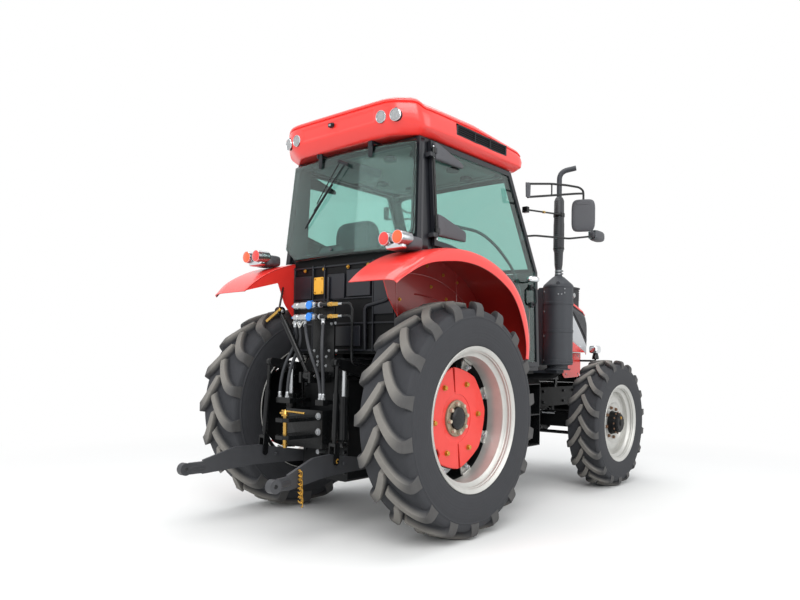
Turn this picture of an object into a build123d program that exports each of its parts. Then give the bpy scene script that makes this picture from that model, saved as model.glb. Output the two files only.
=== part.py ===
"""A four-wheel-drive farm tractor with a two-door cab, parked with its three-point hitch half lowered.

Millimetres. +X is forward, +Y is the driver's left and +Z is up. The origin is on the ground under the middle
of the whole tractor. Stations along the tractor (the x of every table below) are measured forward from the
rear axle, and rear_axle_x carries them into the part's own frame.
"""

from build123d import *
from math import atan2, cos, hypot, radians, sin, sqrt, tan
import os

os.makedirs("parts", exist_ok=True)

# ---------------------------------------------------------------- driving sizes
WHEELBASE = 2681
REAR_TRACK = 1700
FRONT_TRACK = 1640
REAR_TYRE_R = 825
REAR_TYRE_WIDTH = 424
REAR_TREAD_WIDTH = 400
FRONT_TYRE_R = 625
FRONT_TYRE_WIDTH = 314
FRONT_TREAD_WIDTH = 290
TYRE_WALL = 24
TREAD_THICKNESS = 62
REAR_SEAT_R = 483
FRONT_SEAT_R = 356
RIM_FLANGE = 25
RIM_SHEET = 9
REAR_RIM_WIDTH = 400
FRONT_RIM_WIDTH = 294
RIM_WELL = 38
TYRE_SEAT_GAP = 0.3
RUNNING_FIT = 0.05
PART_GAP = 5
SEAT_GAP = 0.3

REAR_Z = REAR_TYRE_R
FRONT_Z = FRONT_TYRE_R
REAR_WHEEL_Y = REAR_TRACK / 2
FRONT_WHEEL_Y = FRONT_TRACK / 2

# hitch: lower links, their ball ends and the lift linkage
LINK_LENGTH = 1019
LINK_PIVOT_X = -280
LINK_PIVOT_Y = 300
LINK_PIVOT_Z = REAR_Z - 345
LINK_SPLAY = 172
LINK_EYE_R = 43
LINK_BORE_R = 14.35
LINK_THICKNESS = 22
LINK_BALL_WIDTH = 45
REAR_REACH = LINK_LENGTH - LINK_PIVOT_X + LINK_EYE_R

# nose weights
WEIGHT_OVERHANG = 920
FRONT_REACH = WHEELBASE + WEIGHT_OVERHANG

rear_axle_x = (REAR_REACH - FRONT_REACH) / 2

SIDES = (("left", 1), ("right", -1))


# ---------------------------------------------------------------- small helpers
def block(x_span, y_span, z_span, mode=Mode.ADD):
    """A box between two stations, two distances across and two heights."""
    size = [high - low for low, high in (x_span, y_span, z_span)]
    middle = [(low + high) / 2 for low, high in (x_span, y_span, z_span)]
    with Locations((middle[0] + rear_axle_x, middle[1], middle[2])):
        Box(*size, mode=mode)


def bar(start, end, radius, mode=Mode.ADD):
    """A round bar between two points (x, y, z)."""
    first = Vector(start[0] + rear_axle_x, start[1], start[2])
    along = Vector(end[0] + rear_axle_x, end[1], end[2]) - first
    with BuildSketch(Plane(origin=first, z_dir=along)) as profile:
        Circle(radius)
    extrude(profile.sketch, amount=along.length, mode=mode)


def cross_bar(x, y_span, z, radius, mode=Mode.ADD):
    """A round bar lying across the tractor."""
    bar((x, y_span[0], z), (x, y_span[1], z), radius, mode=mode)


def long_bar(x_span, y, z, radius, mode=Mode.ADD):
    """A round bar lying along the tractor."""
    bar((x_span[0], y, z), (x_span[1], y, z), radius, mode=mode)


def post(x, y, z_span, radius, mode=Mode.ADD):
    """An upright round bar."""
    bar((x, y, z_span[0]), (x, y, z_span[1]), radius, mode=mode)


def beside(side, near, far):
    """Two distances across on one side of the tractor, lowest first."""
    return sorted((side * near, side * far))


def side_plate(outline, y_span, mode=Mode.ADD):
    """A plate of (x, z) corners seen from the side, between two distances across."""
    with BuildSketch(Plane.XZ.offset(-y_span[1])) as profile:
        with BuildLine():
            Polyline(*[(x + rear_axle_x, z) for x, z in outline], close=True)
        make_face()
    extrude(profile.sketch, amount=y_span[1] - y_span[0], mode=mode)


def cross_plate(outline, x_span, mode=Mode.ADD):
    """A plate of (y, z) corners seen from behind, between two stations."""
    with BuildSketch(Plane.YZ.offset(x_span[0] + rear_axle_x)) as profile:
        with BuildLine():
            Polyline(*outline, close=True)
        make_face()
    extrude(profile.sketch, amount=x_span[1] - x_span[0], mode=mode)


def floor_plate(outline, z_span, mode=Mode.ADD):
    """A plate of (x, y) corners seen from above, between two heights."""
    with BuildSketch(Plane.XY.offset(z_span[0])) as profile:
        with BuildLine():
            Polyline(*[(x + rear_axle_x, y) for x, y in outline], close=True)
        make_face()
    extrude(profile.sketch, amount=z_span[1] - z_span[0], mode=mode)


def casting(x_span, half_width, z_span, cut):
    """A long box centred across the tractor, with its four long edges cut off."""
    low, high = z_span
    half = [(half_width - cut, low), (half_width, low + cut), (half_width, high - cut),
            (half_width - cut, high)]
    cross_plate(half + [(-y, z) for y, z in reversed(half)], x_span)


def wheel_plane(x, y, z):
    """The plane of a wheel's section: its own x runs across the tractor, its own y up from the axle."""
    return Plane(origin=(x + rear_axle_x, y, z), x_dir=(0, 1, 0), z_dir=(1, 0, 0))


def turned(plane, outline):
    """A ring or disc turned about the axle from a closed outline of (across, radius) corners."""
    with BuildSketch(plane) as profile:
        with BuildLine():
            Polyline(*outline, close=True)
        make_face()
    revolve(profile.sketch, axis=Axis(plane.origin, (0, 1, 0)))


def save(piece, name):
    """Labels a finished piece and writes it."""
    piece.part.label = name
    export_step(piece.part, f"parts/{name}.step")


# ---------------------------------------------------------------- tyres and wheels
# end, station, half track, hub height, tyre radius, tyre width, tread width, bead seat radius, rim width
WHEELS = (("rear", 0, REAR_WHEEL_Y, REAR_Z, REAR_TYRE_R, REAR_TYRE_WIDTH, REAR_TREAD_WIDTH, REAR_SEAT_R,
           REAR_RIM_WIDTH), ("front", WHEELBASE, FRONT_WHEEL_Y, FRONT_Z, FRONT_TYRE_R, FRONT_TYRE_WIDTH,
                             FRONT_TREAD_WIDTH, FRONT_SEAT_R, FRONT_RIM_WIDTH), )

REAR_HUB_R = 140
REAR_SHAFT_R = 60
REAR_SHAFT_LENGTH = 150
TRUMPET_END_Y = 700
REAR_DISC_R = 378
REAR_DISC_THICKNESS = 20
REAR_DISC_OFFSET = 10
RIM_LUG_WIDTH = 70
RIM_LUG_COUNT = 8
KINGPIN_Y = 640
FRONT_HUB_R = 118
FRONT_HUB_FACE = 155
FRONT_DISC_OFFSET = 40
FRONT_DISC_THICKNESS = 14
DRUM_END_Y = 800
SPINDLE_R = 45
SPINDLE_LENGTH = 60
RIM_EDGE_SLOPE = 25


def rim_outline(half, seat_r):
    """The rolled rim's section: flanges, bead seats and the dropped well, as (across, radius) corners."""
    flange_r = seat_r + RIM_FLANGE
    well_r = seat_r - RIM_WELL
    seat_end = half - 2 * RIM_EDGE_SLOPE
    well_end = seat_end - RIM_EDGE_SLOPE
    outer = [(half, flange_r), (half - RIM_SHEET, flange_r), (half - RIM_SHEET, seat_r), (seat_end, seat_r),
             (well_end, well_r)]
    inner = [(well_end - RIM_SHEET / 3, well_r - RIM_SHEET), (seat_end - RIM_SHEET / 3, seat_r - RIM_SHEET),
             (half, seat_r - RIM_SHEET)]
    left_outer = [(-y, r) for y, r in reversed(outer)]
    left_inner = [(-y, r) for y, r in reversed(inner)]
    return outer + left_outer + left_inner + inner


for end, station, half_track, hub_z, tyre_r, tyre_width, tread_width, seat_r, rim_width in WHEELS:
    for side_name, side in SIDES:
        section = wheel_plane(station, side * half_track, hub_z)
        bead = rim_width / 2 - RIM_SHEET - TYRE_SEAT_GAP
        bead_r = seat_r + TYRE_SEAT_GAP
        lip_r = seat_r + RIM_FLANGE + TYRE_SEAT_GAP
        belly_r = (tyre_r + seat_r) / 2
        shoulder_r = tyre_r - TREAD_THICKNESS
        with BuildPart() as tyre:
            with BuildSketch(section):
                with BuildLine():
                    Line((-tread_width / 2, tyre_r), (tread_width / 2, tyre_r))
                    Line((tread_width / 2, tyre_r), (tread_width / 2, shoulder_r))
                    ThreePointArc((tread_width / 2, shoulder_r), (tyre_width / 2, belly_r), (bead, lip_r))
                    Line((bead, lip_r), (bead, bead_r))
                    Line((bead, bead_r), (bead - 2 * TYRE_WALL, bead_r))
                    ThreePointArc((bead - 2 * TYRE_WALL, bead_r), (tyre_width / 2 - TYRE_WALL, belly_r),
                                  (tread_width / 2 - TREAD_THICKNESS, shoulder_r))
                    Line((tread_width / 2 - TREAD_THICKNESS, shoulder_r), (0, shoulder_r))
                    Line((0, shoulder_r), (TREAD_THICKNESS - tread_width / 2, shoulder_r))
                    ThreePointArc((TREAD_THICKNESS - tread_width / 2, shoulder_r),
                                  (TYRE_WALL - tyre_width / 2, belly_r), (2 * TYRE_WALL - bead, bead_r))
                    Line((2 * TYRE_WALL - bead, bead_r), (-bead, bead_r))
                    Line((-bead, bead_r), (-bead, lip_r))
                    ThreePointArc((-bead, lip_r), (-tyre_width / 2, belly_r),
                                  (-tread_width / 2, shoulder_r))
                    Line((-tread_width / 2, shoulder_r), (-tread_width / 2, tyre_r))
                make_face()
            revolve(axis=Axis(section.origin, (0, 1, 0)))
        save(tyre, f"tyre_{end}_{side_name}")

        well_r = seat_r - RIM_WELL - RIM_SHEET
        with BuildPart() as wheel:
            turned(section, rim_outline(rim_width / 2, seat_r))
            if end == "rear":
                disc_in = side * REAR_DISC_OFFSET
                disc_out = side * (REAR_DISC_OFFSET + REAR_DISC_THICKNESS)
                hub_in = side * (TRUMPET_END_Y + PART_GAP - half_track)
                shaft_in = side * (TRUMPET_END_Y - REAR_SHAFT_LENGTH - half_track)
                turned(section,
                       [(disc_in, 0), (disc_out, 0), (disc_out, REAR_DISC_R), (disc_in, REAR_DISC_R)])
                turned(section, [(hub_in, 0), (disc_in, 0), (disc_in, REAR_HUB_R), (hub_in, REAR_HUB_R)])
                turned(section,
                       [(shaft_in, 0), (hub_in, 0), (hub_in, REAR_SHAFT_R), (shaft_in, REAR_SHAFT_R)])
                lug_y = side * (half_track + REAR_DISC_OFFSET - REAR_DISC_THICKNESS / 2)
                lug_length = well_r - REAR_DISC_R + 2 * RIM_EDGE_SLOPE
                lug_place = Plane(origin=(station + rear_axle_x, lug_y, hub_z), x_dir=(1, 0, 0),
                                  z_dir=(0, 1, 0))
                with Locations(lug_place):
                    with PolarLocations(well_r - lug_length / 2 + RIM_SHEET / 2, RIM_LUG_COUNT):
                        Box(lug_length, RIM_LUG_WIDTH, REAR_DISC_THICKNESS)
            else:
                disc_in = side * FRONT_DISC_OFFSET
                disc_out = side * (FRONT_DISC_OFFSET + FRONT_DISC_THICKNESS)
                face = side * FRONT_HUB_FACE
                hub_in = side * (DRUM_END_Y + PART_GAP - half_track)
                shaft_in = side * (DRUM_END_Y - SPINDLE_LENGTH - half_track)
                turned(section, [(disc_in, 0), (disc_out, 0), (disc_out, well_r + RIM_SHEET / 2),
                                 (disc_in, well_r + RIM_SHEET / 2)])
                turned(section, [(hub_in, 0), (face, 0), (face, FRONT_HUB_R), (hub_in, FRONT_HUB_R)])
                turned(section, [(shaft_in, 0), (hub_in, 0), (hub_in, SPINDLE_R), (shaft_in, SPINDLE_R)])
        save(wheel, f"wheel_{end}_{side_name}")

# ---------------------------------------------------------------- gearbox, rear axle and shafts
HOUSING_REAR_X = -430
HOUSING_FRONT_X = 330
HOUSING_Y = 235
HOUSING_BOTTOM_Z = REAR_Z - 475
HOUSING_TOP_Z = REAR_Z + 275
GEARBOX_FRONT_X = 1500
GEARBOX_Y = 190
GEARBOX_BOTTOM_Z = REAR_Z - 185
GEARBOX_TOP_Z = REAR_Z + 175
BELL_BOTTOM_Z = REAR_Z - 130
COVER_FRONT_X = 150
COVER_Y = 205
COVER_TOP_Z = REAR_Z + 415
TRUMPET_ROOT_R = 150
TRUMPET_END_R = 112
TRUMPET_FLANGE_R = 178
TRUMPET_FLANGE_THICKNESS = 30
PTO_R = 17.46
PTO_Z = REAR_Z - 270
PTO_LENGTH = 76
PTO_ROOT_R = 22
PTO_SEAT_DEPTH = 60
SHAFT_GUARD_R = 42
DROP_BOX_FRONT_X = 1180
DROP_BOX_LENGTH = 240
DROP_BOX_Y = 120
DROP_BOX_BOTTOM_Z = REAR_Z - 270
DRIVE_SHAFT_Z = FRONT_Z
NOSE_R = 80
NOSE_LENGTH = 300
CASTING_CUT = 20
LIFT_SHAFT_X = -280
LIFT_SHAFT_Z = REAR_Z + 305
LIFT_SHAFT_R = 42
LIFT_SHAFT_BOSS_R = 62
LIFT_SHAFT_BOSS_Y = 225
LINK_PIN_R = 14

with BuildPart() as transmission_housing:
    casting((HOUSING_REAR_X, HOUSING_FRONT_X), HOUSING_Y, (HOUSING_BOTTOM_Z, HOUSING_TOP_Z), CASTING_CUT)
    casting((HOUSING_FRONT_X, DROP_BOX_FRONT_X), GEARBOX_Y, (GEARBOX_BOTTOM_Z, GEARBOX_TOP_Z), CASTING_CUT)
    casting((DROP_BOX_FRONT_X, GEARBOX_FRONT_X), GEARBOX_Y, (BELL_BOTTOM_Z, GEARBOX_TOP_Z), CASTING_CUT)
    casting((HOUSING_REAR_X, COVER_FRONT_X), COVER_Y, (HOUSING_TOP_Z - CASTING_CUT, COVER_TOP_Z),
            CASTING_CUT)
    casting((DROP_BOX_FRONT_X - DROP_BOX_LENGTH, DROP_BOX_FRONT_X), DROP_BOX_Y,
            (DROP_BOX_BOTTOM_Z, GEARBOX_BOTTOM_Z + CASTING_CUT), CASTING_CUT)
    cross_bar(LIFT_SHAFT_X, (-LIFT_SHAFT_BOSS_Y, LIFT_SHAFT_BOSS_Y), LIFT_SHAFT_Z, LIFT_SHAFT_BOSS_R)
    cross_bar(LIFT_SHAFT_X, (-HOUSING_Y, HOUSING_Y), LIFT_SHAFT_Z, LIFT_SHAFT_R + RUNNING_FIT,
              mode=Mode.SUBTRACT)
    long_bar((HOUSING_REAR_X, HOUSING_REAR_X + PTO_SEAT_DEPTH), 0, PTO_Z, PTO_ROOT_R + RUNNING_FIT,
             mode=Mode.SUBTRACT)
    long_bar((DROP_BOX_FRONT_X, DROP_BOX_FRONT_X - PTO_SEAT_DEPTH), 0, DRIVE_SHAFT_Z,
             SHAFT_GUARD_R + SEAT_GAP, mode=Mode.SUBTRACT)
    for side_name, side in SIDES:
        cross_bar(LINK_PIVOT_X, (side * (HOUSING_Y - 1), side * (LINK_PIVOT_Y + LINK_BALL_WIDTH)),
                  LINK_PIVOT_Z, LINK_PIN_R)
save(transmission_housing, "transmission_housing")

with BuildPart() as rear_axle:
    for side_name, side in SIDES:
        root = side * HOUSING_Y
        flange = side * (HOUSING_Y + TRUMPET_FLANGE_THICKNESS)
        tip = side * TRUMPET_END_Y
        bore_end = side * (TRUMPET_END_Y - REAR_SHAFT_LENGTH - PART_GAP)
        bore_r = REAR_SHAFT_R + RUNNING_FIT
        turned(wheel_plane(0, 0, REAR_Z),
               [(root, 0), (root, TRUMPET_FLANGE_R), (flange, TRUMPET_FLANGE_R), (flange, TRUMPET_ROOT_R),
                (tip, TRUMPET_END_R), (tip, bore_r), (bore_end, bore_r), (bore_end, 0)])
save(rear_axle, "rear_axle")

with BuildPart() as pto_shaft:
    long_bar((HOUSING_REAR_X + PTO_SEAT_DEPTH, HOUSING_REAR_X), 0, PTO_Z, PTO_ROOT_R)
    long_bar((HOUSING_REAR_X + 1, HOUSING_REAR_X - PTO_LENGTH), 0, PTO_Z, PTO_R)
save(pto_shaft, "pto_shaft")

with BuildPart() as front_drive_shaft:
    long_bar((DROP_BOX_FRONT_X - PTO_SEAT_DEPTH, WHEELBASE - NOSE_LENGTH), 0, DRIVE_SHAFT_Z, SHAFT_GUARD_R)
save(front_drive_shaft, "front_drive_shaft")

# ---------------------------------------------------------------- engine and front frame
ENGINE_REAR_X = GEARBOX_FRONT_X
ENGINE_FRONT_X = 2440
ENGINE_Y = 185
ENGINE_BOTTOM_Z = REAR_Z - 105
ENGINE_TOP_Z = REAR_Z + 675
HOOD_HINGE_X = 1530
HOOD_HINGE_Y = 155
HOOD_HINGE_Z = REAR_Z + 1105
HOOD_HINGE_R = 13
HOOD_HINGE_WIDTH = 26
HOOD_PIN_R = 7
RAIL_Y = 225
RAIL_THICKNESS = 32
RAIL_BOTTOM_Z = REAR_Z - 65
RAIL_TOP_Z = REAR_Z + 135
FRAME_HEAD_LENGTH = 280
FRAME_FRONT_X = WHEELBASE + 649
AXLE_HANGER_NEAR = 165
AXLE_HANGER_FAR = 225
AXLE_HANGER_Y = 115
AXLE_HANGER_BOTTOM_Z = FRONT_Z - 85
TRUNNION_R = 70

with BuildPart() as engine_block:
    block((ENGINE_REAR_X, ENGINE_FRONT_X), (-ENGINE_Y, ENGINE_Y), (ENGINE_BOTTOM_Z, ENGINE_TOP_Z))
    for side_name, side in SIDES:
        hanger = beside(side, HOOD_HINGE_Y - 2, HOOD_HINGE_Y - 14)
        block((HOOD_HINGE_X - HOOD_HINGE_R, HOOD_HINGE_X + HOOD_HINGE_R), hanger,
              (ENGINE_TOP_Z - 1, HOOD_HINGE_Z + HOOD_HINGE_R))
        cross_bar(HOOD_HINGE_X, (side * (HOOD_HINGE_Y - 8), side * (HOOD_HINGE_Y + HOOD_HINGE_WIDTH)),
                  HOOD_HINGE_Z, HOOD_PIN_R)
save(engine_block, "engine_block")

with BuildPart() as front_frame:
    for side_name, side in SIDES:
        inner = side * (RAIL_Y - RAIL_THICKNESS)
        outer = side * RAIL_Y
        block((ENGINE_REAR_X, FRAME_FRONT_X), sorted((inner, outer)), (RAIL_BOTTOM_Z, RAIL_TOP_Z))
    block((FRAME_FRONT_X - FRAME_HEAD_LENGTH, FRAME_FRONT_X), (-RAIL_Y, RAIL_Y),
          (RAIL_BOTTOM_Z - 60, RAIL_TOP_Z))
    for near, far in ((-AXLE_HANGER_FAR, -AXLE_HANGER_NEAR), (AXLE_HANGER_NEAR, AXLE_HANGER_FAR)):
        block((WHEELBASE + near, WHEELBASE + far), (-AXLE_HANGER_Y, AXLE_HANGER_Y),
              (AXLE_HANGER_BOTTOM_Z, RAIL_BOTTOM_Z))
        block((WHEELBASE + near, WHEELBASE + far), (-RAIL_Y, RAIL_Y), (RAIL_BOTTOM_Z - 1, RAIL_TOP_Z - 60))
    long_bar((WHEELBASE - AXLE_HANGER_FAR, WHEELBASE + AXLE_HANGER_FAR), 0, FRONT_Z,
             TRUNNION_R + RUNNING_FIT, mode=Mode.SUBTRACT)
save(front_frame, "front_frame")

# ---------------------------------------------------------------- front axle, knuckles and steering
DIFF_R = 145
DIFF_HALF_LENGTH = 120
BEAM_HALF_DEPTH = 62
BEAM_HALF_HEIGHT = 72
YOKE_Y = 572
YOKE_THICKNESS = 30
YOKE_HALF_HEIGHT = 190
YOKE_ARM_THICKNESS = 38
YOKE_BOSS_R = 55
KINGPIN_R = 25
KNUCKLE_BOSS_R = 66
KNUCKLE_DRUM_R = 150
KNUCKLE_DRUM_Y = 712
STEER_ARM_REACH = 200
STEER_ARM_THICKNESS = 25
STEER_ARM_BOSS_R = 30
STEER_ARM_Z = FRONT_Z - 98
STEER_PIN_R = 14
TIE_ROD_R = 17
TIE_EYE_R = 27
TIE_EYE_HEIGHT = 32
TIE_EYE_GAP = 1

with BuildPart() as front_axle:
    cross_bar(WHEELBASE, (-DIFF_HALF_LENGTH, DIFF_HALF_LENGTH), FRONT_Z, DIFF_R)
    long_bar((WHEELBASE - NOSE_LENGTH, WHEELBASE + AXLE_HANGER_FAR), 0, FRONT_Z, TRUNNION_R)
    long_bar((WHEELBASE - NOSE_LENGTH, WHEELBASE - AXLE_HANGER_FAR - PART_GAP), 0, FRONT_Z, NOSE_R)
    for side_name, side in SIDES:
        span = sorted((0, side * YOKE_Y))
        block((WHEELBASE - BEAM_HALF_DEPTH, WHEELBASE + BEAM_HALF_DEPTH), span,
              (FRONT_Z - BEAM_HALF_HEIGHT, FRONT_Z + BEAM_HALF_HEIGHT))
        wall = beside(side, YOKE_Y - YOKE_THICKNESS, YOKE_Y)
        block((WHEELBASE - BEAM_HALF_DEPTH, WHEELBASE + BEAM_HALF_DEPTH), wall,
              (FRONT_Z - YOKE_HALF_HEIGHT, FRONT_Z + YOKE_HALF_HEIGHT))
        for low in (-YOKE_HALF_HEIGHT, YOKE_HALF_HEIGHT - YOKE_ARM_THICKNESS):
            arm = beside(side, YOKE_Y - 1, KINGPIN_Y)
            heights = (FRONT_Z + low, FRONT_Z + low + YOKE_ARM_THICKNESS)
            block((WHEELBASE - YOKE_BOSS_R, WHEELBASE + YOKE_BOSS_R), arm, heights)
            boss_y = side * KINGPIN_Y
            post(WHEELBASE, boss_y, (heights[0], heights[1]), YOKE_BOSS_R)
            post(WHEELBASE, boss_y, (heights[0], heights[1]), KINGPIN_R + RUNNING_FIT, mode=Mode.SUBTRACT)
save(front_axle, "front_axle")

knuckle_half = YOKE_HALF_HEIGHT - YOKE_ARM_THICKNESS - 1
for side_name, side in SIDES:
    pin_y = side * KINGPIN_Y
    drum_y = side * KNUCKLE_DRUM_Y
    arm_end = WHEELBASE - STEER_ARM_REACH
    with BuildPart() as knuckle:
        post(WHEELBASE, pin_y, (FRONT_Z - knuckle_half, FRONT_Z + knuckle_half), KNUCKLE_BOSS_R)
        post(WHEELBASE, pin_y, (FRONT_Z - YOKE_HALF_HEIGHT, FRONT_Z + YOKE_HALF_HEIGHT), KINGPIN_R)
        cross_bar(WHEELBASE, (pin_y, drum_y), FRONT_Z, KNUCKLE_BOSS_R)
        cross_bar(WHEELBASE, (drum_y, side * DRUM_END_Y), FRONT_Z, KNUCKLE_DRUM_R)
        cross_bar(WHEELBASE, (side * DRUM_END_Y, side * (DRUM_END_Y - SPINDLE_LENGTH - PART_GAP)), FRONT_Z,
                  SPINDLE_R + RUNNING_FIT, mode=Mode.SUBTRACT)
        floor_plate([(WHEELBASE - 60, drum_y), (WHEELBASE - 60, drum_y + side * 60),
                     (WHEELBASE - 120, drum_y + side * 60), (arm_end - 22, pin_y + side * 22),
                     (arm_end + 22, pin_y - side * 22)], (STEER_ARM_Z, STEER_ARM_Z + STEER_ARM_THICKNESS))
        post(arm_end, pin_y, (STEER_ARM_Z, STEER_ARM_Z + STEER_ARM_THICKNESS), STEER_ARM_BOSS_R)
        post(arm_end, pin_y, (STEER_ARM_Z - TIE_EYE_GAP - TIE_EYE_HEIGHT, STEER_ARM_Z), STEER_PIN_R)
    save(knuckle, f"knuckle_{side_name}")

tie_x = WHEELBASE - STEER_ARM_REACH
tie_top = STEER_ARM_Z - TIE_EYE_GAP
tie_middle = tie_top - TIE_EYE_HEIGHT / 2
with BuildPart() as tie_rod:
    cross_bar(tie_x, (-KINGPIN_Y + TIE_EYE_R / 2, KINGPIN_Y - TIE_EYE_R / 2), tie_middle, TIE_ROD_R)
    for side_name, side in SIDES:
        top = (tie_x, side * KINGPIN_Y, tie_top)
        bottom = (tie_x, side * KINGPIN_Y, tie_top - TIE_EYE_HEIGHT)
        bar(bottom, top, TIE_EYE_R)
        bar((bottom[0], bottom[1], bottom[2] - TIE_ROD_R), (top[0], top[1], top[2] + TIE_ROD_R),
            STEER_PIN_R + RUNNING_FIT, mode=Mode.SUBTRACT)
save(tie_rod, "tie_rod")

# ---------------------------------------------------------------- front weights
WEIGHT_COUNT = 8
WEIGHT_PITCH = 62
WEIGHT_THICKNESS = 60
with BuildPart() as front_weights:
    block((FRAME_FRONT_X, FRAME_FRONT_X + 90),
          (-WEIGHT_COUNT * WEIGHT_PITCH / 2, WEIGHT_COUNT * WEIGHT_PITCH / 2),
          (RAIL_BOTTOM_Z + 10, RAIL_TOP_Z - 20))
    for index in range(WEIGHT_COUNT):
        middle = (index - (WEIGHT_COUNT - 1) / 2) * WEIGHT_PITCH
        side_plate([(FRAME_FRONT_X + 80, RAIL_TOP_Z - 22), (FRAME_FRONT_X + 20, RAIL_TOP_Z - 22),
                    (FRAME_FRONT_X + 20, RAIL_TOP_Z + 20), (FRAME_FRONT_X + 150, RAIL_TOP_Z + 20),
                    (FRONT_REACH, RAIL_TOP_Z - 60), (FRONT_REACH, RAIL_BOTTOM_Z - 90),
                    (FRAME_FRONT_X + 120, RAIL_BOTTOM_Z - 130), (FRAME_FRONT_X + 80, RAIL_BOTTOM_Z - 60)],
                   (middle - WEIGHT_THICKNESS / 2, middle + WEIGHT_THICKNESS / 2))
save(front_weights, "front_weights")

# ---------------------------------------------------------------- hood, side panels and nose
HOOD_REAR_X = 1500
HOOD_FRONT_X = WHEELBASE + 466
HOOD_Y = 400
HOOD_SHEET = 8
HOOD_SIDE_Z = REAR_Z + 505
HOOD_TOP_REAR_Z = REAR_Z + 1150
HOOD_TOP_MID_X = 2260
HOOD_TOP_MID_Z = REAR_Z + 1095
HOOD_TOP_FRONT_X = WHEELBASE + 446
HOOD_TOP_FRONT_Z = REAR_Z + 892
HOOD_BROW_Z = REAR_Z + 770
INTAKE_X = (2880, 3050)
INTAKE_Y = (-330, -160)
INTAKE_FOOT_Z = REAR_Z + 870
INTAKE_TOP_Z = REAR_Z + 1118
LOWER_PANEL_Y = 325
LOWER_PANEL_REAR_X = 2070
LOWER_PANEL_BOTTOM_Z = REAR_Z + 168
LOWER_PANEL_FRONT_X = WHEELBASE + 430

hood_outline = [(HOOD_REAR_X, HOOD_SIDE_Z), (HOOD_FRONT_X, HOOD_SIDE_Z), (HOOD_FRONT_X - 8, HOOD_BROW_Z),
                (HOOD_TOP_FRONT_X, HOOD_TOP_FRONT_Z), (HOOD_TOP_MID_X, HOOD_TOP_MID_Z),
                (HOOD_REAR_X, HOOD_TOP_REAR_Z)]
hollow_outline = [(HOOD_REAR_X - 1, HOOD_SIDE_Z - 1), (HOOD_FRONT_X - HOOD_SHEET, HOOD_SIDE_Z - 1),
                  (HOOD_FRONT_X - 8 - HOOD_SHEET, HOOD_BROW_Z),
                  (HOOD_TOP_FRONT_X - HOOD_SHEET, HOOD_TOP_FRONT_Z - HOOD_SHEET),
                  (HOOD_TOP_MID_X, HOOD_TOP_MID_Z - HOOD_SHEET),
                  (HOOD_REAR_X - 1, HOOD_TOP_REAR_Z - HOOD_SHEET)]
with BuildPart() as hood:
    side_plate(hood_outline, (-HOOD_Y, HOOD_Y))
    side_plate(hollow_outline, (-HOOD_Y + HOOD_SHEET, HOOD_Y - HOOD_SHEET), mode=Mode.SUBTRACT)
    block(INTAKE_X, INTAKE_Y, (INTAKE_FOOT_Z, INTAKE_TOP_Z))
    for side_name, side in SIDES:
        knuckle = beside(side, HOOD_HINGE_Y, HOOD_HINGE_Y + HOOD_HINGE_WIDTH)
        cross_bar(HOOD_HINGE_X, (knuckle[0], knuckle[1]), HOOD_HINGE_Z, HOOD_HINGE_R)
        block((HOOD_HINGE_X - HOOD_HINGE_R, HOOD_HINGE_X + HOOD_HINGE_R), knuckle,
              (HOOD_HINGE_Z, HOOD_TOP_REAR_Z - HOOD_SHEET + 1))
        cross_bar(HOOD_HINGE_X, (knuckle[0] - 1, knuckle[1] + 1), HOOD_HINGE_Z, HOOD_PIN_R + RUNNING_FIT,
                  mode=Mode.SUBTRACT)
save(hood, "hood")

with BuildPart() as lower_panels:
    for side_name, side in SIDES:
        side_plate([(LOWER_PANEL_REAR_X, HOOD_SIDE_Z - PART_GAP),
                    (LOWER_PANEL_REAR_X + 120, LOWER_PANEL_BOTTOM_Z + 60), (2560, LOWER_PANEL_BOTTOM_Z),
                    (LOWER_PANEL_FRONT_X, LOWER_PANEL_BOTTOM_Z),
                    (LOWER_PANEL_FRONT_X, HOOD_SIDE_Z - PART_GAP)],
                   beside(side, LOWER_PANEL_Y, LOWER_PANEL_Y - HOOD_SHEET))
    block((LOWER_PANEL_FRONT_X - HOOD_SHEET, LOWER_PANEL_FRONT_X), (-LOWER_PANEL_Y, LOWER_PANEL_Y),
          (LOWER_PANEL_BOTTOM_Z, HOOD_SIDE_Z - PART_GAP))
    for station in (2560, LOWER_PANEL_FRONT_X - 60):
        block((station, station + 40), (-LOWER_PANEL_Y, LOWER_PANEL_Y),
              (RAIL_TOP_Z, RAIL_TOP_Z + 40))
        for side_name, side in SIDES:
            block((station, station + 40), beside(side, LOWER_PANEL_Y - HOOD_SHEET, LOWER_PANEL_Y - 40),
                  (RAIL_TOP_Z + 39, LOWER_PANEL_BOTTOM_Z + 60))
save(lower_panels, "lower_panels")

# ---------------------------------------------------------------- cab: shared planes and outlines
SILL_Z = REAR_Z + 325
CAB_TOP_Z = REAR_Z + 2005
SIDE_LEAN = 3.5
SIDE_SILL_Y = 745
POST = 56
FRAME_THICKNESS = 44
REAR_TOP_X = -156
REAR_LOW_X = -235
REAR_LOW_Z = REAR_Z + 1190
FRONT_TOP_X = 1060
FRONT_KNEE_X = 1440
FRONT_KNEE_Z = REAR_Z + 1180
FRONT_SILL_X = 1400
GLASS = 6
SEAL_GAP = 6
DOOR_THICKNESS = 26
DOOR_FRAME_WIDTH = 38
DOOR_OVERLAP = 22


def side_y(z, out=0):
    """How far across the cab's leaning side stands at a height, plus a distance out from it."""
    return SIDE_SILL_Y - (z - SILL_Z) * tan(radians(SIDE_LEAN)) + out


def leaning(side, out):
    """A cab side's plane: its y runs up the leaning side, and its normal points out of the cab."""
    lean = radians(SIDE_LEAN)
    normal = Vector(0, side * cos(lean), sin(lean))
    start = Vector(rear_axle_x, side * SIDE_SILL_Y, SILL_Z) + normal * out
    return Plane(origin=start, x_dir=(-side, 0, 0), z_dir=normal)


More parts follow.
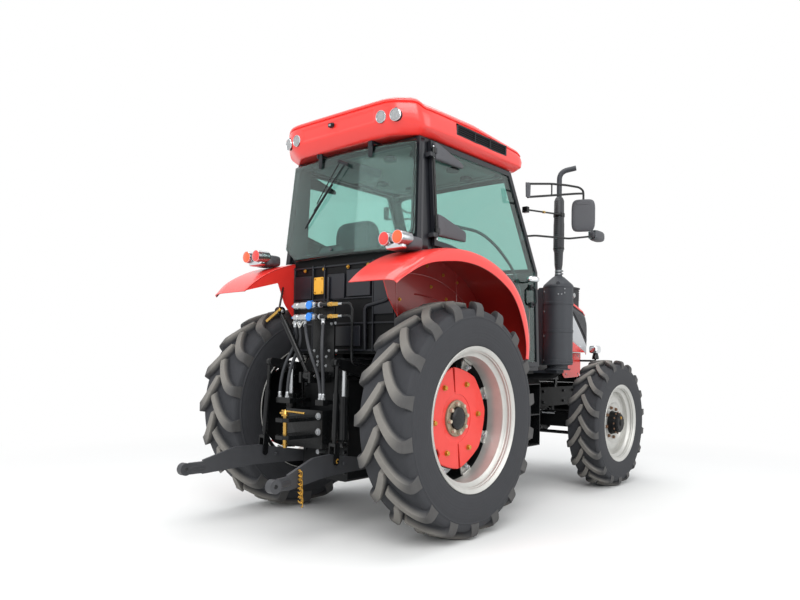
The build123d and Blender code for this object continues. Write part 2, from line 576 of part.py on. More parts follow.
def side_sheet(side, out, thickness, outline, mode=Mode.ADD):
    """A flat piece of the cab's side: (x, height over the sill) corners, a distance out and a thickness."""
    with BuildSketch(leaning(side, out)) as profile:
        with BuildLine():
            Polyline(*[(-side * x, s) for x, s in outline], close=True)
        make_face()
    extrude(profile.sketch, amount=thickness, mode=mode)


# the fender's crown line: (station, height over the rear axle), each pair of stretches one arc
FENDER_CROWN = ((850, 415), (800, 775), (560, 1035), (290, 1142), (-50, 1185), (-430, 1120), (-760, 940))
FENDER_CENTRE = (0, 325)
FENDER_IN_Y = 545
FENDER_OUT_Y = 985
FENDER_SKIN = 8
FENDER_LIP = 75
# the inner wall's lower edge: (station, height over the rear axle)
FENDER_LEG = ((-437, 1000), (-370, 842), (-46, 446))


def crown_point(index, out):
    """A point of the fender's crown line, moved out from its centre."""
    x, up = FENDER_CROWN[index]
    dx, dz = x - FENDER_CENTRE[0], up - FENDER_CENTRE[1]
    scale = 1 + out / hypot(dx, dz)
    return FENDER_CENTRE[0] + dx * scale + rear_axle_x, REAR_Z + FENDER_CENTRE[1] + dz * scale


def under_crown(out, lower, y_span, mode=Mode.ADD):
    """What lies under the crown line moved out by a distance, closed by the given lower corners."""
    ends = [(x + rear_axle_x, REAR_Z + up) for x, up in lower]
    with BuildSketch(Plane.XZ.offset(-y_span[1])) as profile:
        with BuildLine():
            for index in (0, 2, 4):
                ThreePointArc(*[crown_point(index + step, out) for step in range(3)])
            Polyline(crown_point(6, out), *ends, crown_point(0, out))
        make_face()
    extrude(profile.sketch, amount=y_span[1] - y_span[0], mode=mode)


FENDER_CUT = ((-1000, 800), (-1000, 0), (900, 0))
for side_name, side in SIDES:
    wall = beside(side, FENDER_IN_Y, FENDER_IN_Y + FENDER_SKIN)
    whole = beside(side, FENDER_IN_Y, FENDER_OUT_Y)
    hollow = beside(side, FENDER_IN_Y + FENDER_SKIN, FENDER_OUT_Y - FENDER_SKIN)
    lip = beside(side, FENDER_OUT_Y - 2 * FENDER_SKIN, FENDER_OUT_Y + FENDER_SKIN)
    with BuildPart() as fender:
        under_crown(0, FENDER_LEG, whole)
        under_crown(-FENDER_SKIN, FENDER_CUT, hollow, mode=Mode.SUBTRACT)
        under_crown(-FENDER_LIP, FENDER_CUT, lip, mode=Mode.SUBTRACT)
    save(fender, f"fender_{side_name}")

# ---------------------------------------------------------------- cab frame and doors
FRAME_GAP = 6
REAR_SILL_Z = REAR_Z + 1236
side_top_s = (CAB_TOP_Z - SILL_Z) / cos(radians(SIDE_LEAN))
knee_s = (FRONT_KNEE_Z - SILL_Z) / cos(radians(SIDE_LEAN))
rear_low_s = (REAR_LOW_Z - SILL_Z) / cos(radians(SIDE_LEAN))
rear_slope = (REAR_TOP_X - REAR_LOW_X) / (side_top_s - rear_low_s)
REAR_FOOT_S = 700
DOOR_REAR_X = -48
DOOR_TOP_DROP = 44
HEADER = 46
rear_foot_x = REAR_LOW_X - (rear_low_s - REAR_FOOT_S) * rear_slope


def door_outline(grow):
    """The doorway seen from the side, grown outwards by a distance."""
    return [(DOOR_REAR_X - grow, 0 - grow + POST), (FRONT_SILL_X - POST + grow, POST - grow),
            (FRONT_KNEE_X - POST + grow, knee_s),
            (FRONT_TOP_X - POST + 0.85 * grow, side_top_s - DOOR_TOP_DROP + grow),
            (DOOR_REAR_X - grow, side_top_s - DOOR_TOP_DROP + grow)]


openings = {}
doors = {}
panes = {}
for side_name, side in SIDES:
    reach = beside(side, 400, 900)
    with BuildPart() as opening:
        side_sheet(side, -FRAME_THICKNESS - 1, FRAME_THICKNESS + 2, door_outline(0))
        under_crown(FRAME_GAP + POST, FENDER_CUT, reach, mode=Mode.SUBTRACT)
    openings[side_name] = opening.part
    with BuildPart() as door_whole:
        side_sheet(side, SEAL_GAP, DOOR_THICKNESS, door_outline(DOOR_OVERLAP))
        under_crown(FRAME_GAP + POST - DOOR_OVERLAP, FENDER_CUT, reach, mode=Mode.SUBTRACT)
    doors[side_name] = door_whole.part
    with BuildPart() as pane:
        side_sheet(side, SEAL_GAP - 1, DOOR_THICKNESS + 2, door_outline(DOOR_OVERLAP - DOOR_FRAME_WIDTH))
        under_crown(FRAME_GAP + POST - DOOR_OVERLAP + DOOR_FRAME_WIDTH, FENDER_CUT, reach,
                    mode=Mode.SUBTRACT)
    panes[side_name] = pane.part

GLASS_TOP_Z = CAB_TOP_Z - 20
WINDOW_HINGE_X = -262
WINDOW_HINGE_Z = CAB_TOP_Z - 20
WINDOW_HINGE_Y = 265
WINDOW_EYE_R = 11
WINDOW_PIN_R = 6
HINGE_WIDTH = 22
HINGE_X = -62
HINGE_OUT = 48
HINGE_R = 10
HINGE_PIN_R = 5
HINGE_KNUCKLE = 40
HINGE_LUG = 30
HINGE_STATIONS = (985, 1565)
HINGE_ARM_X = (-112, -80)


def side_bar(side, x, out, s_from, s_to, radius, mode=Mode.ADD):
    """A round bar along a cab side at a station and a distance out, between two heights over the sill."""
    plane = leaning(side, out)
    first = plane.origin + Vector(x, 0, 0) + plane.y_dir * s_from
    with BuildSketch(Plane(origin=first, z_dir=plane.y_dir)) as profile:
        Circle(radius)
    extrude(profile.sketch, amount=s_to - s_from, mode=mode)


def side_block(side, x_span, out_span, s_span, mode=Mode.ADD):
    """A box on a cab side between two stations, two distances out and two heights over the sill."""
    side_sheet(side, out_span[0], out_span[1] - out_span[0], [(x_span[0], s_span[0]),
                                                              (x_span[1], s_span[0]),
                                                              (x_span[1], s_span[1]),
                                                              (x_span[0], s_span[1])], mode=mode)


with BuildPart() as cab_frame:
    for side_name, side in SIDES:
        side_sheet(side, -FRAME_THICKNESS, FRAME_THICKNESS,
                   [(rear_foot_x, REAR_FOOT_S), (FENDER_CROWN[0][0], 0), (FRONT_SILL_X, 0),
                    (FRONT_KNEE_X, knee_s), (FRONT_TOP_X, side_top_s), (REAR_TOP_X, side_top_s)])
        under_crown(FRAME_GAP, FENDER_CUT, beside(side, 400, 900), mode=Mode.SUBTRACT)
        add(openings[side_name], mode=Mode.SUBTRACT)
    header_y = side_y(CAB_TOP_Z) - FRAME_THICKNESS / 2
    block((FRONT_TOP_X - POST, FRONT_TOP_X - 8), (-header_y, header_y), (CAB_TOP_Z - HEADER, CAB_TOP_Z))
    block((REAR_TOP_X + 8, REAR_TOP_X + POST), (-header_y, header_y), (CAB_TOP_Z - HEADER, CAB_TOP_Z))
    cowl_y = side_y(FRONT_KNEE_Z) - FRAME_THICKNESS / 2
    block((FRONT_KNEE_X - POST, FRONT_KNEE_X - 8), (-cowl_y, cowl_y), (FRONT_KNEE_Z - HEADER, FRONT_KNEE_Z))
    rear_sill_z = REAR_SILL_Z
    sill_y = side_y(rear_sill_z) - FRAME_THICKNESS / 2
    block((rear_foot_x + 40, rear_foot_x + 40 + POST), (-sill_y, sill_y),
          (rear_sill_z - HEADER, rear_sill_z))
    for side_name, side in SIDES:
        for station in HINGE_STATIONS:
            lug = (station - 1 - HINGE_LUG, station - 1)
            side_block(side, HINGE_ARM_X, (-1, HINGE_OUT), lug)
            side_block(side, (HINGE_ARM_X[0], HINGE_X), (HINGE_OUT - HINGE_R, HINGE_OUT + HINGE_R), lug)
            side_bar(side, HINGE_X, HINGE_OUT, lug[0], lug[1], HINGE_R)
            side_bar(side, HINGE_X, HINGE_OUT, lug[0] + 2, station + HINGE_KNUCKLE, HINGE_PIN_R)
        lug_y = beside(side, WINDOW_HINGE_Y + HINGE_WIDTH / 2 + 2, WINDOW_HINGE_Y + HINGE_WIDTH / 2 + 16)
        block((WINDOW_HINGE_X - WINDOW_EYE_R - 2, REAR_TOP_X + 9), lug_y, (GLASS_TOP_Z + 5, CAB_TOP_Z - 1))
        block((WINDOW_HINGE_X - WINDOW_EYE_R - 2, WINDOW_HINGE_X + WINDOW_EYE_R), lug_y,
              (WINDOW_HINGE_Z - WINDOW_EYE_R, CAB_TOP_Z - 1))
        cross_bar(WINDOW_HINGE_X, (side * (WINDOW_HINGE_Y - HINGE_WIDTH / 2),
                                   side * (WINDOW_HINGE_Y + HINGE_WIDTH / 2 + 15)), WINDOW_HINGE_Z,
                  WINDOW_PIN_R)
save(cab_frame, "cab_frame")

for side_name, side in SIDES:
    with BuildPart() as door_frame:
        add(doors[side_name])
        add(panes[side_name], mode=Mode.SUBTRACT)
        for station in HINGE_STATIONS:
            knuckle = (station, station + HINGE_KNUCKLE)
            side_block(side, (HINGE_X, HINGE_X + 34), (SEAL_GAP + DOOR_THICKNESS - 1, HINGE_OUT + HINGE_R),
                       knuckle)
            side_bar(side, HINGE_X, HINGE_OUT, knuckle[0], knuckle[1], HINGE_R)
            side_bar(side, HINGE_X, HINGE_OUT, knuckle[0] - 1, knuckle[1] + 1, HINGE_PIN_R + RUNNING_FIT,
                     mode=Mode.SUBTRACT)
    save(door_frame, f"door_frame_{side_name}")
    with BuildPart() as door_glass:
        side_sheet(side, SEAL_GAP + DOOR_THICKNESS / 2 - GLASS / 2, GLASS, door_outline(DOOR_OVERLAP))
        under_crown(0, FENDER_CUT, beside(side, 400, 900), mode=Mode.SUBTRACT)
        add(panes[side_name], mode=Mode.INTERSECT)
    save(door_glass, f"door_glass_{side_name}")

# ---------------------------------------------------------------- roof, tub and fixed glass
ROOF_Y = 720
ROOF_EDGE_Z = CAB_TOP_Z + 45
ROOF_TOP_Z = REAR_Z + 2280
ROOF_LAMP_R = 42
ROOF_LAMP_Z = REAR_Z + 2126
LAMP_FIT = 0.3
# which end, station of the lamp's face, distance across
ROOF_LAMPS = ((-1, -362, 445), (-1, -332, 562), (1, 1318, 400), (1, 1318, 540))
LAMP_DEPTH = 110

with BuildPart() as cab_roof:
    side_plate([(-268, CAB_TOP_Z), (-345, CAB_TOP_Z + 75), (-357, ROOF_TOP_Z - 60), (-200, ROOF_TOP_Z - 12),
                (450, ROOF_TOP_Z), (1060, ROOF_TOP_Z - 50), (1332, CAB_TOP_Z + 130), (1300, CAB_TOP_Z + 85),
                (1146, CAB_TOP_Z)], (-ROOF_Y, ROOF_Y))
    for side_name, side in SIDES:
        cross_plate([(side * (ROOF_Y + 1), CAB_TOP_Z - 1), (side * 648, CAB_TOP_Z - 1),
                     (side * ROOF_Y, ROOF_EDGE_Z), (side * (ROOF_Y + 1), ROOF_EDGE_Z)], (-400, 1400),
                    mode=Mode.SUBTRACT)
        cross_plate([(side * (ROOF_Y + 1), CAB_TOP_Z + 150), (side * 600, ROOF_TOP_Z + 1),
                     (side * (ROOF_Y + 1), ROOF_TOP_Z + 1)], (-400, 1400), mode=Mode.SUBTRACT)
        for x_edge, x_corner, y_start, x_far in ((-345, -190, 400, -400), (1290, 1200, 450, 1400)):
            floor_plate([(x_edge - (x_corner - x_edge) * 0.08, side * y_start),
                         (x_corner, side * (ROOF_Y + 1)), (x_far, side * (ROOF_Y + 1)),
                         (x_far, side * y_start)], (CAB_TOP_Z - 1, ROOF_TOP_Z + 1), mode=Mode.SUBTRACT)
    for end, face, across in ROOF_LAMPS:
        for side_name, side in SIDES:
            long_bar((face + end * 60, face - end * LAMP_DEPTH), side * across, ROOF_LAMP_Z,
                     ROOF_LAMP_R + LAMP_FIT, mode=Mode.SUBTRACT)
save(cab_roof, "cab_roof")

TUB_SHEET = 28
FRONT_MOUNT_X = (1180, 1280)
REAR_MOUNT_X = (-160, -60)
MOUNT_Y = (95, 165)
TUB_INNER_Y = FENDER_IN_Y - SEAT_GAP
DECK_Z = COVER_TOP_Z + 60
DECK_FRONT_X = 420
REAR_PANEL_X = -262
floor_half = side_y(SILL_Z) - FRAME_THICKNESS - 1
firewall_half = side_y(FRONT_KNEE_Z) - FRAME_THICKNESS - 1
with BuildPart() as cab_tub:
    block((DECK_FRONT_X, FRONT_SILL_X - 2), (-TUB_INNER_Y, TUB_INNER_Y), (SILL_Z - TUB_SHEET, SILL_Z))
    block((FENDER_CROWN[0][0] + 12, FRONT_SILL_X - 2), (-floor_half, floor_half),
          (SILL_Z - TUB_SHEET, SILL_Z))
    block((DECK_FRONT_X, DECK_FRONT_X + TUB_SHEET), (-TUB_INNER_Y, TUB_INNER_Y),
          (SILL_Z - TUB_SHEET, DECK_Z))
    block((REAR_PANEL_X, DECK_FRONT_X + TUB_SHEET), (-TUB_INNER_Y, TUB_INNER_Y),
          (DECK_Z - TUB_SHEET, DECK_Z))
    block((REAR_PANEL_X, REAR_PANEL_X + TUB_SHEET), (-TUB_INNER_Y, TUB_INNER_Y),
          (DECK_Z - TUB_SHEET, REAR_SILL_Z - HEADER))
    side_plate([(FRONT_SILL_X - TUB_SHEET - 2, SILL_Z - TUB_SHEET), (FRONT_SILL_X - 2, SILL_Z - TUB_SHEET),
                (FRONT_KNEE_X - POST + TUB_SHEET - 10, FRONT_KNEE_Z - HEADER),
                (FRONT_KNEE_X - POST - 10, FRONT_KNEE_Z - HEADER)], (-firewall_half, firewall_half))
    for side_name, side in SIDES:
        block(FRONT_MOUNT_X, beside(side, MOUNT_Y[0], MOUNT_Y[1]),
              (GEARBOX_TOP_Z + SEAT_GAP, SILL_Z - TUB_SHEET + 1))
        block(REAR_MOUNT_X, beside(side, MOUNT_Y[0], MOUNT_Y[1]),
              (COVER_TOP_Z + SEAT_GAP, DECK_Z - TUB_SHEET + 1))
save(cab_tub, "cab_tub")

WINDSHIELD_BULGE = 60
REAR_GLASS_BULGE = 88


def bent_pane(low, high, half_width, bulge, gap, trim):
    """A pane between two (x, z) points, bowed out from a chord and trimmed to the leaning sides."""
    rise = Vector(high[0] - low[0], 0, high[1] - low[1])
    outward = Vector(0, 1, 0).cross(rise.normalized())
    if outward.X * bulge < 0:
        outward = -outward
    start = Vector(low[0] + rear_axle_x, 0, low[1]) + outward * gap
    frame = Plane(origin=start, x_dir=(0, 1, 0), z_dir=rise)
    sense = 1 if frame.y_dir.dot(outward) > 0 else -1
    bow = abs(bulge) * sense
    step = GLASS * sense
    with BuildSketch(frame) as profile:
        with BuildLine():
            ThreePointArc((-half_width, 0), (0, bow), (half_width, 0))
            Line((half_width, 0), (half_width, step))
            ThreePointArc((half_width, step), (0, bow + step), (-half_width, step))
            Line((-half_width, step), (-half_width, 0))
        make_face()
    extrude(profile.sketch, amount=rise.length)
    beyond = [(-900, -200), (1800, -200), (1800, side_top_s + 200), (-900, side_top_s + 200)]
    for side_name, side in SIDES:
        side_sheet(side, -trim, 400, beyond, mode=Mode.SUBTRACT)


GLASS_TOP_DROP = 14
GLASS_LOW_Z = REAR_Z + 1170
GLASS_CORNER = (500, REAR_Z + 1300)
rear_glass_low_x = REAR_LOW_X - (REAR_LOW_Z - GLASS_LOW_Z) * rear_slope
rear_glass_top_x = REAR_LOW_X + (GLASS_TOP_Z - GLASS_TOP_DROP - REAR_LOW_Z) * rear_slope
with BuildPart() as windshield:
    bent_pane((FRONT_KNEE_X, FRONT_KNEE_Z), (FRONT_TOP_X + 16, CAB_TOP_Z - 36), side_y(FRONT_KNEE_Z) - 8,
              WINDSHIELD_BULGE, SEAT_GAP + 0.1, 8)
save(windshield, "windshield")

with BuildPart() as rear_window:
    bent_pane((rear_glass_low_x, GLASS_LOW_Z), (rear_glass_top_x, GLASS_TOP_Z - GLASS_TOP_DROP),
              SIDE_SILL_Y, -REAR_GLASS_BULGE, SEAL_GAP, 4)
    for side_name, side in SIDES:
        cross_plate([(side * GLASS_CORNER[0], GLASS_LOW_Z - 1), (side * 800, GLASS_LOW_Z - 1),
                     (side * 800, GLASS_CORNER[1] + 120), (side * 690, GLASS_CORNER[1])], (-600, 0),
                    mode=Mode.SUBTRACT)
save(rear_window, "rear_window")

HINGE_LENGTH = 95
glass_at_hinge = SEAL_GAP + GLASS + 0.8 + REAR_GLASS_BULGE * (
    1 - ((WINDOW_HINGE_Y - HINGE_WIDTH / 2) / SIDE_SILL_Y) ** 2)


def outside_glass_x(z, gap):
    """The station just behind the rear window's glass at its hinges, at a height."""
    return REAR_LOW_X + (z - REAR_LOW_Z) * rear_slope - glass_at_hinge - gap


with BuildPart() as rear_window_hinges:
    for side_name, side in SIDES:
        span = beside(side, WINDOW_HINGE_Y - HINGE_WIDTH / 2, WINDOW_HINGE_Y + HINGE_WIDTH / 2)
        low_z = WINDOW_HINGE_Z - HINGE_LENGTH
        side_plate([(outside_glass_x(low_z, 0), low_z), (outside_glass_x(low_z, 16), low_z),
                    (WINDOW_HINGE_X - WINDOW_EYE_R, WINDOW_HINGE_Z), (WINDOW_HINGE_X, WINDOW_HINGE_Z)],
                   span)
        cross_bar(WINDOW_HINGE_X, (span[0], span[1]), WINDOW_HINGE_Z, WINDOW_EYE_R)
        cross_bar(WINDOW_HINGE_X, (span[0] - 1, span[1] + 1), WINDOW_HINGE_Z, WINDOW_PIN_R + RUNNING_FIT,
                  mode=Mode.SUBTRACT)
save(rear_window_hinges, "rear_window_hinges")

# ---------------------------------------------------------------- inside the cab
SEAT_X = 110
SEAT_PLINTH_Z = DECK_Z + 300
CUSHION_TOP_Z = SEAT_PLINTH_Z + 125
BACKREST_TOP_Z = CUSHION_TOP_Z + 585
SEAT_HALF = 245
DASH_X = 985
DASH_TOP_Z = SILL_Z + 740
WHEEL_X = 640
WHEEL_Z = SILL_Z + 830
STEERING_TILT = 32
STEERING_R = 205
STEERING_RIM_R = 15
STEERING_HUB_R = 34
COLUMN_R = 26
COLUMN_LENGTH = 560

with BuildPart() as seat_base:
    block((SEAT_X - 150, SEAT_X + 230), (-170, 170), (DECK_Z, DECK_Z + 210))
    block((SEAT_X - 170, SEAT_X + 290), (-215, 215), (DECK_Z + 209, SEAT_PLINTH_Z - SEAT_GAP))
    for side_name, side in SIDES:
        block((SEAT_X - 150, SEAT_X + 200), beside(side, SEAT_HALF + 12, SEAT_HALF + 62),
              (CUSHION_TOP_Z + 115, CUSHION_TOP_Z + 155))
        block((SEAT_X - 170, SEAT_X - 128), beside(side, SEAT_HALF + 12, SEAT_HALF + 42),
              (SEAT_PLINTH_Z - 60, CUSHION_TOP_Z + 155))
        block((SEAT_X - 170, SEAT_X - 128), beside(side, 200, SEAT_HALF + 42),
              (SEAT_PLINTH_Z - 60, SEAT_PLINTH_Z - 20))
save(seat_base, "seat_base")

with BuildPart() as seat_cushion:
    block((SEAT_X - 95, SEAT_X + 370), (-SEAT_HALF, SEAT_HALF), (SEAT_PLINTH_Z, CUSHION_TOP_Z))
save(seat_cushion, "seat_cushion")

with BuildPart() as seat_backrest:
    side_plate([(SEAT_X - 100 - SEAT_GAP, SEAT_PLINTH_Z + 10), (SEAT_X - 100 - SEAT_GAP, CUSHION_TOP_Z),
                (SEAT_X - 170, BACKREST_TOP_Z), (SEAT_X - 245, BACKREST_TOP_Z),
                (SEAT_X - 190, SEAT_PLINTH_Z + 10)], (-SEAT_HALF, SEAT_HALF))
    block((SEAT_X - 172, SEAT_X - 120), (-60, 60), (SEAT_PLINTH_Z - SEAT_GAP, SEAT_PLINTH_Z + 11))
save(seat_backrest, "seat_backrest")

steer_back = sin(radians(STEERING_TILT))
steer_up = cos(radians(STEERING_TILT))
column_end = (WHEEL_X + COLUMN_LENGTH * steer_back, 0, WHEEL_Z - COLUMN_LENGTH * steer_up)
with BuildPart() as dashboard:
    side_plate([(DASH_X - 85, SILL_Z), (DASH_X + 300, SILL_Z), (FRONT_KNEE_X - 95, SILL_Z + 560),
                (FRONT_KNEE_X - 95, DASH_TOP_Z), (DASH_X + 60, DASH_TOP_Z + 30),
                (DASH_X - 60, DASH_TOP_Z - 150)], (-225, 225))
    bar((WHEEL_X + 30 * steer_back, 0, WHEEL_Z - 30 * steer_up), column_end, COLUMN_R)
    bar((WHEEL_X + 29 * steer_back, 0, WHEEL_Z - 29 * steer_up),
        (WHEEL_X + 110 * steer_back, 0, WHEEL_Z - 110 * steer_up), STEERING_RIM_R + RUNNING_FIT,
        mode=Mode.SUBTRACT)
    for side_name, side in SIDES:
        inner = side * (SEAT_HALF + 90)
        block((-220, 380), sorted((inner, side * TUB_INNER_Y)), (DECK_Z, DECK_Z + 420))
save(dashboard, "dashboard")

steer_plane = Plane(origin=(WHEEL_X + rear_axle_x, 0, WHEEL_Z), x_dir=(0, 1, 0),
                    z_dir=(-steer_back, 0, steer_up))
with BuildPart() as steering_wheel:
    with Locations(steer_plane):
        Torus(STEERING_R, STEERING_RIM_R)
        Cylinder(STEERING_HUB_R, 44)
        with PolarLocations(STEERING_R / 2, 3, start_angle=90):
            Box(STEERING_R - 2, 26, 9)
    bar((WHEEL_X + 20 * steer_back, 0, WHEEL_Z - 20 * steer_up),
        (WHEEL_X + 100 * steer_back, 0, WHEEL_Z - 100 * steer_up), STEERING_RIM_R)
save(steering_wheel, "steering_wheel")

# ---------------------------------------------------------------- exhaust
MUFFLER_X = 1920
MUFFLER_Y = -660
MUFFLER_R = 141
MUFFLER_LOW_Z = REAR_Z + 325
MUFFLER_TOP_Z = REAR_Z + 1075
MUFFLER_CONE_Z = REAR_Z + 1205
MUFFLER_NECK_R = 42
STACK_R = 48
STACK_LOW_Z = REAR_Z + 1285
STACK_TOP_Z = REAR_Z + 1945
TAIL_PIPE_R = 28
TAIL_PIPE_BEND = 88
TAIL_CORNER_Z = REAR_Z + 2232
TAIL_REACH = 150
TAIL_RISE = 32
TAIL_HEADING = -60
SHIELD_X = 1756
STAY_X = 1196
STAY_Y = 700
STAY_Z = REAR_Z + 1685
STAY_R = 9

with BuildPart() as muffler:
    with BuildSketch(Plane.XZ.offset(-MUFFLER_Y)):
        axis_x = MUFFLER_X + rear_axle_x
        with BuildLine():
            Polyline((axis_x, MUFFLER_LOW_Z), (axis_x + MUFFLER_R, MUFFLER_LOW_Z),
                     (axis_x + MUFFLER_R, MUFFLER_TOP_Z), (axis_x + MUFFLER_NECK_R + 20, MUFFLER_CONE_Z),
                     (axis_x + MUFFLER_NECK_R, MUFFLER_CONE_Z), (axis_x + MUFFLER_NECK_R, STACK_LOW_Z),
                     (axis_x + STACK_R, STACK_LOW_Z), (axis_x + STACK_R, STACK_TOP_Z),
                     (axis_x, STACK_TOP_Z), close=True)
        make_face()
    revolve(axis=Axis((axis_x, MUFFLER_Y, 0), (0, 0, 1)))
    tip = (axis_x + TAIL_REACH * cos(radians(TAIL_HEADING)),
           MUFFLER_Y + TAIL_REACH * sin(radians(TAIL_HEADING)), TAIL_CORNER_Z + TAIL_RISE)
    with BuildLine() as tail_path:
        FilletPolyline((axis_x, MUFFLER_Y, STACK_TOP_Z - 1), (axis_x, MUFFLER_Y, TAIL_CORNER_Z), tip,
                       radius=TAIL_PIPE_BEND)
    with BuildSketch(Plane(origin=tail_path.line @ 0, z_dir=tail_path.line % 0)):
        Circle(TAIL_PIPE_R)
    sweep(path=tail_path.line)
    block((SHIELD_X, SHIELD_X + 6), (MUFFLER_Y - 130, MUFFLER_Y + 60), (MUFFLER_LOW_Z, MUFFLER_TOP_Z - 20))
    for level in (MUFFLER_LOW_Z + 120, MUFFLER_TOP_Z - 160):
        block((SHIELD_X + 5, MUFFLER_X - MUFFLER_R + 8), (MUFFLER_Y - 20, MUFFLER_Y + 20),
              (level, level + 40))
    cross_bar(STAY_X, (-side_y(STAY_Z, 1.2), -STAY_Y - 4), STAY_Z, STAY_R - 3)
    bar((STAY_X - 14, -STAY_Y, STAY_Z), (MUFFLER_X, MUFFLER_Y - 30, STAY_Z - 18), STAY_R)
    block((MUFFLER_X - 70, MUFFLER_X + 70), (MUFFLER_Y - 30, -RAIL_Y), (MUFFLER_LOW_Z - 30, MUFFLER_LOW_Z))
    block((MUFFLER_X - 70, MUFFLER_X + 70), (-RAIL_Y - 12, -RAIL_Y),
          (RAIL_BOTTOM_Z + 60, MUFFLER_LOW_Z - 29))
save(muffler, "muffler")

# ---------------------------------------------------------------- tank, battery box and steps
TANK_REAR_X = 935
TANK_FRONT_X = 1440
TANK_INNER_Y = 240
TANK_OUTER_Y = 590
TANK_BOTTOM_Z = REAR_Z - 275
TANK_TOP_Z = REAR_Z + 270
STEP_REAR_X = 985
STEP_FRONT_X = 1345
STEP_OUTER_Y = 800
STEP_SHEET = 8
STEP_HEIGHTS = (REAR_Z - 305, REAR_Z - 45, REAR_Z + 215)

for node, side in (("fuel_tank", 1), ("battery_box", -1)):
    with BuildPart() as box:
        block((TANK_REAR_X, TANK_FRONT_X), beside(side, TANK_INNER_Y, TANK_OUTER_Y),
              (TANK_BOTTOM_Z, TANK_TOP_Z))
        for station in (TANK_REAR_X + 60, TANK_FRONT_X - 100):
            block((station, station + 40), beside(side, GEARBOX_Y, TANK_INNER_Y + 1),
                  (GEARBOX_BOTTOM_Z + 60, GEARBOX_TOP_Z - 40))
    save(box, node)

with BuildPart() as steps:
    for side_name, side in SIDES:
        back = beside(side, TANK_OUTER_Y, TANK_OUTER_Y + STEP_SHEET)
        block((STEP_REAR_X, STEP_FRONT_X), back, (STEP_HEIGHTS[0], STEP_HEIGHTS[2]))
        for station in (STEP_REAR_X, STEP_FRONT_X - STEP_SHEET):
            block((station, station + STEP_SHEET), beside(side, TANK_OUTER_Y, STEP_OUTER_Y),
                  (STEP_HEIGHTS[0], STEP_HEIGHTS[2]))
        for height in STEP_HEIGHTS:
            block((STEP_REAR_X, STEP_FRONT_X), beside(side, TANK_OUTER_Y, STEP_OUTER_Y),
                  (height - STEP_SHEET, height))
save(steps, "steps")

# ---------------------------------------------------------------- mirrors and lamps
MIRROR_FOOT_X = 1107
MIRROR_CLAMP_Y = 800
MIRROR_FOOT_Z = REAR_Z + 1865
MIRROR_X = 1825
MIRROR_Y = 950
MIRROR_Z = REAR_Z + 1732
MIRROR_WIDTH = 211
MIRROR_HEIGHT = 290
MIRROR_DEPTH = 60
MIRROR_TUBE_R = 11
MIRROR_TURN = 50
WIDE_MIRROR_DROP = 215
WIDE_MIRROR_SIZE = (50, 176, 96)

post_slope = (FRONT_KNEE_X - FRONT_TOP_X) / (CAB_TOP_Z - FRONT_KNEE_Z)
with BuildPart() as mirrors:
    for side_name, side in SIDES:
        for drop, reach_x, reach_z in ((0, MIRROR_X - 70, MIRROR_FOOT_Z + 92),
                                       (-45, MIRROR_X - 40, MIRROR_FOOT_Z - 60)):
            foot_x = MIRROR_FOOT_X + rear_axle_x - drop * post_slope
            foot_z = MIRROR_FOOT_Z + drop
            points = [(foot_x, side * side_y(foot_z, 1.2), foot_z),
                      (foot_x + 8, side * MIRROR_CLAMP_Y, foot_z),
                      (reach_x + rear_axle_x, side * MIRROR_Y, reach_z)]
            if drop == 0:
                points.append((MIRROR_X + rear_axle_x, side * MIRROR_Y, MIRROR_Z + MIRROR_HEIGHT / 2 - 10))
            else:
                points.append((MIRROR_X + rear_axle_x, side * MIRROR_Y, MIRROR_FOOT_Z - 70))
            with BuildLine() as tube_path:
                FilletPolyline(*points, radius=28)
            with BuildSketch(Plane(origin=tube_path.line @ 0, z_dir=tube_path.line % 0)) as tube_round:
                Circle(MIRROR_TUBE_R)
            sweep(tube_round.sketch, path=tube_path.line)
        with Locations(Location((MIRROR_X + rear_axle_x, side * MIRROR_Y, MIRROR_Z),
                                (0, 0, side * (90 - MIRROR_TURN)))):
            Box(MIRROR_DEPTH, MIRROR_WIDTH, MIRROR_HEIGHT)
            with Locations((0, 0, -WIDE_MIRROR_DROP)):
                Box(*WIDE_MIRROR_SIZE)
        post(MIRROR_X, side * MIRROR_Y, (MIRROR_Z - MIRROR_HEIGHT / 2 + 1, MIRROR_Z - WIDE_MIRROR_DROP),
             MIRROR_TUBE_R)
save(mirrors, "mirrors")

with BuildPart() as roof_lamps:
    for end, face, across in ROOF_LAMPS:
        for side_name, side in SIDES:
            long_bar((face + end * 4, face - end * (LAMP_DEPTH - 1)), side * across, ROOF_LAMP_Z,
                     ROOF_LAMP_R)
save(roof_lamps, "roof_lamps")

SIDE_LAMP_X = 3215
SIDE_LAMP_Y = 560
SIDE_LAMP_Z = REAR_Z + 553
SIDE_LAMP_R = 44
SIDE_LAMP_LENGTH = 80
BRACKET_X = 3095
BRACKET_Z = REAR_Z + 465
BRACKET_R = 11
TAIL_LAMP_X = -567
TAIL_LAMP_Z = REAR_Z + 1210
TAIL_LAMP_R = 50
TAIL_LAMP_LENGTH = 95
TAIL_LAMPS_Y = (672, 790)
TAIL_COVER_X = -405

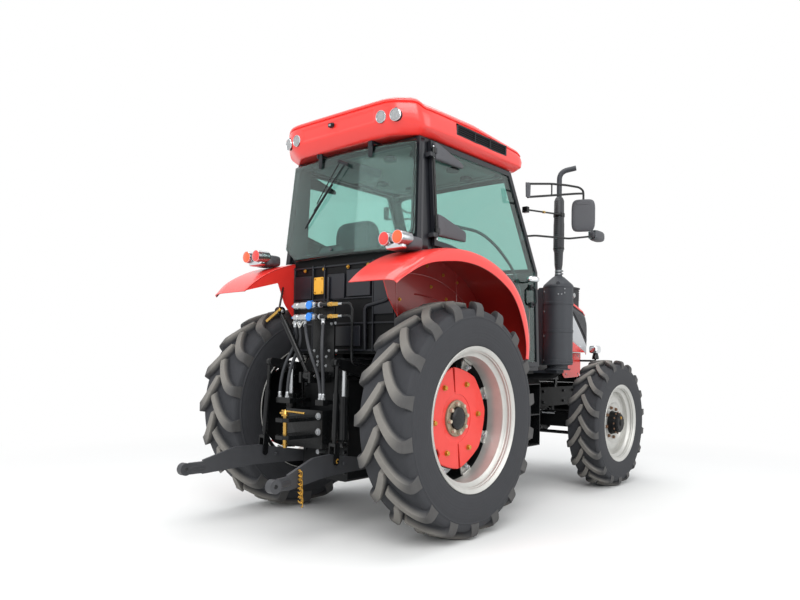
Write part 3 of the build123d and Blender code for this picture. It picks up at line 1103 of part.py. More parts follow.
with BuildPart() as front_lamps:
    for side_name, side in SIDES:
        with BuildLine() as bracket_path:
            FilletPolyline(*[(x + rear_axle_x, side * y, z) for x, y,
                             z in ((BRACKET_X, LOWER_PANEL_Y + SEAT_GAP, BRACKET_Z),
                                   (BRACKET_X, SIDE_LAMP_Y, BRACKET_Z),
                                   (SIDE_LAMP_X + 30, SIDE_LAMP_Y, BRACKET_Z),
                                   (SIDE_LAMP_X + 30, SIDE_LAMP_Y, SIDE_LAMP_Z - 20))], radius=28)
        with BuildSketch(Plane(origin=bracket_path.line @ 0, z_dir=bracket_path.line % 0)) as bracket_round:
            Circle(BRACKET_R)
        sweep(bracket_round.sketch, path=bracket_path.line)
        long_bar((SIDE_LAMP_X, SIDE_LAMP_X + SIDE_LAMP_LENGTH), side * SIDE_LAMP_Y, SIDE_LAMP_Z,
                 SIDE_LAMP_R)
save(front_lamps, "front_lamps")

with BuildPart() as tail_lamps:
    for side_name, side in SIDES:
        for across in TAIL_LAMPS_Y:
            long_bar((TAIL_LAMP_X, TAIL_LAMP_X + TAIL_LAMP_LENGTH), side * across, TAIL_LAMP_Z, TAIL_LAMP_R)
        foot = beside(side, TAIL_LAMPS_Y[0] - 40, TAIL_LAMPS_Y[1] + 40)
        side_plate([(TAIL_LAMP_X + 40, TAIL_LAMP_Z - 150), (TAIL_COVER_X, TAIL_LAMP_Z - 150),
                    (TAIL_COVER_X, TAIL_LAMP_Z - 50), (TAIL_LAMP_X + 110, TAIL_LAMP_Z + 36),
                    (TAIL_LAMP_X + 40, TAIL_LAMP_Z + 36)], foot)
        under_crown(SEAT_GAP, FENDER_CUT, beside(side, 500, 1000), mode=Mode.SUBTRACT)
save(tail_lamps, "tail_lamps")

# ---------------------------------------------------------------- three-point hitch
link_turn = atan2(LINK_SPLAY, LINK_LENGTH)
ROD_PIN_X = -705
ROD_PIN_Z = REAR_Z - 285
ROD_PIN_R = 11
rod_pin_y = LINK_PIVOT_Y + LINK_SPLAY * (LINK_PIVOT_X - ROD_PIN_X) / LINK_LENGTH
LINK_EYE_Z = REAR_Z - 358
LINK_EYE_WIDTH = 50
# along the link from its pivot, height over the pivot
LINK_LOWER = ((0, -38), (300, -28), (510, -26), (906, -57))
LINK_UPPER = ((902, 40), (660, 113), (470, 117), (330, 90), (0, 38))
LIFT_ARM_Y = (318, 343)
LIFT_ARM_X = -662
LIFT_ARM_Z = REAR_Z + 382
LIFT_ARM_END_R = 30
ROD_EYE_Y = (346, 368)
ROD_EYE_R = 26
ROD_TUBE_R = 20
ROD_THREAD_R = 13
FORK_GAP = 22
FORK_THICKNESS = 8
FORK_R = 22
FORK_HEIGHT = 125
FORK_BRIDGE = 20
FORK_LEAN = 8
RAM_PIVOT_X = -520
RAM_PIVOT_Y = 280
RAM_PIVOT_Z = REAR_Z - 185
RAM_PIN_R = 16
RAM_BARREL_R = 36
RAM_BARREL_TOP_Z = REAR_Z + 145
RAM_ROD_R = 19
RAM_TOP_X = -515
RAM_TOP_Z = REAR_Z + 352
RAM_EYE_R = 26

for side_name, side in SIDES:
    with BuildPart() as lower_link:
        root = Vector(LINK_PIVOT_X + rear_axle_x, side * LINK_PIVOT_Y, LINK_PIVOT_Z)
        along = Vector(-cos(link_turn), side * sin(link_turn), 0)
        link_plane = Plane(origin=root, x_dir=along, z_dir=along.cross(Vector(0, 0, 1)))
        upright = 1 if link_plane.y_dir.Z > 0 else -1
        with BuildSketch(link_plane) as link_profile:
            with BuildLine():
                Polyline(*[(t, upright * z) for t, z in LINK_LOWER + LINK_UPPER], close=True)
            make_face()
        extrude(link_profile.sketch, amount=LINK_THICKNESS / 2, both=True)
        eye_x = LINK_PIVOT_X - LINK_LENGTH
        eye_y = LINK_PIVOT_Y + LINK_SPLAY
        neck = (LINK_PIVOT_X - 880, side * (LINK_PIVOT_Y + 880 * LINK_SPLAY / LINK_LENGTH),
                LINK_PIVOT_Z - 10)
        bar(neck, (eye_x, side * eye_y, LINK_EYE_Z), LINK_THICKNESS)
        for x, y, z, radius, bore, width in ((LINK_PIVOT_X, LINK_PIVOT_Y, LINK_PIVOT_Z, LINK_EYE_R,
                                              LINK_PIN_R + RUNNING_FIT, LINK_BALL_WIDTH), (eye_x, eye_y,
                                                                                           LINK_EYE_Z,
                                                                                           LINK_EYE_R,
                                                                                           LINK_BORE_R,
                                                                                           LINK_EYE_WIDTH)):
            cross_bar(x, (side * y - width / 2, side * y + width / 2), z, radius)
            cross_bar(x, (side * y - width, side * y + width), z, bore, mode=Mode.SUBTRACT)
        cross_bar(ROD_PIN_X, (side * rod_pin_y - 40, side * rod_pin_y + 40), ROD_PIN_Z,
                  ROD_PIN_R + RUNNING_FIT, mode=Mode.SUBTRACT)
    save(lower_link, f"lower_link_{side_name}")

with BuildPart() as lift_arms:
    cross_bar(LIFT_SHAFT_X, (-LIFT_ARM_Y[1], LIFT_ARM_Y[1]), LIFT_SHAFT_Z, LIFT_SHAFT_R)
    for side_name, side in SIDES:
        span = beside(side, LIFT_ARM_Y[0], LIFT_ARM_Y[1])
        cross_bar(LIFT_SHAFT_X, (span[0], span[1]), LIFT_SHAFT_Z, LIFT_SHAFT_BOSS_R)
        cross_bar(LIFT_ARM_X, (span[0], span[1]), LIFT_ARM_Z, LIFT_ARM_END_R)
        side_plate([(LIFT_SHAFT_X, LIFT_SHAFT_Z - LIFT_SHAFT_BOSS_R),
                    (LIFT_SHAFT_X, LIFT_SHAFT_Z + LIFT_SHAFT_BOSS_R),
                    (LIFT_ARM_X, LIFT_ARM_Z + LIFT_ARM_END_R), (LIFT_ARM_X, LIFT_ARM_Z - LIFT_ARM_END_R)],
                   span)
save(lift_arms, "lift_arms")

rod_top = (LIFT_ARM_X, (ROD_EYE_Y[0] + ROD_EYE_Y[1]) / 2, LIFT_ARM_Z)
with BuildPart() as lift_rods:
    for side_name, side in SIDES:
        low = Vector(ROD_PIN_X, side * rod_pin_y, ROD_PIN_Z)
        high = Vector(rod_top[0], side * rod_top[1], rod_top[2])
        along = (high - low).normalized()
        bar(tuple(low + along * 150), tuple(low + along * 460), ROD_TUBE_R)
        bar(tuple(low + along * 100), tuple(high), ROD_THREAD_R)
        cross_bar(rod_top[0], (side * ROD_EYE_Y[0], side * ROD_EYE_Y[1]), rod_top[2], ROD_EYE_R)
        for across in (-1, 1):
            near = side * rod_pin_y + across * FORK_GAP
            far = side * rod_pin_y + across * (FORK_GAP + FORK_THICKNESS)
            cross_bar(ROD_PIN_X, (near, far), ROD_PIN_Z, FORK_R)
            side_plate([(ROD_PIN_X - FORK_R, ROD_PIN_Z), (ROD_PIN_X + FORK_R, ROD_PIN_Z),
                        (ROD_PIN_X + FORK_R + FORK_LEAN, ROD_PIN_Z + FORK_HEIGHT),
                        (ROD_PIN_X - FORK_R + FORK_LEAN, ROD_PIN_Z + FORK_HEIGHT)], sorted((near, far)))
        fork = (side * rod_pin_y - FORK_GAP - FORK_THICKNESS, side * rod_pin_y + FORK_GAP + FORK_THICKNESS)
        block((ROD_PIN_X - FORK_R + FORK_LEAN, ROD_PIN_X + FORK_R + FORK_LEAN), fork,
              (ROD_PIN_Z + FORK_HEIGHT - FORK_BRIDGE, ROD_PIN_Z + FORK_HEIGHT))
        cross_bar(ROD_PIN_X, fork, ROD_PIN_Z, ROD_PIN_R)
save(lift_rods, "lift_rods")

with BuildPart() as lift_cylinders:
    for side_name, side in SIDES:
        span = beside(side, RAM_PIVOT_Y - 18, RAM_PIVOT_Y + 18)
        cross_bar(RAM_PIVOT_X, (span[0], span[1]), RAM_PIVOT_Z, RAM_EYE_R + 6)
        direction = Vector(RAM_TOP_X - RAM_PIVOT_X, 0, RAM_TOP_Z - RAM_PIVOT_Z).normalized()
        foot = Vector(RAM_PIVOT_X, side * RAM_PIVOT_Y, RAM_PIVOT_Z)
        reach = RAM_BARREL_TOP_Z - RAM_PIVOT_Z
        bar(tuple(foot + direction * 26), tuple(foot + direction * reach), RAM_BARREL_R)
        bar(tuple(foot + direction * 90), tuple(foot + direction * (reach + 1)), RAM_ROD_R + RUNNING_FIT,
            mode=Mode.SUBTRACT)
        cross_bar(RAM_PIVOT_X, (span[0] - 1, span[1] + 1), RAM_PIVOT_Z, RAM_PIN_R + RUNNING_FIT,
                  mode=Mode.SUBTRACT)
save(lift_cylinders, "lift_cylinders")

RAM_STROKE_GAP = 82
with BuildPart() as lift_cylinder_rods:
    for side_name, side in SIDES:
        foot = Vector(RAM_PIVOT_X, side * RAM_PIVOT_Y, RAM_PIVOT_Z)
        head = Vector(RAM_TOP_X, side * RAM_PIVOT_Y, RAM_TOP_Z)
        direction = (head - foot).normalized()
        bar(tuple(foot + direction * (90 + RAM_STROKE_GAP)), tuple(head), RAM_ROD_R)
        cross_bar(RAM_TOP_X, (side * (RAM_PIVOT_Y - 18), side * (LIFT_ARM_Y[0] - SEAT_GAP)), RAM_TOP_Z,
                  RAM_EYE_R)
save(lift_cylinder_rods, "lift_cylinder_rods")

# ---------------------------------------------------------------- drawbar hitch, top link and hydraulics
TOW_PLATE_X = (-640, -620)
TOW_PLATE_Y = 190
TOW_PLATE_Z = (REAR_Z - 225, REAR_Z + 45)
TOW_JAW_Y = 68
TOW_JAW_REAR_X = -870
TOW_JAW_UPPER = (REAR_Z - 32, REAR_Z - 5)
TOW_JAW_LOWER = (REAR_Z - 152, REAR_Z - 125)
TOW_PIN_X = -812
TOW_PIN_R = 15
TOW_PIN_Z = (REAR_Z - 195, REAR_Z + 30)

with BuildPart() as tow_hitch:
    block(TOW_PLATE_X, (-TOW_PLATE_Y, TOW_PLATE_Y), TOW_PLATE_Z)
    for side_name, side in SIDES:
        side_plate([(HOUSING_REAR_X - SEAT_GAP, TOW_PLATE_Z[0] + 30), (TOW_PLATE_X[1] - 1, TOW_PLATE_Z[0]),
                    (TOW_PLATE_X[1] - 1, TOW_PLATE_Z[1]), (HOUSING_REAR_X - SEAT_GAP, TOW_PLATE_Z[1])],
                   beside(side, TOW_PLATE_Y, TOW_PLATE_Y - 20))
    for low, high in (TOW_JAW_LOWER, TOW_JAW_UPPER):
        floor_plate([(TOW_PLATE_X[0] + 1, -TOW_JAW_Y - 22), (TOW_PLATE_X[0] + 1, TOW_JAW_Y + 22),
                     (TOW_JAW_REAR_X + 30, TOW_JAW_Y), (TOW_JAW_REAR_X, TOW_JAW_Y - 34),
                     (TOW_JAW_REAR_X, -TOW_JAW_Y + 34), (TOW_JAW_REAR_X + 30, -TOW_JAW_Y)], (low, high))
    post(TOW_PIN_X, 0, (TOW_PIN_Z[0] - 1, TOW_PIN_Z[1] + 1), TOW_PIN_R + RUNNING_FIT, mode=Mode.SUBTRACT)
save(tow_hitch, "tow_hitch")

TOW_HANDLE_R = 7
TOW_HEAD_R = 26
with BuildPart() as tow_pin:
    post(TOW_PIN_X, 0, (TOW_PIN_Z[0], TOW_JAW_UPPER[1] + 12), TOW_PIN_R)
    post(TOW_PIN_X, 0, (TOW_JAW_UPPER[1] + SEAT_GAP, TOW_JAW_UPPER[1] + 16), TOW_HEAD_R)
    post(TOW_PIN_X, 0, (TOW_JAW_UPPER[1] + 10, TOW_JAW_UPPER[1] + 70), TOW_HANDLE_R)
    cross_bar(TOW_PIN_X, (-45, 45), TOW_JAW_UPPER[1] + 70, TOW_HANDLE_R + 1)
save(tow_pin, "tow_pin")

TOP_EAR_Y = (36, 58)
TOP_EAR_X = -640
TOP_EAR_Z = (REAR_Z + 235, REAR_Z + 312)
TOP_PIN_X = -600
TOP_PIN_Z = REAR_Z + 285
TOP_PIN_R = 12.5
TOP_EYE_WIDTH = 51
TOP_EYE_R = 34
TOP_LINK_END = (-620, 299, REAR_Z + 757)
TOP_LINK_TUBE_R = 22
TOP_HOOK_END = (-395, FENDER_IN_Y - 10, REAR_Z + 965)
TOP_HOOK_R = 8
TOP_LINK_SCREW_R = 14
COUPLER_X = -600
COUPLER_R = 26
COUPLER_ROWS = (REAR_Z + 706, REAR_Z + 790)
COUPLER_SPAN = (-80, 165)
NIPPLE_R = 16
NIPPLE_SPAN = (-330, -81)
RETURN_PIPE_R = 12
COUPLER_PLATE_Y = (-40, 120)
HOSE_X = -620
HOSE_R = 12
MANIFOLD_TOP_Z = REAR_Z + 120

with BuildPart() as hitch_frame:
    for side_name, side in SIDES:
        block((TOP_EAR_X, HOUSING_REAR_X - SEAT_GAP), beside(side, TOP_EAR_Y[0], TOP_EAR_Y[1]), TOP_EAR_Z)
    block((HOUSING_REAR_X - 16, HOUSING_REAR_X - SEAT_GAP), (-TOP_EAR_Y[1] - 40, TOP_EAR_Y[1] + 70),
          (TOP_EAR_Z[0] + 40, COUPLER_ROWS[1] + 40))
    for height in COUPLER_ROWS:
        block((COUPLER_X + COUPLER_R - 6, HOUSING_REAR_X - 15), COUPLER_PLATE_Y, (height - 6, height + 6))
    for manifold_y, arm_y in (((-200, -120), (-175, -130)), ((150, 306), (160, 195))):
        block((HOSE_X - 25, HOSE_X + 25), manifold_y, (MANIFOLD_TOP_Z - 40, MANIFOLD_TOP_Z))
        block((HOSE_X, HOUSING_REAR_X - SEAT_GAP), arm_y, (MANIFOLD_TOP_Z - 35, MANIFOLD_TOP_Z - 5))
    cross_bar(TOP_PIN_X, (-TOP_EAR_Y[1] - 1, TOP_EAR_Y[1] + 1), TOP_PIN_Z, TOP_PIN_R + 0.3,
              mode=Mode.SUBTRACT)
save(hitch_frame, "hitch_frame")

with BuildPart() as hydraulic_couplers:
    for height in COUPLER_ROWS:
        cross_bar(COUPLER_X, (COUPLER_SPAN[0], COUPLER_SPAN[1]), height, COUPLER_R)
        cross_bar(COUPLER_X, (NIPPLE_SPAN[0], NIPPLE_SPAN[1] + 2), height, NIPPLE_R)
    block((COUPLER_X - 16, COUPLER_X + 16), (-60, 150), (COUPLER_ROWS[0] + 20, COUPLER_ROWS[1] - 20))
    for height in COUPLER_ROWS:
        block((COUPLER_X + COUPLER_R - 7, HOUSING_REAR_X - 15), COUPLER_PLATE_Y, (height - 6, height + 6),
              mode=Mode.SUBTRACT)
save(hydraulic_couplers, "hydraulic_couplers")

with BuildPart() as top_link:
    start = Vector(TOP_PIN_X, 0, TOP_PIN_Z)
    end = Vector(*TOP_LINK_END)
    along = (end - start).normalized()
    cross_bar(TOP_PIN_X, (-TOP_EYE_WIDTH / 2, TOP_EYE_WIDTH / 2), TOP_PIN_Z, TOP_EYE_R)
    bar(tuple(start), tuple(start + along * 130), TOP_LINK_SCREW_R)
    bar(tuple(start + along * 120), tuple(start + along * 470), TOP_LINK_TUBE_R)
    bar(tuple(start + along * 460), tuple(end), TOP_LINK_SCREW_R)
    cross_bar(end.X, (end.Y - 22, end.Y + 22), end.Z, TOP_EYE_R)
    cross_bar(end.X, (end.Y - 30, end.Y + 30), end.Z, TOP_PIN_R, mode=Mode.SUBTRACT)
    cross_bar(TOP_PIN_X, (-TOP_EAR_Y[1] - 8, TOP_EAR_Y[1] + 8), TOP_PIN_Z, TOP_PIN_R)
    bar((end.X, end.Y + 16, end.Z), TOP_HOOK_END, TOP_HOOK_R)
save(top_link, "top_link")

coupler_foot_z = COUPLER_ROWS[0] - COUPLER_R - SEAT_GAP
nipple_foot_z = COUPLER_ROWS[0] - NIPPLE_R - SEAT_GAP
hose_foot_z = MANIFOLD_TOP_Z + SEAT_GAP
# each hose: its corners from the coupler down to the manifold, and the bend radius at each inner corner
HOSES = (
    (((COUPLER_X, 150, coupler_foot_z), (COUPLER_X, 150, 1465), (-552, 172, 1370), (HOSE_X, 289, 1130),
      (HOSE_X, 289, hose_foot_z)), (70, 120, 120)),
    (((COUPLER_X, 100, coupler_foot_z), (COUPLER_X, 100, 1465), (-556, 128, 1350), (HOSE_X, 205, 1130),
      (HOSE_X, 205, hose_foot_z)), (70, 120, 120)),
    (((COUPLER_X, 40, coupler_foot_z), (COUPLER_X, 40, 1455), (-700, -112, 1290), (HOSE_X, -146, 1080),
      (HOSE_X, -146, hose_foot_z)), (60, 100, 110)),
    (((COUPLER_X, -145, nipple_foot_z), (COUPLER_X, -145, 1455), (-700, -240, 1310), (HOSE_X, -176, 1080),
      (HOSE_X, -176, hose_foot_z)), (60, 100, 110)),
)
with BuildPart() as hydraulic_hoses:
    for corners, bends in HOSES:
        with BuildLine() as hose_path:
            FilletPolyline(*[(x + rear_axle_x, y, z) for x, y, z in corners], radius=bends)
        with BuildSketch(Plane(origin=hose_path.line @ 0, z_dir=hose_path.line % 0)) as hose_round:
            Circle(HOSE_R)
        sweep(hose_round.sketch, path=hose_path.line)
save(hydraulic_hoses, "hydraulic_hoses")

PIPE_Y = -430
PIPE_CREST_Z = REAR_Z + 410
PIPE_BEND = 45
# row height, station where the pipe comes down onto the axle casing
PIPES = ((COUPLER_ROWS[0], -70), (COUPLER_ROWS[1], -25))
with BuildPart() as return_pipes:
    for row, station in PIPES:
        casing_slope = (TRUMPET_ROOT_R - TRUMPET_END_R) / (TRUMPET_END_Y - HOUSING_Y)
        casing_r = TRUMPET_ROOT_R - casing_slope * (-PIPE_Y - RETURN_PIPE_R - HOUSING_Y)
        foot_z = REAR_Z + sqrt(casing_r ** 2 - (abs(station) - RETURN_PIPE_R) ** 2) + 1
        crest_z = PIPE_CREST_Z + (station + 70) * 0.8 - 36
        with BuildLine() as pipe_path:
            FilletPolyline(*[(x + rear_axle_x, y, z) for x, y, z in ((COUPLER_X, NIPPLE_SPAN[0] - 1, row),
                                                                     (COUPLER_X, PIPE_Y, row),
                                                                     (COUPLER_X, PIPE_Y, crest_z),
                                                                     (station, PIPE_Y, crest_z),
                                                                     (station, PIPE_Y, foot_z))],
                           radius=PIPE_BEND)
        with BuildSketch(Plane(origin=pipe_path.line @ 0, z_dir=pipe_path.line % 0)) as pipe_round:
            Circle(RETURN_PIPE_R)
        sweep(pipe_round.sketch, path=pipe_path.line)
save(return_pipes, "return_pipes")
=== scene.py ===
"""A four-wheel-drive farm tractor: its painted, cast, moulded and rubber outside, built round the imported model.

Lengths in the code are millimetres: x forward from the rear axle, y to the driver's left, z up from the ground.
place() carries them into the frame in metres. Each piece is a surface worked out with numpy.
"""

from math import radians

import bmesh
import bpy
import numpy as np
from bpy.props import FloatProperty, FloatVectorProperty, IntProperty, PointerProperty
from mathutils import Matrix, Vector


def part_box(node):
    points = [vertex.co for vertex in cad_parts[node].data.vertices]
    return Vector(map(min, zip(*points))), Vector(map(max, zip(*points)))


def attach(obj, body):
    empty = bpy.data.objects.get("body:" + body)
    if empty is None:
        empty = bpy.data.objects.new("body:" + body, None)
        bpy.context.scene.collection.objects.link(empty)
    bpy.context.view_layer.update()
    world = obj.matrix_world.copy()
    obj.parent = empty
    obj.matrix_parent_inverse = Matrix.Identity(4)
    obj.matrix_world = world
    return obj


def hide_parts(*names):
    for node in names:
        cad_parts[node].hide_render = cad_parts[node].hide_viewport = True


bl_info = {
    "name": "Farm tractor finish",
    "version": (1, 0, 0),
    "blender": (4, 5, 0),
    "location": "3D View > Sidebar > Tractor",
    "description": "Builds the tractor's tyres, paintwork, glass, hitch and fittings round its packed model",
    "category": "Object",
}

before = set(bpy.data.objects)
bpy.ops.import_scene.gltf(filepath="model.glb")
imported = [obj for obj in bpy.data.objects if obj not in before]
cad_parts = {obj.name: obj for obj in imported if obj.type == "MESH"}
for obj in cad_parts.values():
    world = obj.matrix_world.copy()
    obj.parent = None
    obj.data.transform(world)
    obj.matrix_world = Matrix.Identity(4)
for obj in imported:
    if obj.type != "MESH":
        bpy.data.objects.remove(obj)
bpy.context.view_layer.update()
AXLE = sum(corner[0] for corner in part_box("tyre_rear_left")) / 2
SIDES = (("left", 1), ("right", -1))
X, Y, Z = (1, 0, 0), (0, 1, 0), (0, 0, 1)


def linear(code):
    """An sRGB hex colour, or a property's linear one, as the linear colour that a shader socket takes."""
    if not isinstance(code, str):
        return tuple(code)
    value = np.array([int(code[i:i + 2], 16) for i in (0, 2, 4)]) / 255
    low, high = value / 12.92, ((value + 0.055) / 1.055) ** 2.4
    return tuple(float(c) for c in np.where(value <= 0.04045, low, high)) + (1.0,)


# ---------------------------------------------------------------- lines and surfaces
def place(points):
    """Millimetres from the rear axle become metres in the frame."""
    return np.asarray(points, float) * 0.001 + np.array([AXLE, 0.0, 0.0])


def unit(vector):
    """The vector at length one, along the last axis of the array."""
    vector = np.asarray(vector, float)
    return vector / np.maximum(np.linalg.norm(vector, axis=-1, keepdims=True), 1e-12)


def across(axis):
    """Two unit vectors square to an axis and to each other."""
    axis = unit(axis)
    helper = np.array([0.0, 0.0, 1.0]) if abs(axis[2]) < 0.9 else np.array([1.0, 0.0, 0.0])
    first = unit(np.cross(helper, axis))
    return first, np.cross(axis, first)


def rounded(points, radius, steps=6, closed=False):
    """Straight runs whose corners are swapped for quadratic bends that start a radius away from each corner."""
    points = np.asarray(points, float)
    if closed:
        points = np.vstack([points[-1:], points, points[:1]])
    back, here, ahead = points[:-2], points[1:-1], points[2:]
    room = np.minimum(np.linalg.norm(here - back, axis=1), np.linalg.norm(ahead - here, axis=1)) * 0.49
    reach = np.minimum(np.broadcast_to(radius, room.shape), room)[:, None]
    start, end = here + unit(back - here) * reach, here + unit(ahead - here) * reach
    t = np.linspace(0, 1, steps)[None, :, None]
    bends = (1 - t) ** 2 * start[:, None] + 2 * t * (1 - t) * here[:, None] + t ** 2 * end[:, None]
    bends = bends.reshape(-1, points.shape[1])
    return bends if closed else np.vstack([points[:1], bends, points[-1:]])


def evenly(points, count, closed=False):
    """The line sampled at equal steps of its own length."""
    points = np.asarray(points, float)
    if closed:
        points = np.vstack([points, points[:1]])
    run = np.concatenate([[0], np.cumsum(np.linalg.norm(np.diff(points, axis=0), axis=1))])
    at = np.linspace(0, run[-1], count, endpoint=not closed)
    return np.stack([np.interp(at, run, points[:, k]) for k in range(points.shape[1])], axis=1)


def powered(value, power):
    """The sign of a value times its size to a power."""
    return np.sign(value) * np.abs(value) ** power


def ease(value, low, high):
    """0 below low, 1 above high, and 3t^2 - 2t^3 between them."""
    t = np.clip((np.asarray(value, float) - low) / (high - low), 0, 1)
    return t * t * (3 - 2 * t)


class Shape:
    """One piece's points and faces, with a tone from 0 to 1 at each point for its material to read."""

    def __init__(self):
        self.points, self.faces, self.tones, self.count = [], [], [], 0

    def add(self, points, faces, tone=0.0):
        """Points, faces over their own numbering, and one tone or a tone for each point."""
        points = np.asarray(points, float).reshape(-1, 3)
        self.points.append(points)
        self.tones.append(np.broadcast_to(np.asarray(tone, float).ravel(), (len(points),)))
        self.faces += [[index + self.count for index in face] for face in faces]
        self.count += len(points)
        return self

    def grid(self, points, wrap_u=False, wrap_v=False, cap=False, tone=0.0):
        """Quads between the rows (u) and columns (v) of a grid; cap closes the first and last row."""
        points = np.asarray(points, float)
        rows, columns = points.shape[:2]
        at = np.arange(rows * columns).reshape(rows, columns)
        u, v = (np.arange(n if wrap else n - 1) for n, wrap in ((rows, wrap_u), (columns, wrap_v)))
        here, along = at[np.ix_(u, v)], at[np.ix_((u + 1) % rows, v)]
        beside, both = at[np.ix_(u, (v + 1) % columns)], at[np.ix_((u + 1) % rows, (v + 1) % columns)]
        faces = np.stack([here, along, both, beside], axis=-1).reshape(-1, 4).tolist()
        if cap:
            faces += [at[0].tolist(), at[-1][::-1].tolist()]
        return self.add(points, faces, tone)

    def turned(self, profile, origin, axis, sides=48, tone=0.0, closed=False):
        """A profile of (along the axis, radius) turned about an axis."""
        profile = np.asarray(profile, float)
        angles = np.linspace(0, 2 * np.pi, sides, endpoint=False)
        first, second = across(axis)
        ring = np.cos(angles)[:, None] * first + np.sin(angles)[:, None] * second
        origin = np.asarray(origin, float)
        points = origin + profile[None, :, :1] * unit(axis) + profile[None, :, 1:] * ring[:, None]
        return self.grid(points, wrap_u=True, wrap_v=closed, tone=tone)

    def rod(self, start, end, radius, sides=20, chamfer=1.5, tone=0.0):
        """A round bar between two points with its rims cut off."""
        start, end = np.asarray(start, float), np.asarray(end, float)
        length = float(np.linalg.norm(end - start))
        cut = min(chamfer, radius * 0.5, length * 0.3)
        profile = [(0, 0), (0, radius - cut), (cut, radius), (length - cut, radius), (length, radius - cut),
                   (length, 0)]
        return self.turned(profile, start, end - start, sides, tone=tone)

    def tube(self, path, radius, sides=12, tone=0.0):
        """A round section along a path: each ring is square to the path and turns only as much as it does."""
        path = np.asarray(path, float)
        tangent = unit(np.gradient(path, axis=0))
        normal, normals = across(tangent[0])[0], []
        for direction in tangent:
            normal = unit(normal - direction * np.dot(normal, direction))
            normals.append(normal)
        normals = np.array(normals)
        second = np.cross(tangent, normals)
        angles = np.linspace(0, 2 * np.pi, sides, endpoint=False)[None, :, None]
        ring = np.cos(angles) * normals[:, None] + np.sin(angles) * second[:, None]
        radius = np.broadcast_to(radius, (len(path),))[:, None, None]
        return self.grid(path[:, None] + ring * radius, wrap_v=True, cap=True, tone=tone)

    def plate(self, outline, origin, u, v, thickness, tone=0.0):
        """A flat outline of (u, v) corners at origin, carried square to itself by a thickness."""
        outline = np.asarray(outline, float)
        u, v = np.asarray(u, float), np.asarray(v, float)
        flat = np.asarray(origin, float) + outline[:, :1] * u + outline[:, 1:] * v
        both = np.stack([flat, flat + unit(np.cross(u, v)) * thickness])
        return self.grid(both, wrap_v=True, cap=True, tone=tone)

    def side(self, outline, y_low, y_high, tone=0.0):
        """An outline of (x, z) corners between two distances across."""
        return self.plate(outline, (0, y_high, 0), X, Z, y_high - y_low, tone)

    def block(self, low, high, tone=0.0):
        """A box between two corners."""
        (x0, y0, z0), (x1, y1, z1) = low, high
        return self.plate([(x0, y0), (x1, y0), (x1, y1), (x0, y1)], (0, 0, z0), X, Y, z1 - z0, tone)

    def side_block(self, side, low, high):
        """A box between two corners given on the left, or its mirror image on the right."""
        (x0, y0, z0), (x1, y1, z1) = low, high
        near, far = sorted((side * y0, side * y1))
        return self.block((x0, near, z0), (x1, far, z1))

    def scatter(self, shape, origins, axes, spin=0.0):
        """Copies of a small shape with its own z along each of the axes."""
        points, tones = np.vstack(shape.points), np.concatenate(shape.tones)
        for origin, axis in zip(np.asarray(origins, float), np.broadcast_to(axes, np.shape(origins))):
            first, second = across(axis)
            turn = np.stack([np.cos(spin) * first + np.sin(spin) * second,
                             np.cos(spin) * second - np.sin(spin) * first, unit(axis)])
            self.add(points @ turn + origin, shape.faces, tones)
        return self


def hex_head(size, height, washer=0.0):
    """A bolt head: six flats a size apart, its crown cut off, on a washer of that radius."""
    bolt, base, corner = Shape(), 0.0, size / 2 / np.cos(np.pi / 6)
    if washer:
        base = size * 0.12
        bolt.turned([(-1, 0), (-1, washer), (base, washer * 0.97), (base, 0)], (0, 0, 0), Z, 14)
    bolt.turned([(base - 1, 0), (base - 1, corner), (base + height * 0.8, corner),
                 (base + height, corner * 0.82), (base + height, 0)], (0, 0, 0), Z, 6, tone=0.6)
    return bolt


def ring_of(count, radius, origin, axis, start=0.0):
    """Points spaced evenly round an axis."""
    first, second = across(axis)
    angle = np.radians(start) + np.linspace(0, 2 * np.pi, count, endpoint=False)
    way = np.cos(angle)[:, None] * first + np.sin(angle)[:, None] * second
    return np.asarray(origin, float) + radius * way


def finished(name, mesh, body, material, replaces=(), sharp=32, bevel=0.0, wall=0.0):
    """An object from a mesh: its material, its wall or rounded edges, and the body it rides on.

    With no body it is part of the stage."""
    mesh.shade_smooth()
    mesh.set_sharp_from_angle(angle=radians(sharp))
    item = bpy.data.objects.new(name, mesh)
    bpy.context.scene.collection.objects.link(item)
    mesh.materials.append(shade(material))
    if wall:
        shell = item.modifiers.new("wall", "SOLIDIFY")
        shell.thickness, shell.offset = wall * 0.001, -1
    if bevel:
        edge = item.modifiers.new("edge", "BEVEL")
        edge.width, edge.segments, edge.limit_method, edge.angle_limit = bevel * 0.001, 2, "ANGLE", radians(28)
    if body is None:
        return item
    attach(item, body)
    if replaces:
        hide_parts(*replaces)
    return item


def piece(name, shape, material, body="chassis", **more):
    """One object from a gathered shape: its doubles are merged and its faces turned outwards."""
    mesh = bpy.data.meshes.new(name)
    mesh.from_pydata(place(np.vstack(shape.points)), [], shape.faces)
    tone = mesh.attributes.new("tone", "FLOAT", "POINT")
    tone.data.foreach_set("value", np.concatenate(shape.tones).astype(np.float32))
    work = bmesh.new()
    work.from_mesh(mesh)
    bmesh.ops.remove_doubles(work, verts=work.verts, dist=2e-6)
    bmesh.ops.recalc_face_normals(work, faces=work.faces)
    work.to_mesh(mesh)
    work.free()
    return finished(name, mesh, body, material, **more)


def eased(node, material, bevel, body="chassis"):
    """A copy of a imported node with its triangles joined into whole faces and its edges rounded."""
    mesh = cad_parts[node].data.copy()
    mesh.materials.clear()
    work = bmesh.new()
    work.from_mesh(mesh)
    bmesh.ops.remove_doubles(work, verts=work.verts, dist=1e-5)
    bmesh.ops.dissolve_limit(work, angle_limit=radians(1), verts=work.verts, edges=work.edges)
    work.to_mesh(mesh)
    work.free()
    return finished(node + "_cast", mesh, body, material, replaces=(node,), bevel=bevel)


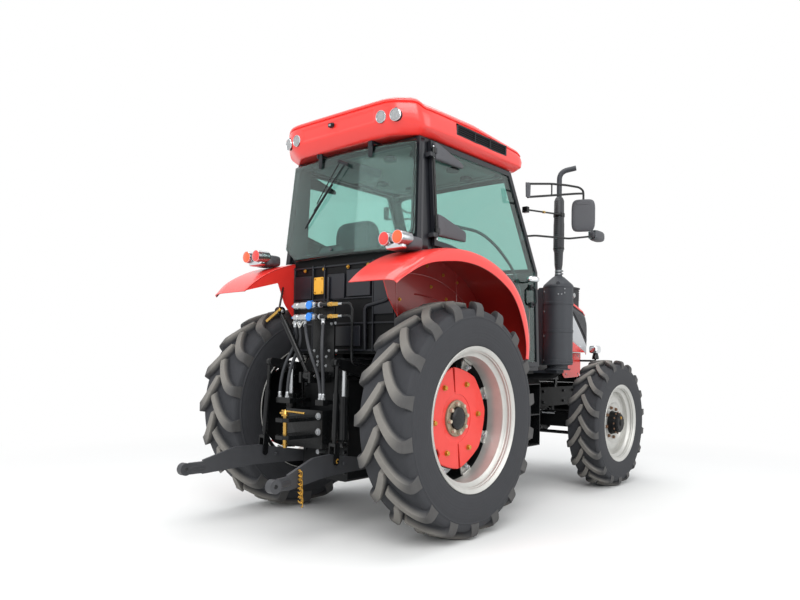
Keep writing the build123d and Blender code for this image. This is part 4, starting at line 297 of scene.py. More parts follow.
def recoat(material, *nodes):
    """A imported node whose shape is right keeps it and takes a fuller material."""
    for name in nodes:
        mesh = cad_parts[name].data
        for index in range(max(len(mesh.materials), 1)):
            if len(mesh.materials) <= index:
                mesh.materials.append(shade(material))
            mesh.materials[index] = shade(material)


def shade(name):
    """A finish by its name."""
    return bpy.data.materials[name]


def node(tree, kind, links=(), **settings):
    """Adds one shader node: settings name its properties or input sockets, links are (output, input) pairs."""
    made = tree.nodes.new(kind)
    for key, value in settings.items():
        if key[0] == "i" and key[1:].isdigit():
            made.inputs[int(key[1:])].default_value = value
        elif hasattr(made, key):
            setattr(made, key, value)
        else:
            made.inputs[key.replace("_", " ")].default_value = value
    for source, target in links:
        tree.links.new(source, made.inputs[target])
    return made


def coating(name, first, second, grain=100, bump=0.0, bump_grain=3, spread=0.06, toned=None, **sockets):
    """A finish whose colour drifts between two shades over patches of grain millimetres.

    A fine bump of its own depth and grain lies on it, its roughness drifts by spread, and toned is the colour
    that shows where the piece's tone is high."""
    material = bpy.data.materials.new(name)
    material.use_nodes = True
    tree = material.node_tree
    shader = tree.nodes["Principled BSDF"]
    for key, value in sockets.items():
        shader.inputs[key.replace("_", " ")].default_value = value
    roughness = shader.inputs["Roughness"].default_value
    where = node(tree, "ShaderNodeTexCoord").outputs["Object"]
    patches = node(tree, "ShaderNodeTexNoise", [(where, "Vector")], Scale=1000 / grain, Detail=6.0,
                   Roughness=0.62).outputs["Fac"]
    colour = node(tree, "ShaderNodeMix", [(patches, 0)], data_type="RGBA", i6=linear(first),
                  i7=linear(second)).outputs[2]
    if toned:
        tone = node(tree, "ShaderNodeAttribute", attribute_name="tone").outputs["Fac"]
        near = node(tree, "ShaderNodeMath", [(patches, 0)], operation="MULTIPLY_ADD", i1=0.5,
                    i2=0.75).outputs[0]
        share = node(tree, "ShaderNodeMath", [(tone, 0), (near, 1)], operation="MULTIPLY", use_clamp=True)
        colour = node(tree, "ShaderNodeMix", [(share.outputs[0], 0), (colour, 6)], data_type="RGBA",
                      i7=linear(toned)).outputs[2]
    tree.links.new(colour, shader.inputs["Base Color"])
    rough = node(tree, "ShaderNodeMapRange", [(patches, "Value")], i3=max(roughness - spread, 0.02),
                 i4=min(roughness + spread, 1.0))
    tree.links.new(rough.outputs["Result"], shader.inputs["Roughness"])
    if bump:
        fine = node(tree, "ShaderNodeTexNoise", [(where, "Vector")], Scale=1000 / bump_grain, Detail=3.0)
        relief = node(tree, "ShaderNodeBump", [(fine.outputs["Fac"], "Height")], Strength=0.6,
                      Distance=bump * 0.001)
        tree.links.new(relief.outputs["Normal"], shader.inputs["Normal"])
    return tree, shader


def pane_material(name, code, roughness=0.02):
    """Thin tinted glass that bends the eye's rays and lets lamplight straight through."""
    material = bpy.data.materials.new(name)
    material.use_nodes = True
    tree = material.node_tree
    shader = tree.nodes["Principled BSDF"]
    shader.inputs["Base Color"].default_value = linear(code)
    shader.inputs["Roughness"].default_value = roughness
    shader.inputs["Transmission Weight"].default_value = 1.0
    shader.inputs["IOR"].default_value = 1.45
    where = node(tree, "ShaderNodeTexCoord").outputs["Object"]
    film = node(tree, "ShaderNodeTexNoise", [(where, "Vector")], Scale=3.0, Detail=4.0)
    rough = node(tree, "ShaderNodeMapRange", [(film.outputs["Fac"], "Value")], i3=roughness,
                 i4=roughness + 0.03)
    tree.links.new(rough.outputs["Result"], shader.inputs["Roughness"])
    clear = node(tree, "ShaderNodeBsdfTransparent", Color=linear(code))
    ray = node(tree, "ShaderNodeLightPath").outputs["Is Shadow Ray"]
    both = node(tree, "ShaderNodeMixShader", [(ray, 0), (shader.outputs[0], 1), (clear.outputs[0], 2)])
    tree.links.new(both.outputs[0], tree.nodes["Material Output"].inputs["Surface"])
    return material


class TractorPaint(bpy.types.PropertyGroup):
    """The colours that an owner would choose."""

    body: FloatVectorProperty(name="Body", description="Lacquer on the roof, hood and fenders", subtype="COLOR",
                              size=4, default=linear("e5332c"), min=0, max=1)
    wheel: FloatVectorProperty(name="Wheel rims", description="Enamel on the rims", subtype="COLOR", size=4,
                               default=linear("cbcac5"), min=0, max=1)
    glass: FloatVectorProperty(name="Glass", description="Tint of the cab's panes", subtype="COLOR", size=4,
                               default=linear("b6dad3"), min=0, max=1)


class TractorSizes(bpy.types.PropertyGroup):
    """The sizes that an owner would change."""

    lugs: IntProperty(name="Lugs a side", description="Tread lugs on each half of a tyre", default=18, min=12,
                      max=26)
    rear_lug: FloatProperty(name="Rear lug height", description="Rubber above the rear casing", default=0.052,
                            min=0.02, max=0.06, unit="LENGTH")
    front_lug: FloatProperty(name="Front lug height", description="Rubber above the front casing",
                             default=0.042, min=0.015, max=0.05, unit="LENGTH")
    floor: FloatProperty(name="Floor", description="Radius of the floor under the tractor", default=40.0,
                         min=8.0, max=100.0, unit="LENGTH")


class TRACTOR_OT_finishes(bpy.types.Operator):
    """Mixes every finish that the pieces use."""

    bl_idname = "tractor.finishes"
    bl_label = "Mix finishes"

    def execute(self, context):
        paint = context.scene.tractor_paint
        red, silver = paint.body, paint.wheel
        # Cured tyre rubber: a dull grey black, paler on the lug tops towards the middle of the tread
        coating("mould_cured_rubber", "2d2e31", "393a3d", 60, 0.5, 2.5, 0.08, toned="77746f", Roughness=0.72,
                Specular_IOR_Level=0.28)
        # Silver enamel sprayed on rolled steel: pale, slightly metallic, with orange peel too fine to see
        coating("silver_wheel_enamel", silver, "a8a8a4", 160, 0.1, 2, 0.05, Roughness=0.38, Metallic=0.5)
        # Gloss enamel over a sand-cast face: the red with the casting's slight unevenness
        coating("red_cast_enamel", "e63c33", "dc342c", 120, 0.5, 5, 0.06, Roughness=0.4, Coat_Weight=0.2)
        # Two-pack lacquer on moulded panels: deep red under a clear gloss, turning dark red where a piece's tone
        # is high: painted shade, with some dust, under the fenders
        coating("red_panel_lacquer", red, "de2e28", 500, 0.06, 1.5, 0.03, toned="8a1a16", Roughness=0.34,
                Coat_Weight=0.5, Coat_Roughness=0.12)
        # The same lacquer under the fenders, sprayed thin, dulled by dust and darkened as painted shade
        coating("red_underside_dust_and_shade_lacquer", "b5231e", "a01f1a", 200, 0.2, 3, 0.08, Roughness=0.5)
        # Pale grey stripe under the same clear gloss
        coating("grey_stripe_lacquer", "b9bbbd", "adb0b2", 300, 0.05, 1.5, 0.03, Roughness=0.35,
                Coat_Weight=0.4)
        # Chassis black sprayed over sand castings, so grainy with a broken shine
        coating("black_cast_enamel", "0c0d0e", "141516", 45, 1.0, 4, 0.1, toned="27292b", Roughness=0.44,
                Specular_IOR_Level=0.14)
        # Gloss black on bar, tube and plate
        coating("black_gloss_enamel", "0c0d0e", "131415", 120, 0.15, 2, 0.06, toned="282a2c", Roughness=0.26,
                Specular_IOR_Level=0.3)
        # Satin black on the forged links, scuffed by implements, its black raised to a dark grey: painted
        # reflection of their gloss
        coating("scuffed_and_sheen_link_enamel", "303134", "3d3e41", 60, 0.25, 3, 0.08, toned="505256", Roughness=0.46)
        # Satin black on the cab's pressed frame, its black tinted a little blue: painted reflection of a bluish
        # sheen
        coating("black_cab_lacquer", "15171c", "1c1e24", 200, 0.1, 2, 0.05, Roughness=0.34,
                Specular_IOR_Level=0.42)
        # ABS moulded in a grained tool: soft shine, grain under a millimetre drawn at one so it shows
        coating("grained_black_abs", "1d1e21", "242529", 50, 0.35, 1.0, 0.05, Roughness=0.55,
                Specular_IOR_Level=0.35)
        # The same plastic in charcoal
        coating("charcoal_abs", "424347", "4b4c50", 60, 0.35, 1.0, 0.05, Roughness=0.52, Specular_IOR_Level=0.4)
        # Extruded seal rubber
        coating("black_seal_rubber", "0b0c0d", "121314", 30, 0.2, 1.5, 0.05, Roughness=0.62,
                Specular_IOR_Level=0.25)
        # Yellow passivated zinc on bolts: gold with green and pink drifts
        coating("yellow_zinc_plate", "c79b45", "b3873a", 12, 0.08, 1, 0.07, Roughness=0.32, Metallic=0.9)
        # Clear zinc on clips and pins
        coating("clear_zinc_plate", "c6c8ca", "a8abae", 14, 0.08, 1, 0.07, Roughness=0.3, Metallic=0.9)
        # The same plating greyed by heat
        coating("dull_zinc_plate", "9a9c9e", "7c7f82", 14, 0.08, 1, 0.08, Roughness=0.4, Metallic=0.85)
        # Chromed sheet, wiped but not bright
        coating("dull_chrome", "a9acae", "8e9194", 22, 0.06, 2, 0.06, Roughness=0.26, Metallic=0.95)
        # Turned brass
        coating("turned_brass", "cfa85c", "b98f46", 18, 0.08, 1, 0.06, Roughness=0.27, Metallic=0.95)
        # Silicone paint on hot sheet: dead matt
        coating("heat_proof_black", "24272c", "2d3137", 80, 0.3, 2, 0.06, Roughness=0.56)
        # Clear lens over a bright reflector, its flutes a few millimetres wide
        lens = coating("clear_lamp_lens", "c4c6c6", "5f6366", 9, 2.0, 9, 0.05, Roughness=0.2,
                       Coat_Weight=0.4)[1]
        lens.inputs["Metallic"].default_value = 0.5
        # Fluted red and amber lenses
        coating("red_lamp_lens", "d8342c", "c32a24", 6, 0.7, 5, 0.04, Roughness=0.15, Coat_Weight=0.8)
        coating("amber_lamp_lens", "ee5a22", "e04c1c", 6, 0.7, 5, 0.04, Roughness=0.15, Coat_Weight=0.8)
        # Vacuum-metallised plastic
        coating("chromed_reflector", "dfe1e3", "cfd2d5", 30, 0.05, 2, 0.03, Roughness=0.12, Metallic=1.0)
        # Wire-braided hose cover: matt with a fine wrap mark
        coating("hydraulic_hose_rubber", "26272a", "313337", 20, 0.5, 1.5, 0.05, Roughness=0.5)
        # Polyethylene dust cap
        coating("blue_cap_plastic", "2f7fd6", "2470c4", 20, 0.1, 1, 0.05, Roughness=0.35)
        # Needled headliner felt over foam
        coating("grey_headliner_felt", "7d837f", "6f7572", 30, 0.8, 1.5, 0.05, Roughness=0.9, Sheen_Weight=0.3)
        # Gloss enamel on the blank plate
        coating("yellow_sign_enamel", "e0a93c", "d39a30", 40, 0.05, 1, 0.04, Roughness=0.35)
        # Hard chrome on the lift cylinder's rod
        coating("polished_rod_chrome", "d6d8da", "c3c6c9", 60, 0.02, 2, 0.03, Roughness=0.1, Metallic=1.0)
        # First-surface mirror
        coating("mirror_glass", "c9d2d6", "bcc6cb", 300, 0.0, 2, 0.02, Roughness=0.03, Metallic=1.0)
        # Perforated sheet: 9 mm holes on a 14 mm square turned 45 degrees, drawn from a lattice of points
        tree, shader = coating("perforated_black_steel", "2a2c30", "34363b", 90, Roughness=0.45)
        where = node(tree, "ShaderNodeTexCoord").outputs["Object"]
        flat = node(tree, "ShaderNodeMapping", [(where, "Vector")], i2=(0, radians(45), 0), i3=(1, 0.001, 1))
        holes = node(tree, "ShaderNodeTexVoronoi", [(flat.outputs[0], "Vector")], Scale=1000 / 14,
                     Randomness=0.0)
        edge = node(tree, "ShaderNodeMapRange", [(holes.outputs["Distance"], "Value")], i1=0.30, i2=0.36)
        plain = shader.inputs["Base Color"].links[0].from_socket
        dark = node(tree, "ShaderNodeMix", [(edge.outputs["Result"], 0), (plain, 7)], data_type="RGBA",
                    i6=linear("050506"))
        tree.links.new(dark.outputs[2], shader.inputs["Base Color"])
        relief = node(tree, "ShaderNodeBump", [(edge.outputs["Result"], "Height")], Strength=0.8,
                      Distance=0.003)
        tree.links.new(relief.outputs["Normal"], shader.inputs["Normal"])
        # Basket weave, 3 mm threads drawn at 5 so they show, with the soft edge that cloth has
        tree, shader = coating("woven_seat_cloth", "2c2e33", "383b41", 40, Roughness=0.88, Sheen_Weight=0.25)
        where = node(tree, "ShaderNodeTexCoord").outputs["Object"]
        threads = [node(tree, "ShaderNodeTexWave", [(where, "Vector")], wave_type="BANDS", bands_direction=way,
                        Scale=1000 / 5 / 6.28, Distortion=0.4).outputs["Fac"] for way in ("Y", "DIAGONAL")]
        weave = node(tree, "ShaderNodeMath", [(threads[0], 0), (threads[1], 1)], operation="MULTIPLY")
        relief = node(tree, "ShaderNodeBump", [(weave.outputs[0], "Height")], Strength=0.5, Distance=0.001)
        tree.links.new(relief.outputs["Normal"], shader.inputs["Normal"])
        # Forged hub steel with the paint worn off its edges and a breath of rust
        coating("worn_hub_steel", "a69a86", "7a6650", 14, 0.4, 3, 0.12, toned="d2c6b2", Roughness=0.45,
                Metallic=0.55)
        # Plain bolts that have rusted where the wrench took their plating
        coating("rusted_bolt_steel", "8a6a52", "5e4637", 10, 0.4, 2, 0.1, Roughness=0.55, Metallic=0.5)
        pane_material("tinted_cab_glass", paint.glass)
        # Matt paper floor: white to the eye and to mirrors, grey enough elsewhere not to light the underside
        # and turning to plain white away from the tractor
        tree, shader = coating("matt_studio_floor", "e2e2e0", "e6e6e4", 900, Roughness=0.95)
        shader.inputs["Specular IOR Level"].default_value = 0.0
        where = node(tree, "ShaderNodeTexCoord").outputs["Object"]
        away = node(tree, "ShaderNodeVectorMath", [(where, 0)], operation="LENGTH").outputs["Value"]
        far = node(tree, "ShaderNodeMapRange", [(away, "Value")],
                   interpolation_type="SMOOTHSTEP", i1=2.2, i2=6.5)
        share = node(tree, "ShaderNodeMath", [(far.outputs["Result"], 0), (backdrop_rays(tree), 1)],
                     operation="MULTIPLY")
        white = node(tree, "ShaderNodeEmission", Color=(1, 1, 1, 1), Strength=1.0)
        both = node(tree, "ShaderNodeMixShader", [(share.outputs[0], 0), (shader.outputs[0], 1),
                                                  (white.outputs[0], 2)])
        tree.links.new(both.outputs[0], tree.nodes["Material Output"].inputs["Surface"])
        return {"FINISHED"}


# ---------------------------------------------------------------- floor, light and camera
class TRACTOR_OT_stage(bpy.types.Operator):
    """Lays the pale floor, hangs the soft lamps and sets up the camera."""

    bl_idname = "tractor.stage"
    bl_label = "Stage"

    def execute(self, context):
        scene, radius = context.scene, context.scene.tractor_sizes.floor * 1000
        scene.view_settings.view_transform = "Standard"
        disc = Shape().turned([(0, 0), (0, radius)], (0, 0, -1), Z, 64)
        piece("studio_floor", disc, "matt_studio_floor", None)
        world = bpy.data.worlds.new("studio")
        scene.world = world
        world.use_nodes = True
        tree = world.node_tree
        soft = tree.nodes["Background"]
        soft.inputs["Color"].default_value, soft.inputs["Strength"].default_value = linear("f2f5fa"), 0.72
        white = node(tree, "ShaderNodeBackground", Color=(1, 1, 1, 1), Strength=1.0)
        seen = backdrop_rays(tree)
        both = node(tree, "ShaderNodeMixShader", [(seen, 0), (soft.outputs[0], 1), (white.outputs[0], 2)])
        tree.links.new(both.outputs[0], tree.nodes["World Output"].inputs["Surface"])
        lamps = (("key", (-7.0, -5.5, 7.5), 6.0, 620), ("fill", (2.0, -9.0, 4.0), 6.0, 260),
                 ("rear", (-9.0, 3.0, 4.0), 5.0, 300), ("top", (0.5, 0.5, 9.0), 7.0, 420))
        for name, spot, size, power in lamps:
            lamp = bpy.data.lights.new(name + "_softbox", "AREA")
            lamp.size, lamp.energy = size, power
            holder = bpy.data.objects.new(name + "_softbox", lamp)
            holder.location = spot
            holder.visible_glossy = name != "rear"
            holder.rotation_euler = (Vector((0, 0, 1.2)) - Vector(spot)).to_track_quat("-Z", "Y").to_euler()
            scene.collection.objects.link(holder)
        camera = bpy.data.cameras.new("camera")
        camera.lens, camera.sensor_width, camera.shift_x, camera.shift_y = 31.15, 36, -0.0099, 0.0712
        heading, pitch = radians(39.65), radians(0.13)
        gaze = Vector((np.cos(heading) * np.cos(pitch), np.sin(heading) * np.cos(pitch), np.sin(pitch)))
        eye = bpy.data.objects.new("camera", camera)
        eye.matrix_world = (Matrix.Translation((-5.1075, -3.725, 1.242)) @ gaze.to_track_quat("-Z", "Y")
                            .to_matrix().to_4x4() @ Matrix.Rotation(radians(0.66), 4, "Z"))
        scene.collection.objects.link(eye)
        scene.camera = eye
        return {"FINISHED"}


def backdrop_rays(tree):
    """1 where a ray comes straight from the camera, off a mirror-like face or through glass."""
    path = node(tree, "ShaderNodeLightPath")
    first = node(tree, "ShaderNodeMath",
                 [(path.outputs["Is Camera Ray"], 0), (path.outputs["Is Glossy Ray"], 1)], operation="MAXIMUM")
    return node(tree, "ShaderNodeMath", [(first.outputs[0], 0), (path.outputs["Is Transmission Ray"], 1)],
                operation="MAXIMUM").outputs[0]


# ---------------------------------------------------------------- hoses
# each hose: its corners from the coupler down to the manifold under the frame
HOSES = (
    ((-600, 150, 1504.7), (-600, 150, 1465), (-552, 172, 1370), (-620, 289, 1130), (-620, 289, 945.3)),
    ((-600, 100, 1504.7), (-600, 100, 1465), (-556, 128, 1350), (-620, 205, 1130), (-620, 205, 945.3)),
    ((-600, 40, 1504.7), (-600, 40, 1455), (-700, -112, 1290), (-620, -146, 1080), (-620, -146, 945.3)),
    ((-600, -145, 1514.7), (-600, -145, 1455), (-700, -240, 1310), (-620, -176, 1080), (-620, -176, 945.3)),
)
HOSE_R = 12


def route_of(hose):
    """The points that a hose's own spline passes through, in millimetres, read from the curve with no bevel."""
    depth, hose.data.bevel_depth = hose.data.bevel_depth, 0
    mesh = bpy.data.meshes.new_from_object(hose)
    hose.data.bevel_depth = depth
    points = np.array([vertex.co for vertex in mesh.vertices])
    return (points - np.array([AXLE, 0, 0])) * 1000


class TRACTOR_OT_hoses(bpy.types.Operator):
    """Hangs the four hydraulic hoses, each on one smooth line, and crimps their ferrules."""

    bl_idname = "tractor.hoses"
    bl_label = "Hydraulic hoses"

    def execute(self, context):
        for number, corners in enumerate(HOSES):
            data = bpy.data.curves.new(f"hydraulic_hose_{number}", "CURVE")
            data.dimensions, data.resolution_u = "3D", 24
            line = data.splines.new("NURBS")
            line.points.add(len(corners) - 1)
            line.points.foreach_set("co", np.column_stack([place(corners), np.ones(len(corners))]).ravel())
            line.points.foreach_set("radius", np.full(len(corners), HOSE_R * 0.001))
            line.order_u, line.use_endpoint_u = 3, True
            data.bevel_depth, data.bevel_resolution, data.use_fill_caps = 1.0, 6, True
            data.materials.append(shade("hydraulic_hose_rubber"))
            hose = bpy.data.objects.new(data.name, data)
            context.scene.collection.objects.link(hose)
            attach(hose, "chassis")
            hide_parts("hydraulic_hoses")
            context.view_layer.update()
            route = route_of(hose)
            ferrules = Shape()
            for end, ahead in ((route[0], route[2]), (route[-1], route[-3])):
                ferrules.turned([(2, 0), (2, 13), (4, 14.6), (10, 14.6), (12, 13.6), (18, 13.6), (20, 14.6),
                                 (40, 14.6), (43, 12.8), (43, 0)], end, ahead - end, 20)
                ferrules.turned([(-2, 0), (-2, 13.5), (0, 15.5), (9, 15.5), (11, 13.5), (11, 0)], end,
                                ahead - end, 6)
            collar = piece(f"hose_ferrules_{number}", ferrules, "clear_zinc_plate")
        return {"FINISHED"}


# ---------------------------------------------------------------- tyres
# rear tyre's section from the rim outwards: (out from its middle, radius); a front tyre takes it to scale
SIDEWALL = ((198, 514), (203, 528), (207, 556), (210, 600), (211.5, 640), (211.5, 662), (210, 684),
            (207.5, 699), (209.5, 702), (210.5, 706), (209, 710), (205, 714), (203, 732), (195, 752),
            (180, 764), (120, 771), (0, 775))
INSIDE = ((186, 484.5), (150, 484.5), (158, 505), (178, 560), (186, 640), (180, 700), (160, 735), (0, 747))
LUG_FOOT = ((-20, 775), (0, 774), (60, 772.5), (120, 769), (170, 761), (196, 748), (204, 736), (206, 724),
            (205, 706))
LUG_TOP = ((-20, 825), (0, 825), (60, 824.5), (120, 822), (170, 815), (198, 802), (209, 782), (211.5, 752),
           (211.5, 714))
# height of the lug's cross-section: (share of the half width, share of the height, sinks at the shoulder)
LUG_SECTION = ((-1.32, -0.12, 0), (-1.16, 0.3, 0), (-1.0, 0.94, 0), (-0.9, 1.0, 0), (-0.45, 1.0, 1),
               (0.45, 1.0, 1), (0.9, 1.0, 0), (1.0, 0.94, 0), (1.16, 0.3, 0), (1.32, -0.12, 0))
# the front axle's station and height, and the rear axle's height
FRONT_AXLE_X, FRONT_AXLE_Z, REAR_AXLE_Z = 2681, 625, 825
# end, station, half track, radius, half width, bead seat radius, rim half width
TYRES = (("rear", 0, 850, REAR_AXLE_Z, 212, 483, 200),
         ("front", FRONT_AXLE_X, 820, FRONT_AXLE_Z, 157, 356, 147))


def scaled_section(points, radius, half, seat):
    """A rear tyre's section points brought to another size, about the tread's outer radius."""
    points = np.asarray(points, float)
    _, _, _, rear_radius, rear_half, rear_seat, _ = TYRES[0]
    depth = (rear_radius - points[:, 1]) * (radius - seat) / (rear_radius - rear_seat)
    return np.column_stack([points[:, 0] * half / rear_half, radius - depth])


def lug_surface(radius, half, seat, height):
    """One tread lug: rows run down its path, and columns cross it.

    The path leaves the centre line steeply, at s = 270 (1 - (1 - t)^1.7) of a rear tyre's millimetres round the
    tread for t along the section from centre to shoulder, and then runs straight down the shoulder. Each column
    stands off the path along its normal, and its height is shared between the casing and the lug's crown."""
    scale = half / 212
    foot, top = scaled_section(LUG_FOOT, radius, half, seat), scaled_section(LUG_TOP, radius, half, seat)
    foot[:, 1] = np.where(foot[:, 1] > radius * 0.9, foot[:, 1] - (height - 50 * (radius - seat) / 342),
                          foot[:, 1])
    run = np.concatenate([[0], np.cumsum(np.linalg.norm(np.diff(top, axis=0), axis=1))])
    along = np.linspace(0, run[-1], 26)
    shoulder = run[5]
    t = np.clip(along / shoulder, 0, 1)
    path = 270 * scale * (1 - (1 - t) ** 1.7)
    slope = np.gradient(path, along)
    normal = np.column_stack([-slope, np.ones_like(slope)]) / np.sqrt(1 + slope ** 2)[:, None]
    width = np.interp(along, [0, shoulder * 0.5, shoulder, run[-1]], [20, 24, 34, 46]) * scale * 1.12
    section = np.array(LUG_SECTION)
    u = along[:, None] + normal[:, :1] * width[:, None] * section[:, 0]
    s = path[:, None] + normal[:, 1:] * width[:, None] * section[:, 0]
    u = np.clip(u, 0, run[-1])
    sink = section[:, 2] * 0.62 * ease(along, shoulder * 1.02, shoulder * 1.2)[:, None]
    rise = section[:, 1] * (1 - sink)
    rise[0], rise[-1] = np.minimum(rise[0], 0.2), np.minimum(rise[-1], -0.1)
    low = np.stack([np.interp(u, run, foot[:, k]) for k in (0, 1)])
    high = np.stack([np.interp(u, run, top[:, k]) for k in (0, 1)])
    out, reach = low + (high - low) * rise
    crown = ease(section[:, 1], 0.6, 0.95) * (1 - 0.75 * ease(along, shoulder * 0.45, shoulder * 0.98))[:, None]
    return out, reach, s / radius, crown


def tread(shape, hub, radius, half, seat, height, lugs):
    """Every lug of a tyre, its two halves staggered by half a pitch."""
    out, reach, angle, crown = lug_surface(radius, half, seat, height)
    for hand in (1, -1):
        for number in range(lugs):
            turn = angle + 2 * np.pi * (number + (0.5 if hand < 0 else 0)) / lugs
            points = np.stack([reach * np.cos(turn), hand * out, reach * np.sin(turn)], axis=-1) + np.array(hub)
            shape.grid(points, wrap_v=True, cap=True, tone=crown)


class TRACTOR_OT_tyres(bpy.types.Operator):
    """Moulds the four lugged tyres."""

    bl_idname = "tractor.tyres"
    bl_label = "Tyres"

    def execute(self, context):
        sizes = context.scene.tractor_sizes
        for end, station, track, radius, half, seat, rim in TYRES:
            height = 1000 * (sizes.rear_lug if end == "rear" else sizes.front_lug)
            wall = scaled_section(SIDEWALL, radius, half, seat)
            lining = scaled_section(INSIDE, radius, half, seat)
            bead = [(rim - 9.3, seat + 1), (rim - 9.3, seat + 25), (rim - 4, seat + 28)]
            ribs = evenly(np.vstack([bead[1:], wall]), 72)
            ribs[:, 0] += 0.45 * np.sin(ribs[:, 1] * 2 * np.pi / 9) * ease(ribs[:, 1], seat + 40, seat + 60) * (
                1 - ease(ribs[:, 1], seat + 190 * half / 212, seat + 210 * half / 212))
            half_loop = np.vstack([lining[::-1], bead[:1], ribs])
            mirror = half_loop[::-1] * np.array([-1, 1])
            loop = np.vstack([half_loop, mirror[1:-1]])
            for name, side in SIDES:
                hub = (station, side * track, radius)
                casing = Shape().turned(loop, hub, Y, 128, closed=True)
                tread(casing, hub, radius, half, seat, height, sizes.lugs)
                piece(f"tyre_{end}_{name}_moulding", casing, "mould_cured_rubber", f"wheel_{end}_{name}",
                      replaces=(f"tyre_{end}_{name}",), sharp=38)
        return {"FINISHED"}


# ---------------------------------------------------------------- wheels
def rim_section(half, seat):
    """A rolled rim as a closed loop of its tyre side and the side that shows, with the flange's roll and two
    step rings, and then one half of the side that shows."""
    outer = [(half - 6, seat + 24.5), (half - 8.8, seat + 22), (half - 8.8, seat + 0.6), (half - 50, seat),
             (half - 72, seat - 37)]
    shown = [(half - 72, seat - 47), (half - 62, seat - 45), (half - 50, seat - 16), (half - 44, seat - 12),
             (half - 34, seat - 12), (half - 31, seat - 15), (half - 26, seat - 15), (half - 22, seat - 9),
             (half - 12, seat - 8), (half - 8, seat - 3), (half - 3, seat + 4), (half + 1, seat + 17),
             (half + 3, seat + 21), (half + 1, seat + 25), (half - 3, seat + 26.5)]
    left = np.array(outer)[::-1] * (-1, 1)
    return np.vstack([outer, left, (np.array(shown) * (-1, 1))[::-1], shown]), np.array(shown)


def wheel_dish(low, high, radius_in, radius_out, start, stop):
    """Part of a flat ring between two angles, as a closed plate about y.

    Its rim lies half-way between a circle and an eight-sided outline, with the notches cut in it."""
    angle = np.linspace(np.radians(start), np.radians(stop), 73)
    flats = radius_out / np.cos((angle % (np.pi / 4)) - np.pi / 8) * np.cos(np.pi / 8)
    edge = np.minimum(0.5 * flats + 0.48 * radius_out, radius_out * 0.975)
    for centre, width, depth in CENTRE_NOTCHES:
        away = np.abs((np.degrees(angle) - centre + 180) % 360 - 180)
        edge = edge - depth * (1 - ease(away, width * 0.6, width))
    rows = np.stack([np.full_like(angle, radius_in), edge - 5, edge, edge, edge - 5,
                     np.full_like(angle, radius_in)])
    outs = np.array([high, high, high - 5, low + 5, low, low])
    return np.stack([rows * np.cos(angle), np.broadcast_to(outs[:, None], rows.shape), rows * np.sin(angle)],
                    axis=-1)


# the wheel centre's two halves start here, in degrees, and are turned together by an angle in radians
CENTRE_STARTS, CENTRE_TURN = (2, 182), 1.45
# notches in the wheel centre's rim: (place and half width in degrees, depth)
CENTRE_NOTCHES = ((309, 7.5, 60),)


